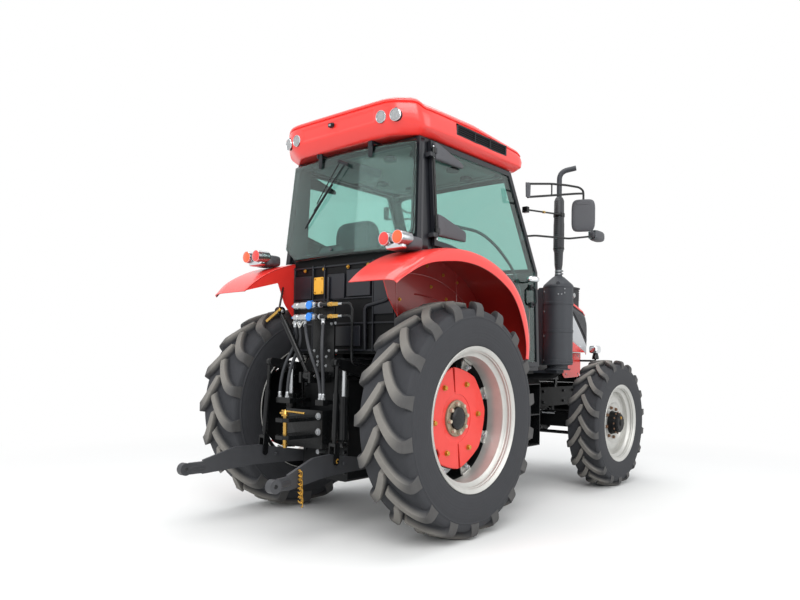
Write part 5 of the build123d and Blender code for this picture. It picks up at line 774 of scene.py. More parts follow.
class TRACTOR_OT_wheels(bpy.types.Operator):
    """Rolls the rims and bolts the wheel centres and hubs into them."""

    bl_idname = "tractor.wheels"
    bl_label = "Wheels"

    def execute(self, context):
        for name, side in SIDES:
            for (end, station, track, radius, _, seat, rim), sides in zip(TYRES, (112, 96)):
                hub, axis = np.array((station, side * track, radius)), np.array((0, side, 0))
                body = f"wheel_{end}_{name}"
                loop, shown = rim_section(rim, seat)
                piece(f"rim_{end}_{name}", Shape().turned(loop, hub, axis, sides, closed=True),
                      "silver_wheel_enamel", body, replaces=(body,), sharp=40)
                if end == "rear":
                    self.rear(name, side, hub, axis, body, shown)
                else:
                    self.front(name, hub, axis, body)
        return {"FINISHED"}

    def rear(self, name, side, hub, axis, body, shown):
        """The rear wheel: lugs and clamps on the rim, two-part centre, dish, hub, drum and axle shaft."""
        lugs = Shape()
        for centre in ring_of(8, 408, hub, axis, 22.5):
            out = unit(centre - hub)
            along = np.cross(axis, out)
            lugs.plate([(-44, -36), (26, -46), (40, -40), (40, 40), (26, 46), (-44, 36)], centre - axis * 4,
                       out, along, -14 * side if np.dot(np.cross(out, along), axis) < 0 else -14)
            lugs.plate([(14, -50), (42, -50), (42, 50), (14, 50)], centre - axis * 2, out, along,
                       16 if np.dot(np.cross(out, along), axis) > 0 else -16)
        piece(f"rim_lugs_{name}", lugs, "silver_wheel_enamel", body, bevel=4)
        clamp_bolts = Shape().scatter(hex_head(26, 16, 20), ring_of(8, 386, hub + axis * 14, axis, 22.5), axis)
        clamp_bolts.scatter(Shape().rod((0, 0, 0), (0, 0, 34), 9, 10),
                            ring_of(8, 386, hub + axis * 10, axis, 22.5), axis)
        piece(f"rim_clamp_bolts_{name}", clamp_bolts, "clear_zinc_plate", body)
        centre = Shape()
        for start in CENTRE_STARTS:
            grid = wheel_dish(10, 30, 172, 372, start, start + 176)
            centre.grid(grid, wrap_u=True)
            for edge in (grid[:, 0], grid[:, -1]):
                centre.add(edge, [list(range(6))])
        plates = Shape()
        cos, sin = np.cos(CENTRE_TURN), np.sin(CENTRE_TURN)
        turn = np.array([[cos, 0, sin], [0, side, 0], [-sin, 0, cos]])
        plates.add(np.vstack(centre.points) @ turn.T + hub, centre.faces)
        piece(f"wheel_centre_{name}", plates, "red_cast_enamel", body, sharp=30)
        # A black skin over the wheel's inner side, from the rim's inner half to the centre's back: painted shade
        shown = np.vstack([[(5, 436)], shown * (-1, 1)])
        inner_shade = Shape().turned(np.vstack([shown - (0, 1.2), (shown - (0, 0.2))[::-1]]),
                                hub, axis, 96, closed=True)
        inner_shade.turned([(2, 152), (2, 352), (8, 356), (9, 352), (9, 152)], hub, axis, 72, closed=True)
        piece(f"wheel_inner_painted_shade_{name}", inner_shade, "black_cast_enamel", body)
        dish = [(8, 120), (8, 60), (12, 60), (24, 118), (25, 150), (26, 172), (29, 177), (29.5, 184), (22, 186),
                (14, 186)]
        piece(f"wheel_dish_{name}", Shape().turned(dish, hub, axis, 72, closed=True), "red_cast_enamel", body)
        piece(f"wheel_bolts_{name}", Shape().scatter(hex_head(30, 17, 21),
              ring_of(6, 262, hub + axis * 30, axis, 4), axis, 0.3), "yellow_zinc_plate", body)
        flange = Shape().turned([(20, 70), (32, 70), (38, 84), (40, 118), (37, 127), (30, 130), (20, 130)], hub,
                                axis, 64, closed=True)
        piece(f"hub_ring_{name}", flange, "worn_hub_steel", body)
        heads = Shape().scatter(hex_head(27, 20, 19), ring_of(8, 103, hub + axis * 38, axis, 9), axis, 0.2)
        piece(f"hub_bolts_{name}", heads, "worn_hub_steel", body)
        cap = Shape().turned([(20, 0), (20, 82), (44, 82), (52, 78), (57, 66), (59, 40), (60, 0)],
                             hub, axis, 48)
        piece(f"hub_cap_{name}", cap, "black_gloss_enamel", body)
        drum = Shape().turned([(-145, 0), (-145, 128), (-138, 138), (-20, 138), (8, 150), (9, 0)],
                              hub, axis, 48)
        piece(f"hub_drum_{name}", drum, "black_cast_enamel", body)
        piece(f"axle_shaft_{name}", Shape().rod(hub - axis * 299, hub - axis * 140, 59), "worn_hub_steel", body)

    def front(self, name, hub, axis, body):
        """The front wheel: disc, hub casing with its bolts and plug, and spindle."""
        dish = [(40, 110), (54, 110), (54, 175), (60, 190), (72, 205), (74, 250), (66, 268), (58, 300),
                (56, 312), (46, 312), (46, 298), (54, 262), (62, 248), (60, 208), (50, 194), (40, 178)]
        piece(f"front_disc_{name}", Shape().turned(dish, hub, axis, 72, closed=True),
              "silver_wheel_enamel", body)
        heads = Shape().scatter(hex_head(26, 17, 18), ring_of(8, 150, hub + axis * 54, axis, 12), axis)
        piece(f"front_disc_bolts_{name}", heads, "rusted_bolt_steel", body)
        casing = Shape().turned([(-15, 0), (-15, 110), (30, 116), (56, 118), (60, 112), (112, 104), (118, 96),
                                 (138, 92), (141, 84), (147, 80), (148, 34), (152, 30), (154.5, 26), (155, 0)],
                                hub, axis, 60)
        piece(f"front_hub_{name}", casing, "black_cast_enamel", body)
        heads = Shape().scatter(hex_head(16, 9), ring_of(12, 104, hub + axis * 113, axis), axis)
        piece(f"front_hub_bolts_{name}", heads, "rusted_bolt_steel", body)
        plug = Shape().scatter(hex_head(20, 6, 15), [hub + axis * 147 + (0, 0, 52)], axis)
        piece(f"front_hub_plug_{name}", plug, "yellow_zinc_plate", body)
        piece(f"front_spindle_{name}", Shape().rod(hub - axis * 80, hub - axis * 10, 44),
              "worn_hub_steel", body)


# ---------------------------------------------------------------- roof
# the roof's outer wall from its underside up, as (inset from the plan, height) behind and in front, and
# (inset, share of the height up to the crown) along the flanks
ROOF_REAR = ((118, 2836), (92, 2830), (76, 2834), (58, 2850), (16, 2902), (9, 2912), (5, 2930), (2, 2960),
             (0, 3000), (2, 3032), (8, 3040), (9, 3044), (1, 3047), (0, 3052), (6, 3066), (24, 3078),
             (70, 3086), (157, 3093))
ROOF_SIDE = ((104, 0.02), (74, 0.0), (60, 0.012), (40, 0.06), (4, 0.16), (0, 0.19), (0, 0.28), (0, 0.40),
             (2, 0.52), (6, 0.60), (13, 0.628), (14, 0.642), (6, 0.655), (6, 0.675), (14, 0.73), (34, 0.80),
             (74, 0.885), (140, 0.955))
ROOF_FRONT = ((205, 2836), (186, 2830), (170, 2834), (146, 2850), (46, 2908), (30, 2916), (10, 2932), (0, 2950),
              (14, 2966), (34, 2978), (44, 2982), (46, 2985), (38, 2988), (42, 2992), (62, 3002), (100, 3014),
              (170, 3034), (272, 3055))
ROOF_PLAN = ((-357, -250), (-354, -520), (-205, -712), (-40, -720), (1170, -720), (1290, -560), (1332, -250),
             (1332, 250), (1290, 560), (1170, 720), (-40, 720), (-205, 712), (-354, 520), (-357, 250))
CROWN_LINE = ((-357, 3060), (-200, 3093), (450, 3105), (1060, 3055), (1332, 2955))


def roof_height(x):
    """Height of the roof's crown over a station."""
    return np.interp(x, *np.array(CROWN_LINE).T)


def roof_surface(columns=460):
    """Rows climb the roof's wall and cross its top; columns run round its plan.

    A point is the plan's point moved in by its row's inset along the plan's normal. The inset and height are
    those of the rear, flank and front sections blended by which way the normal points. The panel at the back
    sinks by 8 mm and the top closes on a short ridge."""
    plan = evenly(rounded(ROOF_PLAN, (60, 90, 110, 60, 110, 110, 130, 130, 110, 110, 60, 110, 90, 60), 10,
                          True), columns, True)
    tangent = unit(np.roll(plan, -3, axis=0) - np.roll(plan, 3, axis=0))
    normal = np.column_stack([tangent[:, 1], -tangent[:, 0]])
    normal *= np.sign((normal * (plan - [480, 0])).sum(axis=1).mean())
    rear, front = ease(-normal[:, 0], 0.2, 0.85), ease(normal[:, 0], 0.2, 0.85)
    flank = 1 - rear - front
    tables = [np.array(table, float) for table in (ROOF_REAR, ROOF_SIDE, ROOF_FRONT)]
    rows = np.arange(len(ROOF_REAR))
    fine = np.unique(np.concatenate([np.linspace(a, a + 1, 5 if 6 <= a <= 9 else 3) for a in rows[:-1]]))
    tables = [np.column_stack([np.interp(fine, rows, table[:, k]) for k in (0, 1)]) for table in tables]
    crown = roof_height(plan[:, 0])
    inset = sum(table[:, :1] * weight for table, weight in zip(tables, (rear, flank, front)))
    height = tables[0][:, 1:] * rear + tables[2][:, 1:] * front
    height = height + (2830 + (crown - 2830) * tables[1][:, 1:]) * flank
    panel = ease(-np.abs(plan[:, 1]), -385, -372) * rear * (ease(height, 2925, 2934) - ease(height, 3006, 3015))
    slot = ease(plan[:, 0], 184, 196) * (1 - ease(plan[:, 0], 872, 884)) * flank
    slot = slot * (ease(height, 2905, 2912) - ease(height, 2984, 2992))
    inset = inset + 8 * panel + 16 * slot
    wall = plan[None] - normal[None] * inset[..., None]
    ring, top = wall[-1], height[-1]
    ridge = np.column_stack([np.clip(ring[:, 0], 150, 900), np.zeros(columns)])
    t = (np.arange(1, 9) / 8)[:, None]
    roof = ring[None] * (1 - t[..., None]) + ridge[None] * t[..., None]
    rise = top[None] + (roof_height(ridge[:, 0])[None] - top[None]) * (1 - (1 - t) ** 2.2)
    flat = np.concatenate([wall, roof])
    return np.dstack([flat, np.concatenate([height, rise])])


class TRACTOR_OT_roof(bpy.types.Operator):
    """Moulds the roof with its lamps, its louvres and the felt lining under it."""

    bl_idname = "tractor.roof"
    bl_label = "Roof"

    def execute(self, context):
        surface = roof_surface()
        shell = Shape().grid(surface, wrap_v=True)
        shell.add(surface[0], [list(range(len(surface[0])))])
        piece("roof_moulding", shell, "red_panel_lacquer", replaces=("cab_roof",), sharp=50)
        louvres = Shape()
        for side in (1, -1):
            louvres.block((180, side * 703 - 2, 2904), (888, side * 703 + 2, 2992))
            for x_low, x_high in ((188, 203), (866, 882), (426, 434), (636, 644)):
                louvres.block((x_low, side * 712 - 8, 2909), (x_high, side * 712 + 7, 2988))
            for z in (2909, 2983):
                louvres.block((188, side * 712 - 8, z - 4), (882, side * 712 + 7, z + 4))
            for z in np.linspace(2924, 2970, 4):
                louvres.plate([(0, 0), (670, 0), (670, 13), (0, 13)], (203, side * 716, z), X,
                              (0, -side * 0.75, 0.66), 3)
        piece("roof_louvres", louvres, "grained_black_abs")
        self.lamps()
        self.lining()
        return {"FINISHED"}

    def lamps(self):
        """Round work lamps in the roof: a rubber cup, a bright bezel, a fluted lens and its bracket."""
        places = [(-352, side * 445, 2948, -1, side * 0.08) for side in (1, -1)]
        places += [(-332, side * 562, 2944, -1, side * 0.22) for side in (1, -1)]
        places += [(1318, side * out, 2951, 1, side * 0.1) for side in (1, -1) for out in (400, 540)]
        cups, bezels, lenses = Shape(), Shape(), Shape()
        for x, y, z, end, turn in places:
            axis, face = unit((end, turn, -0.06)), np.array((x, y, z), float)
            cups.turned([(-70, 0), (-70, 30), (-30, 42), (-2, 44.5), (-1, 40), (-1, 0)], face, axis, 40)
            cups.rod(face - axis * 16 + (0, 0, 40), face - axis * 16 + (0, 0, 52), 11, 16)
            bezels.turned([(-8, 43), (-1, 45), (3, 43.5), (4.5, 40.5), (1, 38.5), (-8, 38.5)],
                          face, axis, 48, closed=True)
            lenses.turned([(-6, 0), (-6, 39), (0, 39), (2.6, 34), (4.4, 22), (5, 0)], face, axis, 48)
        cups.block((-376, 28, 2972), (-340, 66, 2998))
        cups.rod((-362, 20, 2990), (-362, 40, 2990), 9, 16)
        piece("roof_lamp_cups", cups, "grained_black_abs", replaces=("roof_lamps",))
        piece("roof_lamp_bezels", bezels, "chromed_reflector")
        piece("roof_lamp_lenses", lenses, "clear_lamp_lens")
        window = Shape().block((-378, 36, 2976), (-375, 58, 2990))
        piece("roof_centre_lamp_lens", window, "clear_lamp_lens")

    def lining(self):
        """The ceiling: a felt-covered pan with a duct down each side and round vents in it."""
        pan = Shape()
        edge = evenly(rounded([(-145, -560), (-145, 560), (1030, 560), (1030, -560)], 90, 8, True), 160, True)
        middle = np.array([440.0, 0.0])
        rows = [(1.0, 2826), (0.995, 2806), (0.97, 2792), (0.93, 2786), (0.90, 2790), (0.88, 2802), (0.4, 2808),
                (0.0, 2810)]
        pan.grid([np.column_stack([middle + (edge - middle) * share, np.full(len(edge), z)])
                  for share, z in rows], wrap_v=True)
        piece("ceiling_lining", pan, "grey_headliner_felt", wall=4)
        console = Shape()
        outline = rounded([(-150, 150), (-150, 480), (330, 500), (330, 130)], 40, 6, True)
        console.grid([np.column_stack([np.array([240, 300]) * (1 - k) + outline * k, np.full(len(outline), z)])
                      for k, z in ((0.0, 2748), (0.9, 2748), (0.97, 2752), (1.0, 2762), (1.0, 2812))],
                     wrap_v=True, cap=True)
        piece("ceiling_console", console, "charcoal_abs")
        vents = Shape()
        for x, y in ((60, -180), (330, -330), (600, -380), (330, 330), (600, 380), (900, -300), (900, 300),
                     (80, -420)):
            vents.turned([(8, 0), (4, 12), (6, 14), (0, 18), (4, 20), (-2, 26), (2, 28), (-4, 34), (-6, 44),
                          (2, 50), (24, 50), (24, 0)], (x, y, 2796), (0, 0, -1), 36)
        piece("ceiling_vents", vents, "grained_black_abs")


# ---------------------------------------------------------------- fenders
FENDER_CROWN = ((850, 1240), (800, 1600), (560, 1860), (290, 1967), (-50, 2010), (-430, 1943), (-760, 1738))
FENDER_FOOT = ((-760, 1738), (-437, 1825), (-370, 1667), (-46, 1271), (850, 1240))


def arc_through(first, second, third, count):
    """Points along the circle through three (x, z) points, from the first to the third."""
    a, b, c = (np.asarray(p, float) for p in (first, second, third))
    matrix = 2 * np.array([b - a, c - a])
    centre = np.linalg.solve(matrix, np.array([b @ b - a @ a, c @ c - a @ a]))
    angles = np.unwrap([np.arctan2(*(p - centre)[::-1]) for p in (a, b, c)])
    angle = np.linspace(angles[0], angles[2], count)
    return centre + np.linalg.norm(a - centre) * np.column_stack([np.cos(angle), np.sin(angle)])


def crown_line(count):
    """The fender's crown as evenly spaced points, with the outward normal at each."""
    runs = [arc_through(*FENDER_CROWN[k:k + 3], 60) for k in (0, 2, 4)]
    line = evenly(np.vstack([runs[0], runs[1][1:], runs[2][1:]]), count)
    tangent = unit(np.gradient(line, axis=0))
    return line, np.column_stack([tangent[:, 1], -tangent[:, 0]])


# the crown's section from the cab outwards: (distance across, height off the crown line, share of the lip)
FENDER_SECTION = ((545, -3, 0), (551, -0.8, 0), (560, 0, 0), (640, -0.5, 0), (760, -1.5, 0), (880, -3, 0),
                  (918, -4, 0), (926, -7, 0), (934, -7.5, 0), (962, -12, 0), (975, -17, 0.02), (983, -27, 0.12),
                  (985, -40, 0.4), (984, -40, 1.0), (980, -42, 1.02), (978, -40, 0.98), (978, -38, 0.4),
                  (975, -32, 0.12), (968, -24, 0.02), (950, -17.5, 0), (928, -14, 0), (880, -10, 0),
                  (760, -8.5, 0), (640, -7.5, 0), (553, -8, 0), (545, -8, 0))


class TRACTOR_OT_fenders(bpy.types.Operator):
    """Presses the two rear fenders, with their rolled lips, inner walls and bolts."""

    bl_idname = "tractor.fenders"
    bl_label = "Rear fenders"

    def execute(self, context):
        line, normal = crown_line(120)
        run = np.linspace(0, 1, len(line))
        section = np.array(FENDER_SECTION)
        lip = 58 * ease(1 - run, 0.03, 0.30) * (0.55 + 0.45 * ease(run, 0.0, 0.2))
        pull = 0.10 * ease(run, 0.90, 1.0) ** 1.6
        for name, side in SIDES:
            lift = section[:, 1][None] - np.clip(section[:, 2] - 0.02, 0, 1)[None] * lip[:, None]
            points = np.empty((len(line), len(section), 3))
            points[..., 0] = line[:, :1] + normal[:, :1] * lift
            points[..., 1] = side * (545 + (section[:, 0] - 545)[None] * (1 - pull)[:, None])
            points[..., 2] = line[:, 1:] + normal[:, 1:] * lift
            # The lip's inside and the crown's underside take tone 1, the lacquer's dark red: painted shade with
            # some dust
            tone = np.broadcast_to((np.arange(len(section)) > 13) * 1.0, points.shape[:2])
            crown = Shape().grid(points, wrap_v=True, cap=True, tone=tone)
            foot = evenly(np.array(FENDER_FOOT)[::-1], len(line))
            share = np.linspace(0, 1, 7)[:, None, None]
            sheet = (line - normal * 6)[None] * (1 - share) + foot[None] * share
            near = np.insert(sheet, 1, side * 545, axis=2)
            far = np.insert(sheet[::-1], 1, side * 552, axis=2)
            # The wall's face towards the wheel takes tone 1 too: painted shade with some dust
            crown.grid(np.concatenate([near, far]), wrap_u=True, cap=False, tone=np.repeat([0.0, 1.0], 7 * 120))
            crown.add(np.concatenate([near[:, 0], far[:, 0]]), [list(range(14))])
            crown.add(np.concatenate([near[:, -1], far[:, -1]]), [list(range(14))])
            piece(f"fender_{name}_pressing", crown, "red_panel_lacquer", replaces=(f"fender_{name}",),
                  sharp=35)
            # The beads on that face take tone 1: the same painted shade with some dust
            beads = Shape()
            for inset, start, stop in ((150, 0.28, 0.80), (300, 0.34, 0.66)):
                part = slice(int(120 * start), int(120 * stop))
                path = np.insert(line[part] - normal[part] * inset, 1, side * 551, axis=1)
                beads.tube(path, 6, 8, tone=1.0)
            for x in (-300, 430):
                top = np.interp(x, line[::-1, 0], line[::-1, 1]) - 20
                beads.tube([(x, side * 551, top), (x + 10, side * 551, top - 230),
                            (x + 30, side * 551, top - 420)], 6, 8, tone=1.0)
            piece(f"fender_beads_{name}", beads, "red_panel_lacquer")
            spots = [(-330, 1850), (-250, 1660), (-150, 1900), (60, 1930), (110, 1780), (260, 1880),
                     (300, 1700), (440, 1840), (520, 1680), (640, 1700), (-60, 1500), (520, 1460), (690, 1420),
                     (-390, 1800)]
            bolts = Shape().scatter(hex_head(17, 10, 14), [(x, side * 552, z) for x, z in spots], (0, side, 0))
            piece(f"fender_bolts_{name}", bolts, "yellow_zinc_plate")
        return {"FINISHED"}


# ---------------------------------------------------------------- cab
LEAN = radians(3.5)
# the side door's outline: (station, distance up the leaning side)
DOOR = ((-60, 860), (-60, 1640), (1014, 1640), (1392, 858), (1350, 46), (880, 46))


def flank(side, x, out, up):
    """Points on the cab's leaning side, from a station, a distance out of it and one up it from the sill."""
    x, out, up = np.broadcast_arrays(*(np.asarray(value, float) for value in (x, out, up)))
    return np.stack([x, side * (745 + out * np.cos(LEAN) - up * np.sin(LEAN)),
                     1150 + up * np.cos(LEAN) + out * np.sin(LEAN)], axis=-1)


def flank_y(z):
    """How far across the cab's leaning side stands at a height."""
    return 745 - (np.asarray(z, float) - 1150) * np.tan(LEAN)


# a bowed pane: the (x, z) foot and head of its chord, half its chord across, its bow, its gap off the frame
REAR_PANE = ((-237, 1995), (-157, 2796), 745, -88, 6)
FRONT_PANE = ((1440, 2005), (1076, 2794), 684.7, 60, 0.4)


def bowed(pane, y, z, off=0.0):
    """Points on a pane: the chord's point at a height, carried out by the rise of a circle's arc over y."""
    (x_low, z_low), (x_high, z_high), half, bow, gap = pane
    rise = unit((x_high - x_low, z_high - z_low))
    out = np.array([rise[1], -rise[0]]) * np.sign(bow)
    radius = (half ** 2 + bow ** 2) / (2 * abs(bow))
    y, z = np.broadcast_arrays(np.asarray(y, float), np.asarray(z, float))
    lift = np.sqrt(radius ** 2 - y ** 2) - (radius - abs(bow)) + gap + off
    t = (z - z_low) / (z_high - z_low)
    return np.stack([x_low + t * (x_high - x_low) + out[0] * lift, y, z + out[1] * lift], axis=-1)


def over_rear(y, z, off):
    """Points that stand off the rear pane."""
    return bowed(REAR_PANE, y, z, off)


def pane_surface(pane, limit, low, high, off=0.0, rows=40, columns=64):
    """A pane as a grid of heights by shares of its half width at that height."""
    z = np.linspace(low, high, rows)[:, None]
    share = np.sin(np.linspace(-1, 1, columns) * np.pi / 2)[None]
    return bowed(pane, share * limit(z), z, off)


def border(pane, limit, low, high, width, off):
    """The blacked border of a pane: a band between its outline and the same outline drawn in by its width."""
    z = np.linspace(low, high, 50)
    half = np.array([limit(value) for value in z])
    outline = np.vstack([np.column_stack([half, z]), np.column_stack([-half[::-1], z[::-1]])])
    outline = evenly(outline, 240, True)
    tangent = unit(np.roll(outline, -1, axis=0) - np.roll(outline, 1, axis=0))
    inward = np.column_stack([-tangent[:, 1], tangent[:, 0]])
    edge = rounded(evenly(outline + inward * width, 40, True), 30, 6, True)
    inner = evenly(edge, 240, True)
    shift = np.argmin(np.linalg.norm(inner - (outline[0] + inward[0] * width), axis=1))
    inner = np.roll(inner, -shift, axis=0)
    steps = np.linspace(0, 1, 4)[:, None, None]
    band = outline[None] * (1 - steps) + inner[None] * steps
    return bowed(pane, band[..., 0], band[..., 1], off)


def rear_limit(z):
    """Half the rear window's width at a height: the leaning sides, and the corners cut off below."""
    return np.minimum(flank_y(z) - 5, 500 + (np.asarray(z, float) - 1995) * 190 / 130)


def front_limit(z):
    """Half the windshield's width at a height."""
    return flank_y(z) - 9


class TRACTOR_OT_cab(bpy.types.Operator):
    """Builds the cab's frame, doors, glass, hinges and wiper."""

    bl_idname = "tractor.cab"
    bl_label = "Cab"

    def execute(self, context):
        eased("cab_frame", "black_cab_lacquer", 5)
        eased("cab_tub", "black_cast_enamel", 3)
        for name, side in SIDES:
            eased(f"door_frame_{name}", "black_cab_lacquer", 4, f"door_{name}")
            self.flank_trim(name, side)
        recoat("tinted_cab_glass", "door_glass_left", "door_glass_right")
        for title, body, node_name, pane, limit, low, high in (
                ("rear_window_pane", "rear_window", "rear_window", REAR_PANE, rear_limit, 1996, 2794),
                ("windshield_pane", "chassis", "windshield", FRONT_PANE, front_limit, 2006, 2788)):
            glass = Shape().grid(pane_surface(pane, limit, low, high, 3))
            piece(title, glass, "tinted_cab_glass", body, replaces=(node_name,), wall=5, sharp=60)
            frit = Shape().grid(border(pane, limit, low + 3, high - 3, 34, -4.2), wrap_v=True)
            piece(title + "_border", frit, "black_seal_rubber", body, wall=1, sharp=60)
        self.rear_fittings()
        self.rear_wall()
        return {"FINISHED"}

    def flank_trim(self, name, side):
        """A side's rounded rear pillar, door seal, hinge covers, torque tube, hinge pin tips and handle."""
        up = np.linspace(870, 1668, 24)[:, None]
        x_back = np.interp(up, [870, 1680], [-226, -160])
        turn = np.linspace(0, np.pi / 2, 9)[None]
        arc_x = x_back + (1 - np.cos(turn)) * 46
        arc_out = -40 + np.sin(turn) * 50 + np.zeros_like(up)
        flat = np.linspace(0.15, 1, 5)[None]
        flat_x = (x_back + 46) * (1 - flat) + -118 * flat
        flat_out = np.full_like(flat_x, 10.0)
        tail_x, tail_out = np.full_like(up, -112.0), np.full_like(up, 2.0)
        xs, outs = np.hstack([arc_x, flat_x, tail_x]), np.hstack([arc_out, flat_out, tail_out])
        pillar = Shape().grid(flank(side, xs, outs, up), tone=0.0)
        piece(f"rear_pillar_{name}", pillar, "black_cab_lacquer", wall=3, sharp=50)
        outline = rounded(DOOR, (40, 60, 70, 60, 80, 30), 8, True)
        seal = Shape().tube(flank(side, outline[:, 0], 3.0, outline[:, 1]), 3.6, 8)
        piece(f"door_seal_{name}", seal, "black_seal_rubber")
        # Hinge covers: their top, foot, and the brow and tip at the front end
        covers = Shape()
        for top, foot, brow, tip in ((1648, 1524, 1566, 1530), (1128, 968, 1052, 972)):
            outline = np.array([(-44, top), (-10, top - 4), (304, brow), (318, brow - 20), (308, tip),
                                (-44, foot)], float)
            outline = rounded(outline, (10, 40, 16, 12, 12, 12), 6, True)
            centre = outline.mean(axis=0)
            rows = []
            for share, out in ((1.0, 30), (1.0, 44), (0.985, 52), (0.93, 58), (0.80, 61), (0.5, 62), (0.0, 62)):
                ring = centre + (outline - centre) * share
                thick = 1 - 0.45 * ease(ring[:, 0], 40, 310)
                rows.append(flank(side, ring[:, 0], 30 + (out - 30) * thick, ring[:, 1]))
            covers.grid(np.array(rows), wrap_v=True)
            for share in (0.32, 0.52, 0.72):
                start = (20, foot + (top - foot) * share)
                stop = (270, tip + (brow - tip) * share)
                path = np.linspace(start, stop, 12)
                covers.tube(flank(side, path[:, 0], np.interp(path[:, 0], [20, 270], [60, 45]), path[:, 1]),
                            3.2, 6, tone=0.5)
        piece(f"hinge_covers_{name}", covers, "charcoal_abs", f"door_{name}", sharp=40)
        tubes = Shape().tube(flank(side, -62.0, 48.0, np.linspace(1029, 1529, 6)), 9.5, 16)
        for foot in (985, 1565):
            tubes.tube(flank(side, -62.0, 48.0, np.linspace(foot + 1, foot + 39, 3)), 13, 16)
        piece(f"door_torque_tube_{name}", tubes, "black_gloss_enamel", f"door_{name}")
        tips = Shape()
        for foot in (985, 1565):
            for low in (foot - 40, foot + 44 if foot > 1500 else foot - 48):
                tips.tube(flank(side, -62.0, 48.0, np.linspace(low, low + 7, 3)), 7, 12)
        piece(f"hinge_pin_tips_{name}", tips, "clear_zinc_plate")
        handle = Shape()
        grip = rounded([(1290, 34, 560), (1290, 74, 580), (1290, 74, 700), (1290, 34, 720)], 20, 6)
        handle.tube(flank(side, grip[:, 0], grip[:, 1], grip[:, 2]), 9, 12)
        for low, high in ((540, 590), (690, 740)):
            rings = []
            for inset, radius, out in ((0, 12, 30), (0, 12, 38), (6, 10, 42)):
                x_low, x_high, z_low, z_high = 1268 + inset, 1312 - inset, low + inset, high - inset
                ring = rounded([(x_low, z_low), (x_high, z_low), (x_high, z_high), (x_low, z_high)],
                               radius, 5, True)
                rings.append(flank(side, ring[:, 0], out, ring[:, 1]))
            handle.grid(np.array(rings), wrap_v=True, cap=True)
        piece(f"door_handle_{name}", handle, "grained_black_abs", f"door_{name}")

    def rear_fittings(self):
        """The rear window's hinge covers, wiper, latch and seal."""
        covers, body = Shape(), "rear_window"
        for side in (1, -1):
            rows = []
            for z, half, out in ((2712, 10, 9), (2708, 15, 12), (2716, 18, 20), (2770, 19, 27), (2800, 20, 31),
                                 (2818, 18, 30), (2822, 13, 26)):
                turn = np.linspace(0, 2 * np.pi, 24, endpoint=False)
                y = side * 265 + half * powered(np.cos(turn), 0.5)
                depth = 8 + (out - 8) * (0.5 + 0.5 * powered(np.sin(turn), 0.5))
                rows.append(over_rear(y, min(z, 2796), depth) + (0, 0, z - min(z, 2796)))
            covers.grid(np.array(rows), wrap_v=True, cap=True)
        piece("rear_hinge_covers", covers, "grained_black_abs", body, replaces=("rear_window_hinges",),
              sharp=40)
        wiper = Shape()
        for start, stop in (((-34, 2688), (232, 2402)), ((21, 2712), (250, 2420))):
            line = np.linspace(start, stop, 10)
            wiper.tube(over_rear(*line.T, 30), 4.5, 8)
        wiper.tube(over_rear(*np.linspace((-60, 2676), (40, 2722), 4).T, 26), 12, 12)
        for y, z in ((-34, 2688), (21, 2712)):
            wiper.turned([(0, 0), (0, 13), (26, 13), (32, 9), (33, 0)], over_rear(y, z, 6), (-1, 0, 0.1), 20)
        blade = np.linspace((100, 2556), (389, 2249), 16)
        wiper.tube(over_rear(*blade.T, 20), np.interp(np.arange(16), [0, 3, 12, 15], [4, 8, 8, 4]), 8)
        wiper.tube(over_rear(*blade.T, 11), 3.2, 6)
        wiper.tube(over_rear(*np.linspace((205, 2440), (280, 2368), 5).T, 26), 8, 10)
        piece("rear_wiper", wiper, "grained_black_abs", body)
        latch = Shape()
        outline = rounded([(-82, 2018), (256, 2018), (196, 2082), (-24, 2082)], 14, 6, True)
        centre = outline.mean(axis=0)
        latch.grid(np.array([over_rear(*(centre + (outline - centre) * share).T, off)
                             for share, off in ((1.0, -4), (1.0, -12), (0.97, -17), (0.86, -20), (0.0, -21))]),
                   wrap_v=True)
        latch.turned([(0, 0), (0, 16), (14, 16), (20, 13), (22, 8), (22, 0)], over_rear(66, 2050, -20), X, 24)
        latch.turned([(0, 0), (0, 14), (7, 13), (9, 8), (9, 0)], over_rear(66, 2050, 6), (-1, 0, 0.1), 24)
        piece("rear_latch", latch, "charcoal_abs", body, sharp=40)
        z = np.linspace(1998, 2792, 60)
        right = np.column_stack([rear_limit(z) - 12, z])
        edge = np.vstack([right, (right * (-1, 1))[::-1]])
        edge = rounded(evenly(edge, 60, True), 30, 4, True)
        seal = Shape().tube(over_rear(*edge.T, -4), 4.5, 8)
        piece("rear_window_seal", seal, "black_seal_rubber")

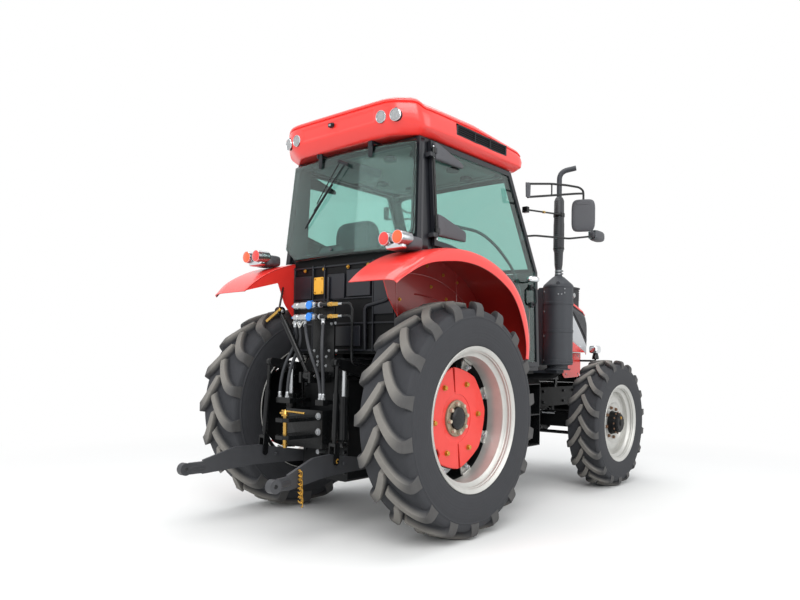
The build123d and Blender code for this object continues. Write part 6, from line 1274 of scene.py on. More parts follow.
    def rear_wall(self):
        """Pressed boxes, bars and pipes, a blank plate and bolts on the wall under the rear window."""
        wall = Shape()
        for y_low, y_high, z_low, z_high, out in ((-300, -60, 1700, 1900, 26), (-30, 150, 1690, 1880, 20),
                                                  (330, 520, 1700, 1880, 24), (-520, -330, 1560, 1880, 18),
                                                  (-200, 180, 1330, 1480, 22)):
            wall.block((-262 - out, y_low, z_low), (-258, y_high, z_high))
        for y in (-535, -320, 190, 320, 535):
            wall.block((-280, y - 6, 1290), (-258, y + 6, 1960))
        for z in (1300, 1500, 1690, 1945):
            wall.block((-274, -540, z - 7), (-258, 540, z + 7))
        wall.tube(rounded([(-275, -250, 1300), (-285, -250, 1620), (-285, -480, 1660), (-285, -480, 1900)], 40),
                  14, 12)
        wall.tube(rounded([(-275, 240, 1300), (-290, 250, 1560), (-290, 130, 1640), (-290, 130, 1860)], 40),
                  12, 12)
        piece("rear_wall_pressings", wall, "black_cab_lacquer", bevel=3)
        sign = rounded([(196, 1735), (301, 1735), (301, 1865), (196, 1865)], 8, 5, True)
        plate = Shape().grid(np.array([np.column_stack([np.full(len(sign), x), sign]) for x in (-264, -282)]),
                             wrap_v=True, cap=True)
        piece("blank_yellow_plate", plate, "yellow_sign_enamel")
        bolts = Shape().scatter(hex_head(17, 10, 15), [(-275, y, 1925) for y in (-480, -270, -64, 197, 410)],
                                (-1, 0, 0))
        bolts.scatter(hex_head(10, 5, 8), [(-282, y, z) for y in (210, 287) for z in (1748, 1852)], (-1, 0, 0))
        piece("rear_wall_bolts", bolts, "yellow_zinc_plate")


# ---------------------------------------------------------------- inside the cab
# the cushions' cloth: grid and greatest swelling in metres, pressure and frames; their seams in millimetres
CLOTH_GRID, CLOTH_CAP, CLOTH_PRESSURE, CLOTH_FRAMES = 0.008, 0.012, 4, 20
SEAM_Y, SEAM_DEPTH, SEAM_WIDTH = 150, 4.5, 5


def pad_form(low, high, round_up, round_in, lean=0.0):
    """A closed cushion form: a superellipsoid between two corners, its two roundness powers given, leant back.

    Each is the sign of a sine or cosine times its size to a power, which squares off an ellipsoid."""
    low, high = np.asarray(low, float), np.asarray(high, float)
    middle, half = (low + high) / 2, (high - low) / 2
    u, v = np.linspace(-np.pi / 2, np.pi / 2, 40)[:, None], np.linspace(0, 2 * np.pi, 96, endpoint=False)[None]
    x = middle[0] + half[0] * powered(np.cos(u), round_up) * powered(np.cos(v), round_in)
    y = middle[1] + half[1] * powered(np.cos(u), round_up) * powered(np.sin(v), round_in)
    z = middle[2] + half[2] * powered(np.sin(u), round_up) * np.ones_like(v)
    return np.stack([x - lean * (z - low[2]), y, z], axis=-1)


def puffed(name, form, node_name, along, seams):
    """A cushion: its form is remeshed, blown up as cloth, held to a cap, smoothed, and drawn in at its seams.

    Two seams run SEAM_Y either side of the middle, and the others cross between them at places along one axis.
    Each draws the cloth in by SEAM_DEPTH times e to the minus square of (distance over SEAM_WIDTH)."""
    item = piece(name, Shape().grid(form, wrap_v=True),
                 "woven_seat_cloth", replaces=(node_name,), sharp=180)
    graph, scene = bpy.context.evaluated_depsgraph_get, bpy.context.scene
    item.modifiers.new("remesh", "REMESH").voxel_size = CLOTH_GRID
    start = bpy.data.meshes.new_from_object(item.evaluated_get(graph()))
    item.modifiers.clear()
    item.data = start
    cloth = item.modifiers.new("cloth", "CLOTH")
    cloth.settings.use_pressure, cloth.settings.uniform_pressure_force = True, CLOTH_PRESSURE
    cloth.settings.effector_weights.gravity = 0
    for number in range(1, CLOTH_FRAMES + 1):
        scene.frame_set(number)
    blown = bpy.data.meshes.new_from_object(item.evaluated_get(graph()))
    item.modifiers.clear()
    scene.frame_set(1)
    old, new = np.empty(len(start.vertices) * 3, np.float32), np.empty(len(start.vertices) * 3, np.float32)
    start.vertices.foreach_get("co", old)
    blown.vertices.foreach_get("co", new)
    move = (new - old).reshape(-1, 3)
    size = np.linalg.norm(move, axis=1, keepdims=True)
    move *= np.minimum(1, CLOTH_CAP / np.maximum(size, 1e-9))
    blown.vertices.foreach_set("co", (old.reshape(-1, 3) + move).ravel())
    item.data = blown
    soft = item.modifiers.new("soft", "SUBSURF")
    soft.levels = soft.render_levels = 1
    final = bpy.data.meshes.new_from_object(item.evaluated_get(graph()))
    item.modifiers.clear()
    points, normals = (np.empty(len(final.vertices) * 3, np.float32) for _ in range(2))
    final.vertices.foreach_get("co", points)
    final.vertex_normals.foreach_get("vector", normals)
    points, normals = points.reshape(-1, 3), normals.reshape(-1, 3)
    where = (points - [AXLE, 0, 0]) * 1000
    beyond = 200 * (np.abs(where[:, 1]) > SEAM_Y)
    gaps = [np.abs(np.abs(where[:, 1]) - SEAM_Y)] + [np.abs(where[:, along] - seam) + beyond for seam in seams]
    depth = sum(SEAM_DEPTH * np.exp(-(gap / SEAM_WIDTH) ** 2) for gap in gaps)
    final.vertices.foreach_set("co", (points - normals * depth[:, None] * 0.001).astype(np.float32).ravel())
    final.shade_smooth()
    final.update()
    item.data = final


class TRACTOR_OT_interior(bpy.types.Operator):
    """Fits out the cab: seat, steering wheel, dashboard, consoles, levers and grab rails."""

    bl_idname = "tractor.interior"
    bl_label = "Inside the cab"

    def execute(self, context):
        eased("dashboard", "charcoal_abs", 8)
        eased("seat_base", "grained_black_abs", 5)
        puffed("seat_cushion_cover", pad_form((26, -232, 1603), (470, 232, 1716), 0.5, 0.32), "seat_cushion", 0,
               (180, 310))
        puffed("seat_backrest_cover", pad_form((-92, -232, 1630), (0, 232, 2300), 0.42, 0.5, 0.115),
               "seat_backrest", 2, (1860, 2060))
        self.steering()
        self.controls()
        return {"FINISHED"}

    def steering(self):
        """The steering wheel: a rim with finger bumps, three dished spokes and a domed hub."""
        hub = np.array((640.0, 0.0, 1980.0))
        axis = unit((-np.sin(radians(32)), 0, np.cos(radians(32))))
        first, second = across(axis)
        turn = np.linspace(0, 2 * np.pi, 120, endpoint=False)
        ring = np.cos(turn)[:, None] * first + np.sin(turn)[:, None] * second
        small = np.linspace(0, 2 * np.pi, 14, endpoint=False)
        fat = 14.5 + 0.6 * np.cos(turn * 36)
        points = hub + ring[:, None] * (205 + fat[:, None, None] * np.cos(small)[None, :, None]) + (
            axis * fat[:, None, None] * np.sin(small)[None, :, None])
        rim = Shape().grid(points, wrap_u=True, wrap_v=True)
        for angle in np.radians([0, 120, 240]):
            out = np.cos(angle) * -first + np.sin(angle) * second
            path = [hub + out * 20 - axis * 4, hub + out * 70 - axis * 6, hub + out * 150 - axis * 2,
                    hub + out * 204]
            rim.tube(rounded(path, 30), np.linspace(15, 9, 16)[:len(rounded(path, 30))], 12)
        rim.turned([(-20, 0), (-20, 34), (12, 48), (20, 44), (25, 30), (27, 0)], hub, axis, 40)
        piece("steering_wheel_moulding", rim, "grained_black_abs", "steering_wheel",
              replaces=("steering_wheel",), sharp=60)

    def controls(self):
        """Instrument binnacle, console tops, levers, grab rails and the blank screens of the gauges."""
        cowl = Shape()
        outline = rounded([(900, 1745), (1150, 1885), (1345, 1890), (1345, 1800), (940, 1690)], 30, 6, True)
        cowl.side(outline, -215, 215)
        piece("instrument_cowl", cowl, "grained_black_abs", bevel=14)
        dials = Shape()
        for y, r in ((-95, 42), (0, 58), (95, 42)):
            dials.turned([(-10, 0), (-10, r), (6, r), (8, r - 3), (4, r - 6), (2, r - 8), (2, 0)],
                         (934, y, 1722), (-0.83, 0, 0.56), 40)
        piece("instrument_dials", dials, "charcoal_abs")
        levers, knobs = Shape(), Shape()
        for x, y, lean, height in ((120, -440, 0.2, 190), (200, -440, 0.1, 170), (270, -420, 0.0, 150),
                                   (60, -470, 0, 120), (180, 440, 0.1, 170), (260, 440, 0.0, 150),
                                   (770, 170, -0.6, 210)):
            foot = np.array((x, y, 1716 if abs(y) > 300 else 1300), float)
            top = foot + (lean * height, 0, height)
            levers.tube([foot, foot + (0, 0, height * 0.4), top], 6, 10)
            levers.turned([(0, 0), (0, 24), (10, 20), (24, 9), (26, 0)], foot, Z, 20)
            knobs.turned([(-24, 0), (-24, 8), (-10, 15), (6, 17), (16, 12), (20, 0)], top, top - foot, 20)
        piece("control_levers", levers, "black_gloss_enamel")
        piece("lever_knobs", knobs, "charcoal_abs")
        rails = Shape()
        for side in (1, -1):
            path = rounded([(330, side * 600, 2262), (640, side * 628, 2262), (883, side * 640, 2170),
                            (1133, side * 650, 1998), (1240, side * 650, 1800)], 120, 10)
            rails.tube(path, 12, 14)
        piece("grab_rails", rails, "charcoal_abs")
        consoles = Shape()
        for side in (1, -1):
            outline = rounded([(-230, 350), (-230, 520), (385, 525), (395, 400), (340, 345)], 40, 6, True)
            consoles.grid(np.array([np.insert(outline * (1, side), 2, z, axis=1)
                                    for z in (1700, 1728, 1738)]), wrap_v=True, cap=True)
        piece("console_tops", consoles, "charcoal_abs", bevel=6)


# ---------------------------------------------------------------- hood and its panels
HOOD_BACK, HOOD_FRONT = 1500, 3141
HOOD_CREST = ((1500, 2210, 2560, 2743, 2990, 3095, 3141), (1975, 1968, 1950, 1920, 1850, 1812, 1770))
HOOD_SHOULDER = 34
PANEL_TOP = ((1500, 2743, 3123, 3141), (1905, 1864, 1752, 1738))
STRIPE_TOP = ((1500, 2100, 2500, 2773, 3141), (1896, 1872, 1846, 1726, 1372))
STRIPE_FOOT = ((1500, 2000, 2400, 2754, 3141), (1888, 1750, 1592, 1442, 1306))
HOOD_HEM = ((1500, 3141), (1331, 1331))


def hood_point(x, t, z, out=0.0, front=0.0):
    """A point of the hood: t runs from -1 to 1 across it.

    Its half width is 397 mm less a draw under the shoulder, round the nose and towards its hem, each a smooth
    step; its length ends on the leaning nose, which falls back with the sixth power of t."""
    shoulder = np.interp(x, *HOOD_CREST) - HOOD_SHOULDER
    width = (397 + out - 24 * ease(z, shoulder - 130, shoulder) ** 2 - 14 * ease(x, 3080, 3141) ** 2
             - 9 * ((np.minimum(z, 1800) - 1600) / 270) ** 2)
    nose = np.interp(z, (1330, 1595, 1740, 1800), (3147, 3139, 3127, 3098)) - 12 * t ** 6
    share = (x - HOOD_BACK) * (nose - HOOD_BACK) / (HOOD_FRONT - HOOD_BACK)
    return np.stack(np.broadcast_arrays(HOOD_BACK + share + front, t * width, z), axis=-1)


def hood_flank(shape, low, high, out=0.0, start=HOOD_BACK, stop=HOOD_FRONT, rows=80, columns=12):
    """Both sides of the hood between two lines of (stations, heights)."""
    x, share = np.linspace(start, stop, rows)[:, None], np.linspace(0, 1, columns)[None, :]
    z = (1 - share) * np.interp(x, *low) + share * np.interp(x, *high)
    for side in (1, -1):
        shape.grid(hood_point(x, np.full_like(z, side), z, out))


def nose_patch(shape, t_low, t_high, z_low, z_high, front):
    """A patch of the nose, stood off by front."""
    t, z = np.linspace(t_low, t_high, 30)[:, None], np.linspace(z_low, z_high, 14)[None, :]
    shape.grid(hood_point(HOOD_FRONT, t + 0 * z, z + 0 * t, front=front))


class TRACTOR_OT_hood(bpy.types.Operator):
    """Forms the hood, its side panels and stripe, the nose with its lamps, and the air intake."""

    bl_idname = "tractor.hood"
    bl_label = "Form hood"

    def execute(self, context):
        x = np.linspace(HOOD_BACK, HOOD_FRONT, 110)[:, None]
        shoulder = np.interp(x, *HOOD_CREST) - HOOD_SHOULDER
        up = np.linspace(0, 1, 8)[None, :-1]
        climb = np.interp(x, *PANEL_TOP) * (1 - up) + shoulder * up
        t = np.cos(np.linspace(0, np.pi, 60))[None, :]
        crest = shoulder + HOOD_SHOULDER * (1 - np.abs(t) ** 2.6) + 9 * ease(np.abs(t), 0.56, 0.5)
        share = np.hstack([np.ones_like(climb), t + 0 * x, -np.ones_like(climb)])
        skin = Shape().grid(hood_point(x, share, np.hstack([climb, crest, climb[:, ::-1]]), out=4))
        piece("hood_top_skin", skin, "red_panel_lacquer", "hood", replaces=("hood",), wall=6)
        skin = Shape()
        hood_flank(skin, HOOD_HEM, STRIPE_FOOT, out=3)
        piece("hood_lower_skins", skin, "red_panel_lacquer", "hood", wall=6)
        skin = Shape()
        hood_flank(skin, STRIPE_FOOT, STRIPE_TOP, out=2)
        nose_patch(skin, -1, 1, 1452, 1484, 6)
        piece("hood_stripes", skin, "grey_stripe_lacquer", "hood", wall=6)
        skin = Shape()
        hood_flank(skin, STRIPE_TOP, PANEL_TOP, out=-3)
        nose_patch(skin, -1, 1, 1331, 1738, 0)
        piece("hood_side_panels", skin, "grained_black_abs", "hood", wall=5)
        mesh = Shape()
        inset = (STRIPE_TOP[0], np.array(STRIPE_TOP[1]) + 60)
        hood_flank(mesh, inset, (PANEL_TOP[0], np.array(PANEL_TOP[1]) - 42), out=1.5, start=2800, stop=3090)
        for low, high in ((1350, 1440), (1496, 1545)):
            nose_patch(mesh, -0.88, 0.88, low, high, 3)
        piece("hood_grilles", mesh, "perforated_black_steel", "hood", wall=3)
        frame_bars = Shape()
        for t_low, t_high, low, high in ((-0.95, 0.95, 1546, 1556), (-0.95, 0.95, 1338, 1350),
                                         (-0.95, -0.89, 1340, 1650), (0.89, 0.95, 1340, 1650),
                                         (-0.05, 0.05, 1556, 1650), (-0.95, 0.95, 1650, 1668)):
            nose_patch(frame_bars, t_low, t_high, low, high, 5)
        piece("hood_nose_frame", frame_bars, "black_gloss_enamel", "hood", wall=8, bevel=2)
        bowls, lenses = Shape(), Shape()
        for side in (1, -1):
            nose_patch(lenses, side * 0.08, side * 0.86, 1560, 1646, 4)
            for centre in (105, 215):
                bowls.turned([(-26, 18), (-8, 34), (0, 38), (1, 38), (1, 30), (-20, 8), (-21, 0)],
                             (3128 - centre * 0.02, side * centre, 1603), X, 28)
        piece("headlamp_bowls", bowls, "chromed_reflector", "hood")
        piece("headlamp_lenses", lenses, "clear_lamp_lens", "hood", wall=2)
        # Air intake: a moulded box with a cap that overhangs it, five slats and a clear dust bowl
        box = Shape().block((2886, -326, 1720), (3046, -170, 2016))
        box.block((2878, -334, 2014), (3054, -162, 2036))
        for level in np.linspace(1898, 1993, 5):
            box.block((2882, -330, level), (3050, -166, level + 9))
        piece("air_intake", box, "grained_black_abs", "hood", bevel=4)
        bowl = Shape().rod((2905, -345, 1943), (2905, -318, 1943), 26, 24, 5)
        piece("air_intake_bowl", bowl, "clear_lamp_lens", "hood")
        hinges, pins = Shape(), Shape()
        for side in (1, -1):
            low, high = sorted((side * 156, side * 180))
            hinges.rod((1530, low, 1930), (1530, high, 1930), 13)
            hinges.block((1519, low, 1930), (1541, high, 1952))
            pins.scatter(hex_head(13, 6, 10), [(1530, side * 181, 1930)], (0, side, 0))
            for station in (1620, 2950):
                pins.scatter(hex_head(14, 7, 12), [(station, side * 394, 1352)],
                             (0, side, 0))
        piece("hood_hinges", hinges, "black_gloss_enamel", "hood", bevel=1.5)
        piece("hood_screws", pins, "clear_zinc_plate", "hood")
        return {"FINISHED"}


class TRACTOR_OT_lower_panels(bpy.types.Operator):
    """Cuts the red panels below the hood, their front sheet and the bars that hold them."""

    bl_idname = "tractor.lower_panels"
    bl_label = "Cut lower panels"

    def execute(self, context):
        outline = rounded([(2380, 1325), (2640, 1200), (2700, 1052), (3060, 1064), (3102, 1110), (3106, 1325)],
                          62, 7)
        skins, bars = Shape(), Shape()
        for side in (1, -1):
            skins.side(outline, *sorted((side * 317, side * 325)))
            bars.side([(2092, 1322), (2300, 1322), (2560, 1190), (2620, 1040), (2200, 1060)],
                      *sorted((side * 306, side * 312)))
        piece("lower_panel_skins", skins, "red_panel_lacquer", replaces=("lower_panels",), bevel=3)
        bars.block((3096, -316, 1000), (3102, 316, 1322))
        for station in (2560, 3051):
            bars.block((station, -300, 961), (station + 40, 300, 999))
            for side in (1, -1):
                bars.side_block(side, (station, 286, 990), (station + 40, 306, 1056))
        piece("lower_panel_bars", bars, "black_gloss_enamel", bevel=2)
        bolts = Shape()
        for side in (1, -1):
            spots = [(2760, side * 325, 1095), (3040, side * 325, 1100), (3040, side * 325, 1290),
                     (2520, side * 325, 1290)]
            bolts.scatter(hex_head(13, 6, 11), spots, (0, side, 0))
        piece("lower_panel_bolts", bolts, "clear_zinc_plate")
        return {"FINISHED"}


# ---------------------------------------------------------------- exhaust
STACK_X, STACK_Y, STACK_TOP = 1920, -660, 3010
SEAM_WAY = np.array((-0.825, 0.564, 0.0))


class TRACTOR_OT_exhaust(bpy.types.Operator):
    """Turns the muffler, sleeves its stack, and bends the tail pipe."""

    bl_idname = "tractor.exhaust"
    bl_label = "Turn muffler and stack"

    def execute(self, context):
        axis = np.array((STACK_X, STACK_Y, 0))
        can = Shape().turned([(1150, 0), (1150, 118), (1162, 118), (1166, 96), (1196, 96), (1200, 136),
                              (1206, 141), (1222, 141), (1226, 138), (1700, 138), (1916, 138), (1920, 141),
                              (1932, 141), (1946, 134), (1958, 122), (2016, 58), (2026, 44), (2030, 36),
                              (2052, 31), (2110, 30), (2112, 0)], axis, Z, 64)
        # The guard sheet stands behind the can on the cab's side, one edge folded
        can.plate([(0, 0), (0, 728), (42, 728), (62, 700), (62, 28), (42, 0)], (1850, -540, 1196), Y,
                  Z, -3)
        can.plate([(0, 0), (0, 728), (26, 728), (26, 0)], (1850, -540, 1196), (0.8, -0.6, 0), Z, 3)
        turn = radians(207)
        out = np.array((np.cos(turn), np.sin(turn), 0.0))
        can.rod(axis + out * 108 + (0, 0, 1960), axis + out * 140 + (0, 0, 1954), 17, 24, 3)
        for level in (1225, 1500, 1760):
            can.turned([(level, 139), (level, 142.5), (level + 24, 142.5), (level + 24, 139)], axis, Z, 64)
        can.block((1850, -690, 1120), (1990, -225, 1150)).block((1850, -237, 820), (1990, -225, 1121))
        can.side([(1880, 1120), (1960, 1120), (1920, 1000)], -330, -324)
        can.plate([(-9, 1230), (9, 1230), (9, 1915), (-9, 1915)], axis + SEAM_WAY * 139, (0.564, 0.825, 0),
                  Z, 3)
        piece("muffler_can", can, "heat_proof_black", replaces=("muffler",), bevel=1.2)
        sleeve = Shape().turned([(2092, 29), (2104, 33), (2140, 38), (2250, 42), (2280, 50), (2510, 50),
                                 (2540, 48), (2735, 46), (2765, 34), (2769, 29)], axis, Z, 48)
        piece("stack_sleeve", sleeve, "perforated_black_steel")
        heading = unit((np.cos(radians(-60)) * 150, np.sin(radians(-60)) * 150, 32.0))
        bend = axis + (0, 0, STACK_TOP)
        tip = bend + (75.0, -129.9, 32.0)
        line = rounded([axis + (0, 0, 2090), bend, tip], 88, 14)
        pipe = Shape().tube(line, 24, 28)
        # A black disc just inside the closed pipe's mouth stands for its open bore: painted shade
        inner = Shape().rod(tip - heading * 30, tip + heading * 0.6, 20.5, 28)
        piece("tail_pipe", pipe, "heat_proof_black")
        piece("tail_pipe_bore_painted_shade", inner, "black_seal_rubber")
        # Clamps on the neck with their tangent bolts, and the screws of the can's seam and guard
        bright = Shape()
        for level in (2044, 2070):
            bright.turned([(level, 30), (level, 34), (level + 14, 34), (level + 14, 30)], axis, Z, 40)
            bright.rod((1904, -698, level + 7), (1938, -698, level + 7), 4.5, 12)
            for edge in (1914, 1924):
                bright.block((edge, -705, level), (edge + 5, -690, level + 14))
        bright.scatter(hex_head(12, 5, 9), [axis + SEAM_WAY * 142 + (0, 0, level)
                                            for level in (1240, 1465, 1695, 1880)], SEAM_WAY)
        for angle, level in ((208, 1850), (220, 1850), (232, 1900), (232, 1862)):
            turn = np.array((np.cos(radians(angle)), np.sin(radians(angle)), 0))
            bright.scatter(hex_head(9, 4, 7), [axis + 141.0 * turn + (0, 0, level)], turn)
        piece("exhaust_clamps", bright, "dull_zinc_plate", bevel=1)
        # Stay bar from the cab's post to a strap round the stack, with a brass clip at its middle
        stay = Shape().tube(rounded([(1262, -692, 2538), (1320, -692, 2544), (1752, -682, 2590),
                                     (1890, -694, 2604)], 20), 8, 16)
        stay.block((1236, -712, 2512), (1276, -664, 2562))
        stay.turned([(2586, 50), (2586, 53), (2618, 53), (2618, 50)], axis, Z, 40)
        stay.turned([(2280, 50), (2281, 52), (2295, 52), (2296, 50)], axis, Z, 40)
        piece("exhaust_stay", stay, "black_gloss_enamel", bevel=1)
        clip = Shape().rod((1560, -687, 2569.5), (1592, -686, 2573), 12, 20, 2)
        piece("exhaust_stay_clip", clip, "turned_brass")
        return {"FINISHED"}


# ---------------------------------------------------------------- mirrors and lamps
def pebble(shape, centre, half, power=0.35, heading=0.0, rows=22, columns=44, tone=0.0):
    """A rounded box: a ball whose sines and cosines are raised to a power, turned about z by a heading."""
    up = np.linspace(-np.pi / 2, np.pi / 2, rows)[:, None]
    way = np.linspace(0, 2 * np.pi, columns, endpoint=False)[None, :]
    level = powered(np.cos(up), power)
    x, y = half[0] * level * powered(np.cos(way), power), half[1] * level * powered(np.sin(way), power)
    z = half[2] * powered(np.sin(up), power) + 0 * way
    turn = radians(heading)
    points = np.stack([x * np.cos(turn) - y * np.sin(turn), x * np.sin(turn) + y * np.cos(turn), z], axis=-1)
    return shape.grid(points + np.asarray(centre, float), wrap_v=True, tone=tone)


class TRACTOR_OT_mirrors(bpy.types.Operator):
    """Bends the mirror arms and moulds the mirror heads."""

    bl_idname = "tractor.mirrors"
    bl_label = "Bend and mould mirrors"

    def execute(self, context):
        arms, heads, glass, clamps = Shape(), Shape(), Shape(), Shape()
        for side in (1, -1):
            upper = [(1129, side * 790, 2720), (1414, side * 850, 2768), (1559, side * 920, 2774),
                     (1737, side * 950, 2786), (1824, side * 950, 2772), (1825, side * 950, 2685)]
            lower = [(1140, side * 788, 2612), (1397, side * 860, 2663), (1693, side * 940, 2723),
                     (1800, side * 950, 2743)]
            small = [(1222, side * flank_y(2300), 2302), (1330, side * 740, 2320), (1725, side * 862, 2336),
                     (1985, side * 950, 2384)]
            for path, radius in ((upper, 9.5), (lower, 9.5), (small, 9)):
                arms.tube(rounded(path, 34, 6), radius, 14)
            arms.rod((1414, side * 851, 2664), (1414, side * 851, 2768), 6.5, 12)
            clamps.plate(rounded([(-30, -60), (30, -60), (36, 60), (-36, 60)], 14), (1112, side * 786, 2662),
                         X, Z, -side * 12)
            clamps.rod((1120, side * 791, 2598), (1114, side * 791, 2728), 14, 18, 4)
            clamps.side_block(side, (1196, flank_y(2300), 2266), (1236, flank_y(2300) + 12, 2336))
            heading = -side * 25
            turn = radians(heading)
            front = np.array((np.cos(turn), np.sin(turn), 0.0))
            across_head = np.array((-np.sin(turn), np.cos(turn), 0.0))
            centre = np.array((1825, side * 950, 2549.0))
            pebble(heads, centre, (27, 104, 145), 0.42, heading)
            pad = rounded([(-62, -14), (62, -14), (62, 14), (-62, 14)], 10)
            heads.plate(pad, centre - front * 25 + (0, 0, 108), across_head, Z, -4)
            plate = rounded([(-88, -128), (88, -128), (88, 128), (-88, 128)], 28)
            glass.plate(plate, centre + front * 26.5, across_head, Z, 1.5)
            pebble(heads, (2112, side * 950, 2404), (112, 46, 50), 0.62)
            glass.plate(rounded([(-36, -38), (36, -38), (36, 38), (-36, 38)], 20), (2008, side * 950, 2404),
                        Y, Z, 1.5)
        piece("mirror_arms", arms, "black_gloss_enamel", replaces=("mirrors",))
        piece("mirror_clamps", clamps, "charcoal_abs", bevel=3)
        piece("mirror_heads", heads, "charcoal_abs", sharp=50)
        piece("mirror_glass_plates", glass, "mirror_glass")
        return {"FINISHED"}


SIDE_LAMP_Y, SIDE_LAMP_Z = 470, 1364
# each tail lamp's lens and how far out it stands; their height
TAIL_LAMPS = (("red_lamp_lens", 672), ("amber_lamp_lens", 790))
TAIL_LAMP_Z = 2035


class TRACTOR_OT_lamps(bpy.types.Operator):
    """Builds the side lamps, the tail lamps in their tubes, and the indicators."""

    bl_idname = "tractor.lamps"
    bl_label = "Build lamps"

    def execute(self, context):
        brackets, shells, lenses, bases, tubes = Shape(), Shape(), Shape(), Shape(), Shape()
        rings, markers = Shape(), Shape()
        for side in (1, -1):
            y = side * SIDE_LAMP_Y
            brackets.tube(rounded([(3095, side * 327, 1240), (3095, y, 1240), (3166, y, 1240), (3166, y, 1310)],
                                  24), 11, 14)
            brackets.turned([(1256, 0), (1256, 30), (1262, 38), (1290, 34), (1330, 24), (1336, 0)],
                            (3166, y, 0), Z, 28)
            pebble(shells, (3152, y, SIDE_LAMP_Z), (66, 50, 44), 0.5)
            lenses.turned([(3208, 42), (3216, 40), (3222, 24), (3224, 0)], (0, y, SIDE_LAMP_Z), X, 36)
            # Tail lamps: a red one inboard and an orange one outboard in chromed tubes on a moulded base
            for _, out in TAIL_LAMPS:
                middle = (0, side * out, TAIL_LAMP_Z)
                tubes.turned([(-440, 0), (-440, 38), (-448, 46), (-556, 46), (-560, 44), (-560, 41),
                              (-552, 40)], middle, X, 40)
                rings.turned([(-562, 43), (-562, 45.5), (-556, 46.5), (-556, 43)], middle, X, 40)
            pebble(rings, (-500, side * 731, 1985), (40, 75, 22), 0.5)
            pebble(bases, (-400, side * 731, 2012), (68, 110, 46), 0.45)
            pebble(markers, (-512, side * 731, 2030), (34, 20, 20), 0.5)
        for material, out in TAIL_LAMPS:
            dome = Shape()
            for side in (1, -1):
                dome.turned([(-556, 43.5), (-562, 43), (-565.5, 33), (-567, 0)], (0, side * out, TAIL_LAMP_Z),
                            X, 40)
            piece("tail_" + material, dome, material)
        piece("tail_lamp_bases", bases, "charcoal_abs", replaces=("tail_lamps",), sharp=60)
        piece("tail_lamp_tubes", tubes, "dull_chrome")
        piece("tail_lamp_rings", rings, "chromed_reflector", sharp=60)
        piece("tail_lamp_markers", markers, "clear_lamp_lens")
        piece("side_lamp_brackets", brackets, "black_gloss_enamel", replaces=("front_lamps",), bevel=2)
        piece("side_lamp_shells", shells, "chromed_reflector", sharp=60)
        piece("side_lamp_lenses", lenses, "clear_lamp_lens")
        cups, arms = Shape(), Shape()
        for side in (1, -1):
            arms.tube(rounded([(1196, side * 712, 1905), (1198, side * 742, 1902), (1196, side * 768, 1912)],
                              10), 7, 12)
            pebble(cups, (1198, side * 800, 1925), (62, 30, 26), 0.75, side * 18)
        piece("side_indicator_arms", arms, "black_gloss_enamel")
        piece("side_indicators", cups, "chromed_reflector", sharp=60)
        return {"FINISHED"}


# ---------------------------------------------------------------- castings, engine and axles
CASTINGS = (("transmission_housing", "chassis", 6), ("rear_axle", "chassis", 5), ("front_axle", "chassis", 5),
            ("front_frame", "chassis", 3), ("knuckle_left", "knuckle_left", 4),
            ("knuckle_right", "knuckle_right", 4), ("front_weights", "chassis", 5),
            ("engine_block", "chassis", 6), ("lift_arms", "lift_arms", 3))
BARS = (("tie_rod", "tie_rod", 1.5), ("fuel_tank", "chassis", 22), ("battery_box", "chassis", 10),
        ("steps", "chassis", 1.5), ("tow_hitch", "chassis", 2.5), ("lift_rods", "lift_rods", 1.5),
        ("lift_cylinders", "lift_cylinders", 1.5), ("top_link", "chassis", 1.5),
        ("hitch_frame", "chassis", 1.5))


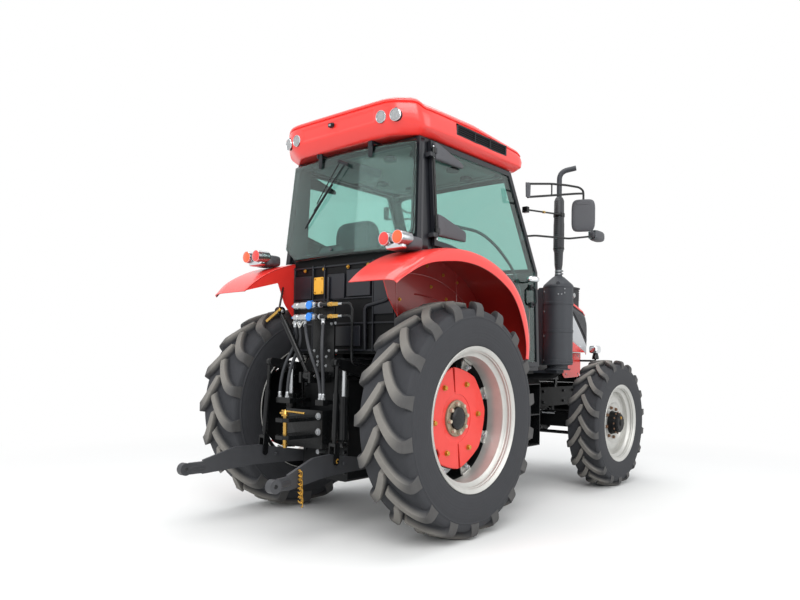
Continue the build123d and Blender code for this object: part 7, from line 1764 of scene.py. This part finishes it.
class TRACTOR_OT_chassis(bpy.types.Operator):
    """Rounds the castings and bars, and bolts, ribs and pipes the engine, gearbox and axles."""

    bl_idname = "tractor.chassis"
    bl_label = "Finish chassis"

    def execute(self, context):
        for rows, material in ((CASTINGS, "black_cast_enamel"), (BARS, "black_gloss_enamel")):
            for name, body, edge in rows:
                eased(name, material, edge, body)
        # The lower links take the lighter link enamel: painted reflection with real scuffs
        for side in ("left", "right"):
            eased(f"lower_link_{side}", "scuffed_and_sheen_link_enamel", 2, "lower_links")
        eased("pto_shaft", "clear_zinc_plate", 1)
        eased("front_drive_shaft", "black_gloss_enamel", 2)
        eased("lift_cylinder_rods", "polished_rod_chrome", 1, "lift_cylinder_rods")
        ribs, heads, plated = Shape(), Shape(), Shape()
        bolt, small = hex_head(24, 13, 20), hex_head(15, 8, 13)
        for side in (1, -1):
            heads.scatter(bolt, ring_of(12, 163, (0, side * 265, REAR_AXLE_Z), Y, 15), (0, side, 0))
            for angle in np.radians([20, 90, 160, 200, 270, 340]):
                out = np.array((np.cos(angle), 0, np.sin(angle)))
                root = np.array((0, side * 264, REAR_AXLE_Z)) + out * 146
                tip = np.array((0, side * 560, REAR_AXLE_Z)) + out * 116
                ribs.plate([(0, 0), (28, 0), (6, 1), (0, 1)], root, out, tip - root, 10)
            for station in np.linspace(-395, 295, 9):
                heads.scatter(bolt, [(station, side * 206, 1124)] if station < 140
                              else [(station, side * 236, 1060)], (0, side, 0))
            for level in np.linspace(700, 960, 4):
                heads.scatter(bolt, [(360, side * 206, level)], (0, side, 0))
            for station in (520, 700, 880, 1240, 1400):
                ribs.side_block(side, (station, 188, 690), (station + 12, 200, 950))
                heads.scatter(bolt, [(station + 60, side * 190, 965), (station + 60, side * 190, 668)],
                              (0, side, 0))
            for station in (1560, 1760, 2000, 2300, 2460, 2900, 3120, 3250):
                heads.scatter(bolt, [(station, side * 225, 915), (station, side * 225, 805)], (0, side, 0))
            heads.scatter(bolt, ring_of(8, 128, (FRONT_AXLE_X, side * 120, FRONT_AXLE_Z), Y), (0, side, 0))
            ribs.plate([(0, -30), (0, 30), (1, 12), (1, -12)], (FRONT_AXLE_X, side * 118, 697),
                       (0, side * 420, 0), X, 16)
            ribs.turned([(0, 66), (30, 62), (44, 54), (46, 0)], (FRONT_AXLE_X, side * 574, 740),
                        (0, -side, 0), 28)
        for level in (420, 560, 700, 840, 1040):
            heads.scatter(bolt, [(-430, y, level) for y in (-205, 205)], (-1, 0, 0))
        spots = ((-126, 1226), (126, 1226), (0, 1226), (-126, 1130), (126, 1130))
        heads.scatter(small, [(-430, y, z) for y, z in spots], (-1, 0, 0))
        # The cover plate and the guard over the power take-off, its cap, and the drain plugs
        ribs.plate(rounded([(-120, 0), (120, 0), (120, 210), (-120, 210)], 24), (-434, 0, 450), Y, Z, -8)
        ribs.turned([(-434, 62), (-452, 62), (-456, 58), (-456, 34), (-440, 30)], (0, 0, 555), X, 36)
        ribs.block((-520, -110, 660), (-432, 110, 667)).block((-520, -110, 600), (-514, -104, 667))
        plated.scatter(small, [(-443, y, z) for y in (-98, 98) for z in (470, 640)], (-1, 0, 0))
        plated.scatter(hex_head(30, 14, 24), [(-200, 0, 350), (100, 0, 350)], (0, 0, -1))
        spots = ((106, 1293), (-50, 1293), (-126, 1293), (73, 1248), (-22, 1249), (67, 1213), (72, 1187),
                 (-20, 1182), (-185, 1330), (-73, 1489), (-114, 1493))
        plated.scatter(hex_head(13, 8, 11), [(-448 if abs(y) < 128 else -431, y, z) for y, z in spots
                                             if z < 1240 or abs(y) < 128], (-1, 0, 0))
        # Engine: head cover, sump, side covers, pulleys and belt, filters, starter and pipes
        ribs.block((1560, -120, 1500), (2360, 120, 1580)).block((1580, -150, 640), (2380, 150, 722))
        for station in np.linspace(1620, 2300, 5):
            ribs.rod((station, -70, 1578), (station, -70, 1592), 22, 20)
        for side in (1, -1):
            for station in (1560, 1790, 2020):
                ribs.side_block(side, (station, 184, 1080), (station + 190, 196, 1260))
                plated.scatter(small, [(station + dx, side * 196, z) for dx in (18, 172) for z in (1098, 1242)],
                               (0, side, 0))
            ribs.tube(rounded([(1600, side * 226, 1400), (2380, side * 226, 1400), (2420, side * 200, 1300),
                               (2420, side * 200, 1050)], 40), 30, 20)
        for y, z, radius in ((0, 860, 92), (-110, 1120, 48), (0, 1180, 66), (95, 1010, 40)):
            ribs.turned([(2440, 0), (2440, radius), (2452, radius), (2455, radius * 0.86),
                         (2464, radius * 0.86), (2467, radius), (2474, radius), (2478, radius * 0.4),
                         (2478, 0)], (0, y, z), X, 40)
        ribs.block((2490, -280, 1060), (2590, 280, 1640)).block((2486, -296, 1052), (2594, 296, 1072))
        ribs.block((2486, -296, 1630), (2594, 296, 1650))
        ribs.rod((1700, 300, 1120), (1700, 300, 1290), 46, 32, 8)
        ribs.rod((1840, 300, 1120), (1840, 300, 1290), 46, 32, 8)
        ribs.block((1660, 190, 1285), (1880, 330, 1310))
        ribs.rod((1540, -262, 880), (1800, -262, 880), 48, 32, 8)
        ribs.rod((1620, -262, 960), (1760, -262, 960), 26, 24, 6)
        ribs.tube(rounded([(2420, -120, 1480), (2470, -160, 1560), (2500, -220, 1580)], 30), 24, 18)
        ribs.tube(rounded([(1880, -190, 1100), (1900, -300, 1100), (1915, -620, 1110), (1920, -660, 1150)], 60),
                  44, 24)
        piece("engine_and_axle_details", ribs, "black_cast_enamel", bevel=2)
        piece("chassis_bolts", heads, "black_gloss_enamel")
        belt = Shape().tube(rounded([(2459, -92, 860), (2459, -158, 1120), (2459, 0, 1246), (2459, 92, 860),
                                     (2459, 0, 768)], 60, 8, closed=True), 5, 8)
        piece("fan_belt", belt, "black_seal_rubber")
        # Pipes along the frame, and a plated bolt on each side
        pipes = Shape()
        for y, z, reach in ((-232, 790, 1100), (-232, 772, 900), (232, 790, 1000)):
            pipes.tube(rounded([(1540, y, z), (1540 + reach * 0.6, y, z), (1600 + reach * 0.6, y, z - 60),
                                (1540 + reach, y * 0.6, z - 70)], 40), 6, 10)
        pipes.tube(rounded([(1480, -215, 700), (1640, -240, 690), (2300, -236, 640)], 60), 9, 12)
        piece("frame_pipes", pipes, "clear_zinc_plate")
        plated.scatter(small, [(1690, side * 226, 905) for side in (1, -1)], Y)
        # Steering ram behind the front axle and its rod
        ram = Shape().rod((2520, -180, 700), (2520, 180, 700), 30, 28, 4)
        piece("steering_cylinder", ram, "black_gloss_enamel")
        rod = Shape().rod((2520, -330, 700), (2520, 330, 700), 14, 20)
        piece("steering_cylinder_rod", rod, "polished_rod_chrome")
        # Tank: straps and cap; battery box: lid, latch and louvres; steps: punched treads
        trim, grips = Shape(), Shape()
        for station in (1010, 1330):
            trim.plate(rounded([(238, 546), (594, 546), (594, 1099), (238, 1099)], 24, 5, closed=True),
                       (station, 0, 0), Y, Z, 34)
        trim.turned([(0, 44), (26, 44), (32, 38), (32, 0)], (1180, 430, 1094), Z, 28)
        trim.block((930, -594, 1040), (1444, -236, 1099)).block((1150, -600, 1010), (1220, -590, 1060))
        for level in np.linspace(640, 940, 7):
            trim.block((1000, -597, level), (1380, -589, level + 14))
        piece("tank_and_box_trim", trim, "black_gloss_enamel", bevel=2)
        for side in (1, -1):
            for level in (519.5, 779.5, 1036.5):
                studs = Shape().turned([(0, 7), (3.5, 6), (3.5, 0)], (0, 0, 0), Z, 10)
                spots = np.meshgrid(np.linspace(1015, 1315, 11), side * np.linspace(625, 780, 6), [level])
                grips.scatter(studs, np.stack(spots, axis=-1).reshape(-1, 3), Z)
        piece("step_studs", grips, "black_gloss_enamel")
        piece("plated_bolts", plated, "clear_zinc_plate")
        return {"FINISHED"}


# ---------------------------------------------------------------- hitch
LINK_PIVOT, LINK_EYE = np.array((-280.0, 300.0, 480.0)), np.array((-1299.0, 472.0, 467.0))
COUPLER_X = -600
class TRACTOR_OT_hitch(bpy.types.Operator):
    """Adds the hitch's couplers, caps, pipes, pins, handles, chain and cable."""

    bl_idname = "tractor.hitch"
    bl_label = "Finish hitch"

    def execute(self, context):
        silver, brass, blue, dark = Shape(), Shape(), Shape(), Shape()
        for row, station, crest in ((1531, -70, 1199), (1615, -25, 1235)):
            axis = (COUPLER_X, 0, row)
            silver.turned([(165, 0), (165, 17), (150, 19), (148, 25), (112, 26), (108, 21), (84, 21), (80, 26),
                           (20, 26), (14, 22), (-20, 22), (-24, 26), (-60, 25), (-64, 19), (-78, 19), (-80, 0)],
                          axis, Y, 32)
            silver.turned([(-108, 9), (-108, 20), (-116, 22), (-124, 20), (-124, 9)], axis, Y, 24)
            blue.rod((COUPLER_X, 163, row), (COUPLER_X, 186, row), 8, 16, 3)
            blue.turned([(0, 0), (0, 26), (4, 30), (12, 30), (15, 26), (15, 0)], (-624, -30, row),
                        (-1, 0, 0), 36)
            blue.tube(rounded([(-618, -30, row + 26), (-600, -30, row + 33), (-590, -30, row + 24)], 6),
                      3.5, 10)
            dark.rod((COUPLER_X, -82, row), (COUPLER_X, -200, row), 12, 18)
            brass.turned([(-198, 8), (-198, 15), (-206, 16), (-206, 16.5), (-236, 16.5), (-236, 14), (-292, 14),
                          (-298, 10), (-298, 8)], axis, Y, 6)
            brass.turned([(-206, 15), (-210, 17.5), (-230, 17.5), (-234, 15)], axis, Y, 30)
            silver.rod((COUPLER_X, -296, row), (COUPLER_X, -336, row), 9, 18)
            line = rounded([(COUPLER_X, -331, row), (COUPLER_X, -430, row), (COUPLER_X, -430, crest),
                            (station, -430, crest), (station, -430, 950)], 45, 8)
            dark.tube(line, 9, 14)
            dark.turned([(948, 9), (948, 20), (966, 20), (972, 12)], (station, -430, 0), Z, 24)
        piece("coupler_bodies", silver, "clear_zinc_plate", replaces=("hydraulic_couplers",))
        piece("coupler_caps", blue, "blue_cap_plastic")
        piece("return_pipe_runs", dark, "black_gloss_enamel", replaces=("return_pipes",))
        # White straps of the caps, under the lower coupler
        strap = Shape().tube(rounded([(-602, 158, 1512), (-606, 176, 1490), (-604, 150, 1478),
                                      (-602, 122, 1500)], 14), 3, 10)
        strap.tube(rounded([(-628, 96, 1496), (-640, 60, 1452), (-640, 20, 1500)], 12), 5, 10)
        piece("cap_straps", strap, "silver_wheel_enamel")
        # Top link: grip, pins and clips; tow pin with its cross handle; bolts on the tow plate
        brass.rod((-640, 268, 1598), (-668, 395, 1508), 12, 20, 3)
        brass.turned([(612, 0), (612, 12), (616, 15), (834, 15), (834, 27), (844, 28), (846, 20), (868, 14),
                      (876, 8), (880, 0)], (-812, 0, 0), Z, 28)
        brass.rod((-812, 34, 868), (-812, -196, 862), 7.5, 16, 2)
        brass.rod((-812, 52, 850), (-812, -18, 856), 9, 16, 2)
        brass.rod((-838, 0, 636), (-786, 0, 636), 3.5, 10)
        piece("brass_fittings", brass, "turned_brass", replaces=("tow_pin",))
        fixed, moving = Shape(), Shape()
        fixed.scatter(hex_head(30, 14, 26), [(-640, -150, z) for z in (720, 830)], (-1, 0, 0))
        fixed.rod((-620, 266, 1582), (-620, 336, 1582), 12, 20, 2)
        fixed.rod((-600, -67, 1110), (-600, 67, 1110), 12, 20, 2)
        for y in (-176, -146, 205, 289):
            fixed.turned([(946, 0), (946, 17), (958, 17), (960, 14), (962, 0)], (-620, y, 0), Z, 6)
        piece("hitch_fixed_pins", fixed, "clear_zinc_plate")
        ends, edges = Shape(), Shape()
        heading = unit((LINK_EYE - LINK_PIVOT) * (1, 1, 0))
        for side in (1, -1):
            hand = np.array((1, side, 1))
            pivot, eye = LINK_PIVOT * hand, LINK_EYE * hand
            moving.turned([(-24, 19), (-24, 34), (-14, 36), (14, 36), (24, 34), (24, 19), (14, 18), (-14, 18)],
                          eye, Y, 36, closed=True)
            run = (eye - pivot) / 1033
            ends.turned([(-13, 34), (-13, 40), (-10, 42.5), (10, 42.5), (13, 40), (13, 34)],
                        eye, Y, 40, closed=True)
            ends.plate([(770, -30), (830, -40), (1002, -40), (1002, 40), (830, 42), (770, 34)],
                       pivot - np.cross(run, Z) * 11, run, Z, 22)
            turn = heading * hand
            edges.rod(pivot + turn * 560 + (0, 0, 62), pivot + turn * 900 + (0, 0, 26), 4, 10)
            eye = pivot + turn * 330
            edges.rod(eye + (0, -26, 40), eye + (0, 26, 40), 13, 20, 2)
        piece("link_end_balls", moving, "worn_hub_steel", "lower_links")
        # The link plates and ribs take the same lighter enamel: painted reflection with real scuffs
        piece("link_end_plates", ends, "scuffed_and_sheen_link_enamel", "lower_links", bevel=2)
        piece("link_ribs", edges, "scuffed_and_sheen_link_enamel", "lower_links")
        # Chain looped over the right link: two hanging strands of flat oval links
        links, ring = Shape(), Shape().tube(rounded([(-10, 0, -18), (10, 0, -18), (10, 0, 18), (-10, 0, 18)],
                                                    9.5, 6, closed=True), 3.2, 8)
        root = (LINK_PIVOT + heading * 800) * (1, -1, 1)
        for out, count, first in ((30, 8, 34), (17, 7, 40)):
            for index in range(count):
                links.scatter(ring, [root + (index % 2 * 5 - 8, -out - index * 1.5, first - index * 27)], Z,
                              spin=np.pi / 2 * (index % 2) + 0.5)
        piece("link_chain", links, "yellow_zinc_plate", "lower_links")
        hook = Shape().tube(rounded([(-690, 392, 560), (-704, 410, 566), (-716, 396, 548), (-702, 392, 530)],
                                    10, closed=True), 3, 8)
        hook.tube(rounded([(-690, -404, 560), (-704, -412, 566), (-716, -408, 548), (-702, -404, 530)], 10,
                          closed=True), 3, 8)
        piece("rod_clips", hook, "yellow_zinc_plate", "lift_rods")
        # A control cable beside the left lift rod
        cable = Shape().tube(rounded([(-448, 150, 1240), (-470, 215, 1120), (-452, 225, 900), (-440, 200, 700)],
                                     60, 8), 5, 10)
        piece("depth_cable", cable, "black_seal_rubber")
        return {"FINISHED"}


# ---------------------------------------------------------------- the add-on
STEPS = (TRACTOR_OT_finishes, TRACTOR_OT_stage, TRACTOR_OT_hoses, TRACTOR_OT_tyres, TRACTOR_OT_wheels,
         TRACTOR_OT_roof, TRACTOR_OT_fenders, TRACTOR_OT_cab, TRACTOR_OT_interior, TRACTOR_OT_hood,
         TRACTOR_OT_lower_panels, TRACTOR_OT_exhaust, TRACTOR_OT_mirrors, TRACTOR_OT_lamps,
         TRACTOR_OT_chassis, TRACTOR_OT_hitch)


class TRACTOR_PT_panel(bpy.types.Panel):
    """Lists the tractor's settings and its steps."""

    bl_idname = "TRACTOR_PT_panel"
    bl_label = "Farm tractor finish"
    bl_space_type = "VIEW_3D"
    bl_region_type = "UI"
    bl_category = "Tractor"

    def draw(self, context):
        for group, names in ((context.scene.tractor_paint, ("body", "wheel", "glass")),
                             (context.scene.tractor_sizes, ("lugs", "rear_lug", "front_lug", "floor"))):
            for name in names:
                self.layout.prop(group, name)
        for step in STEPS:
            self.layout.operator(step.bl_idname)


CLASSES = (TractorPaint, TractorSizes, *STEPS, TRACTOR_PT_panel)


def register():
    for kind in CLASSES:
        bpy.utils.register_class(kind)
    bpy.types.Scene.tractor_paint = PointerProperty(type=TractorPaint)
    bpy.types.Scene.tractor_sizes = PointerProperty(type=TractorSizes)


def unregister():
    del bpy.types.Scene.tractor_sizes
    del bpy.types.Scene.tractor_paint
    for kind in reversed(CLASSES):
        bpy.utils.unregister_class(kind)


def main():
    register()
    for step in STEPS:
        getattr(bpy.ops.tractor, step.bl_idname.split(".")[1])()


if __name__ == "__main__":
    main()
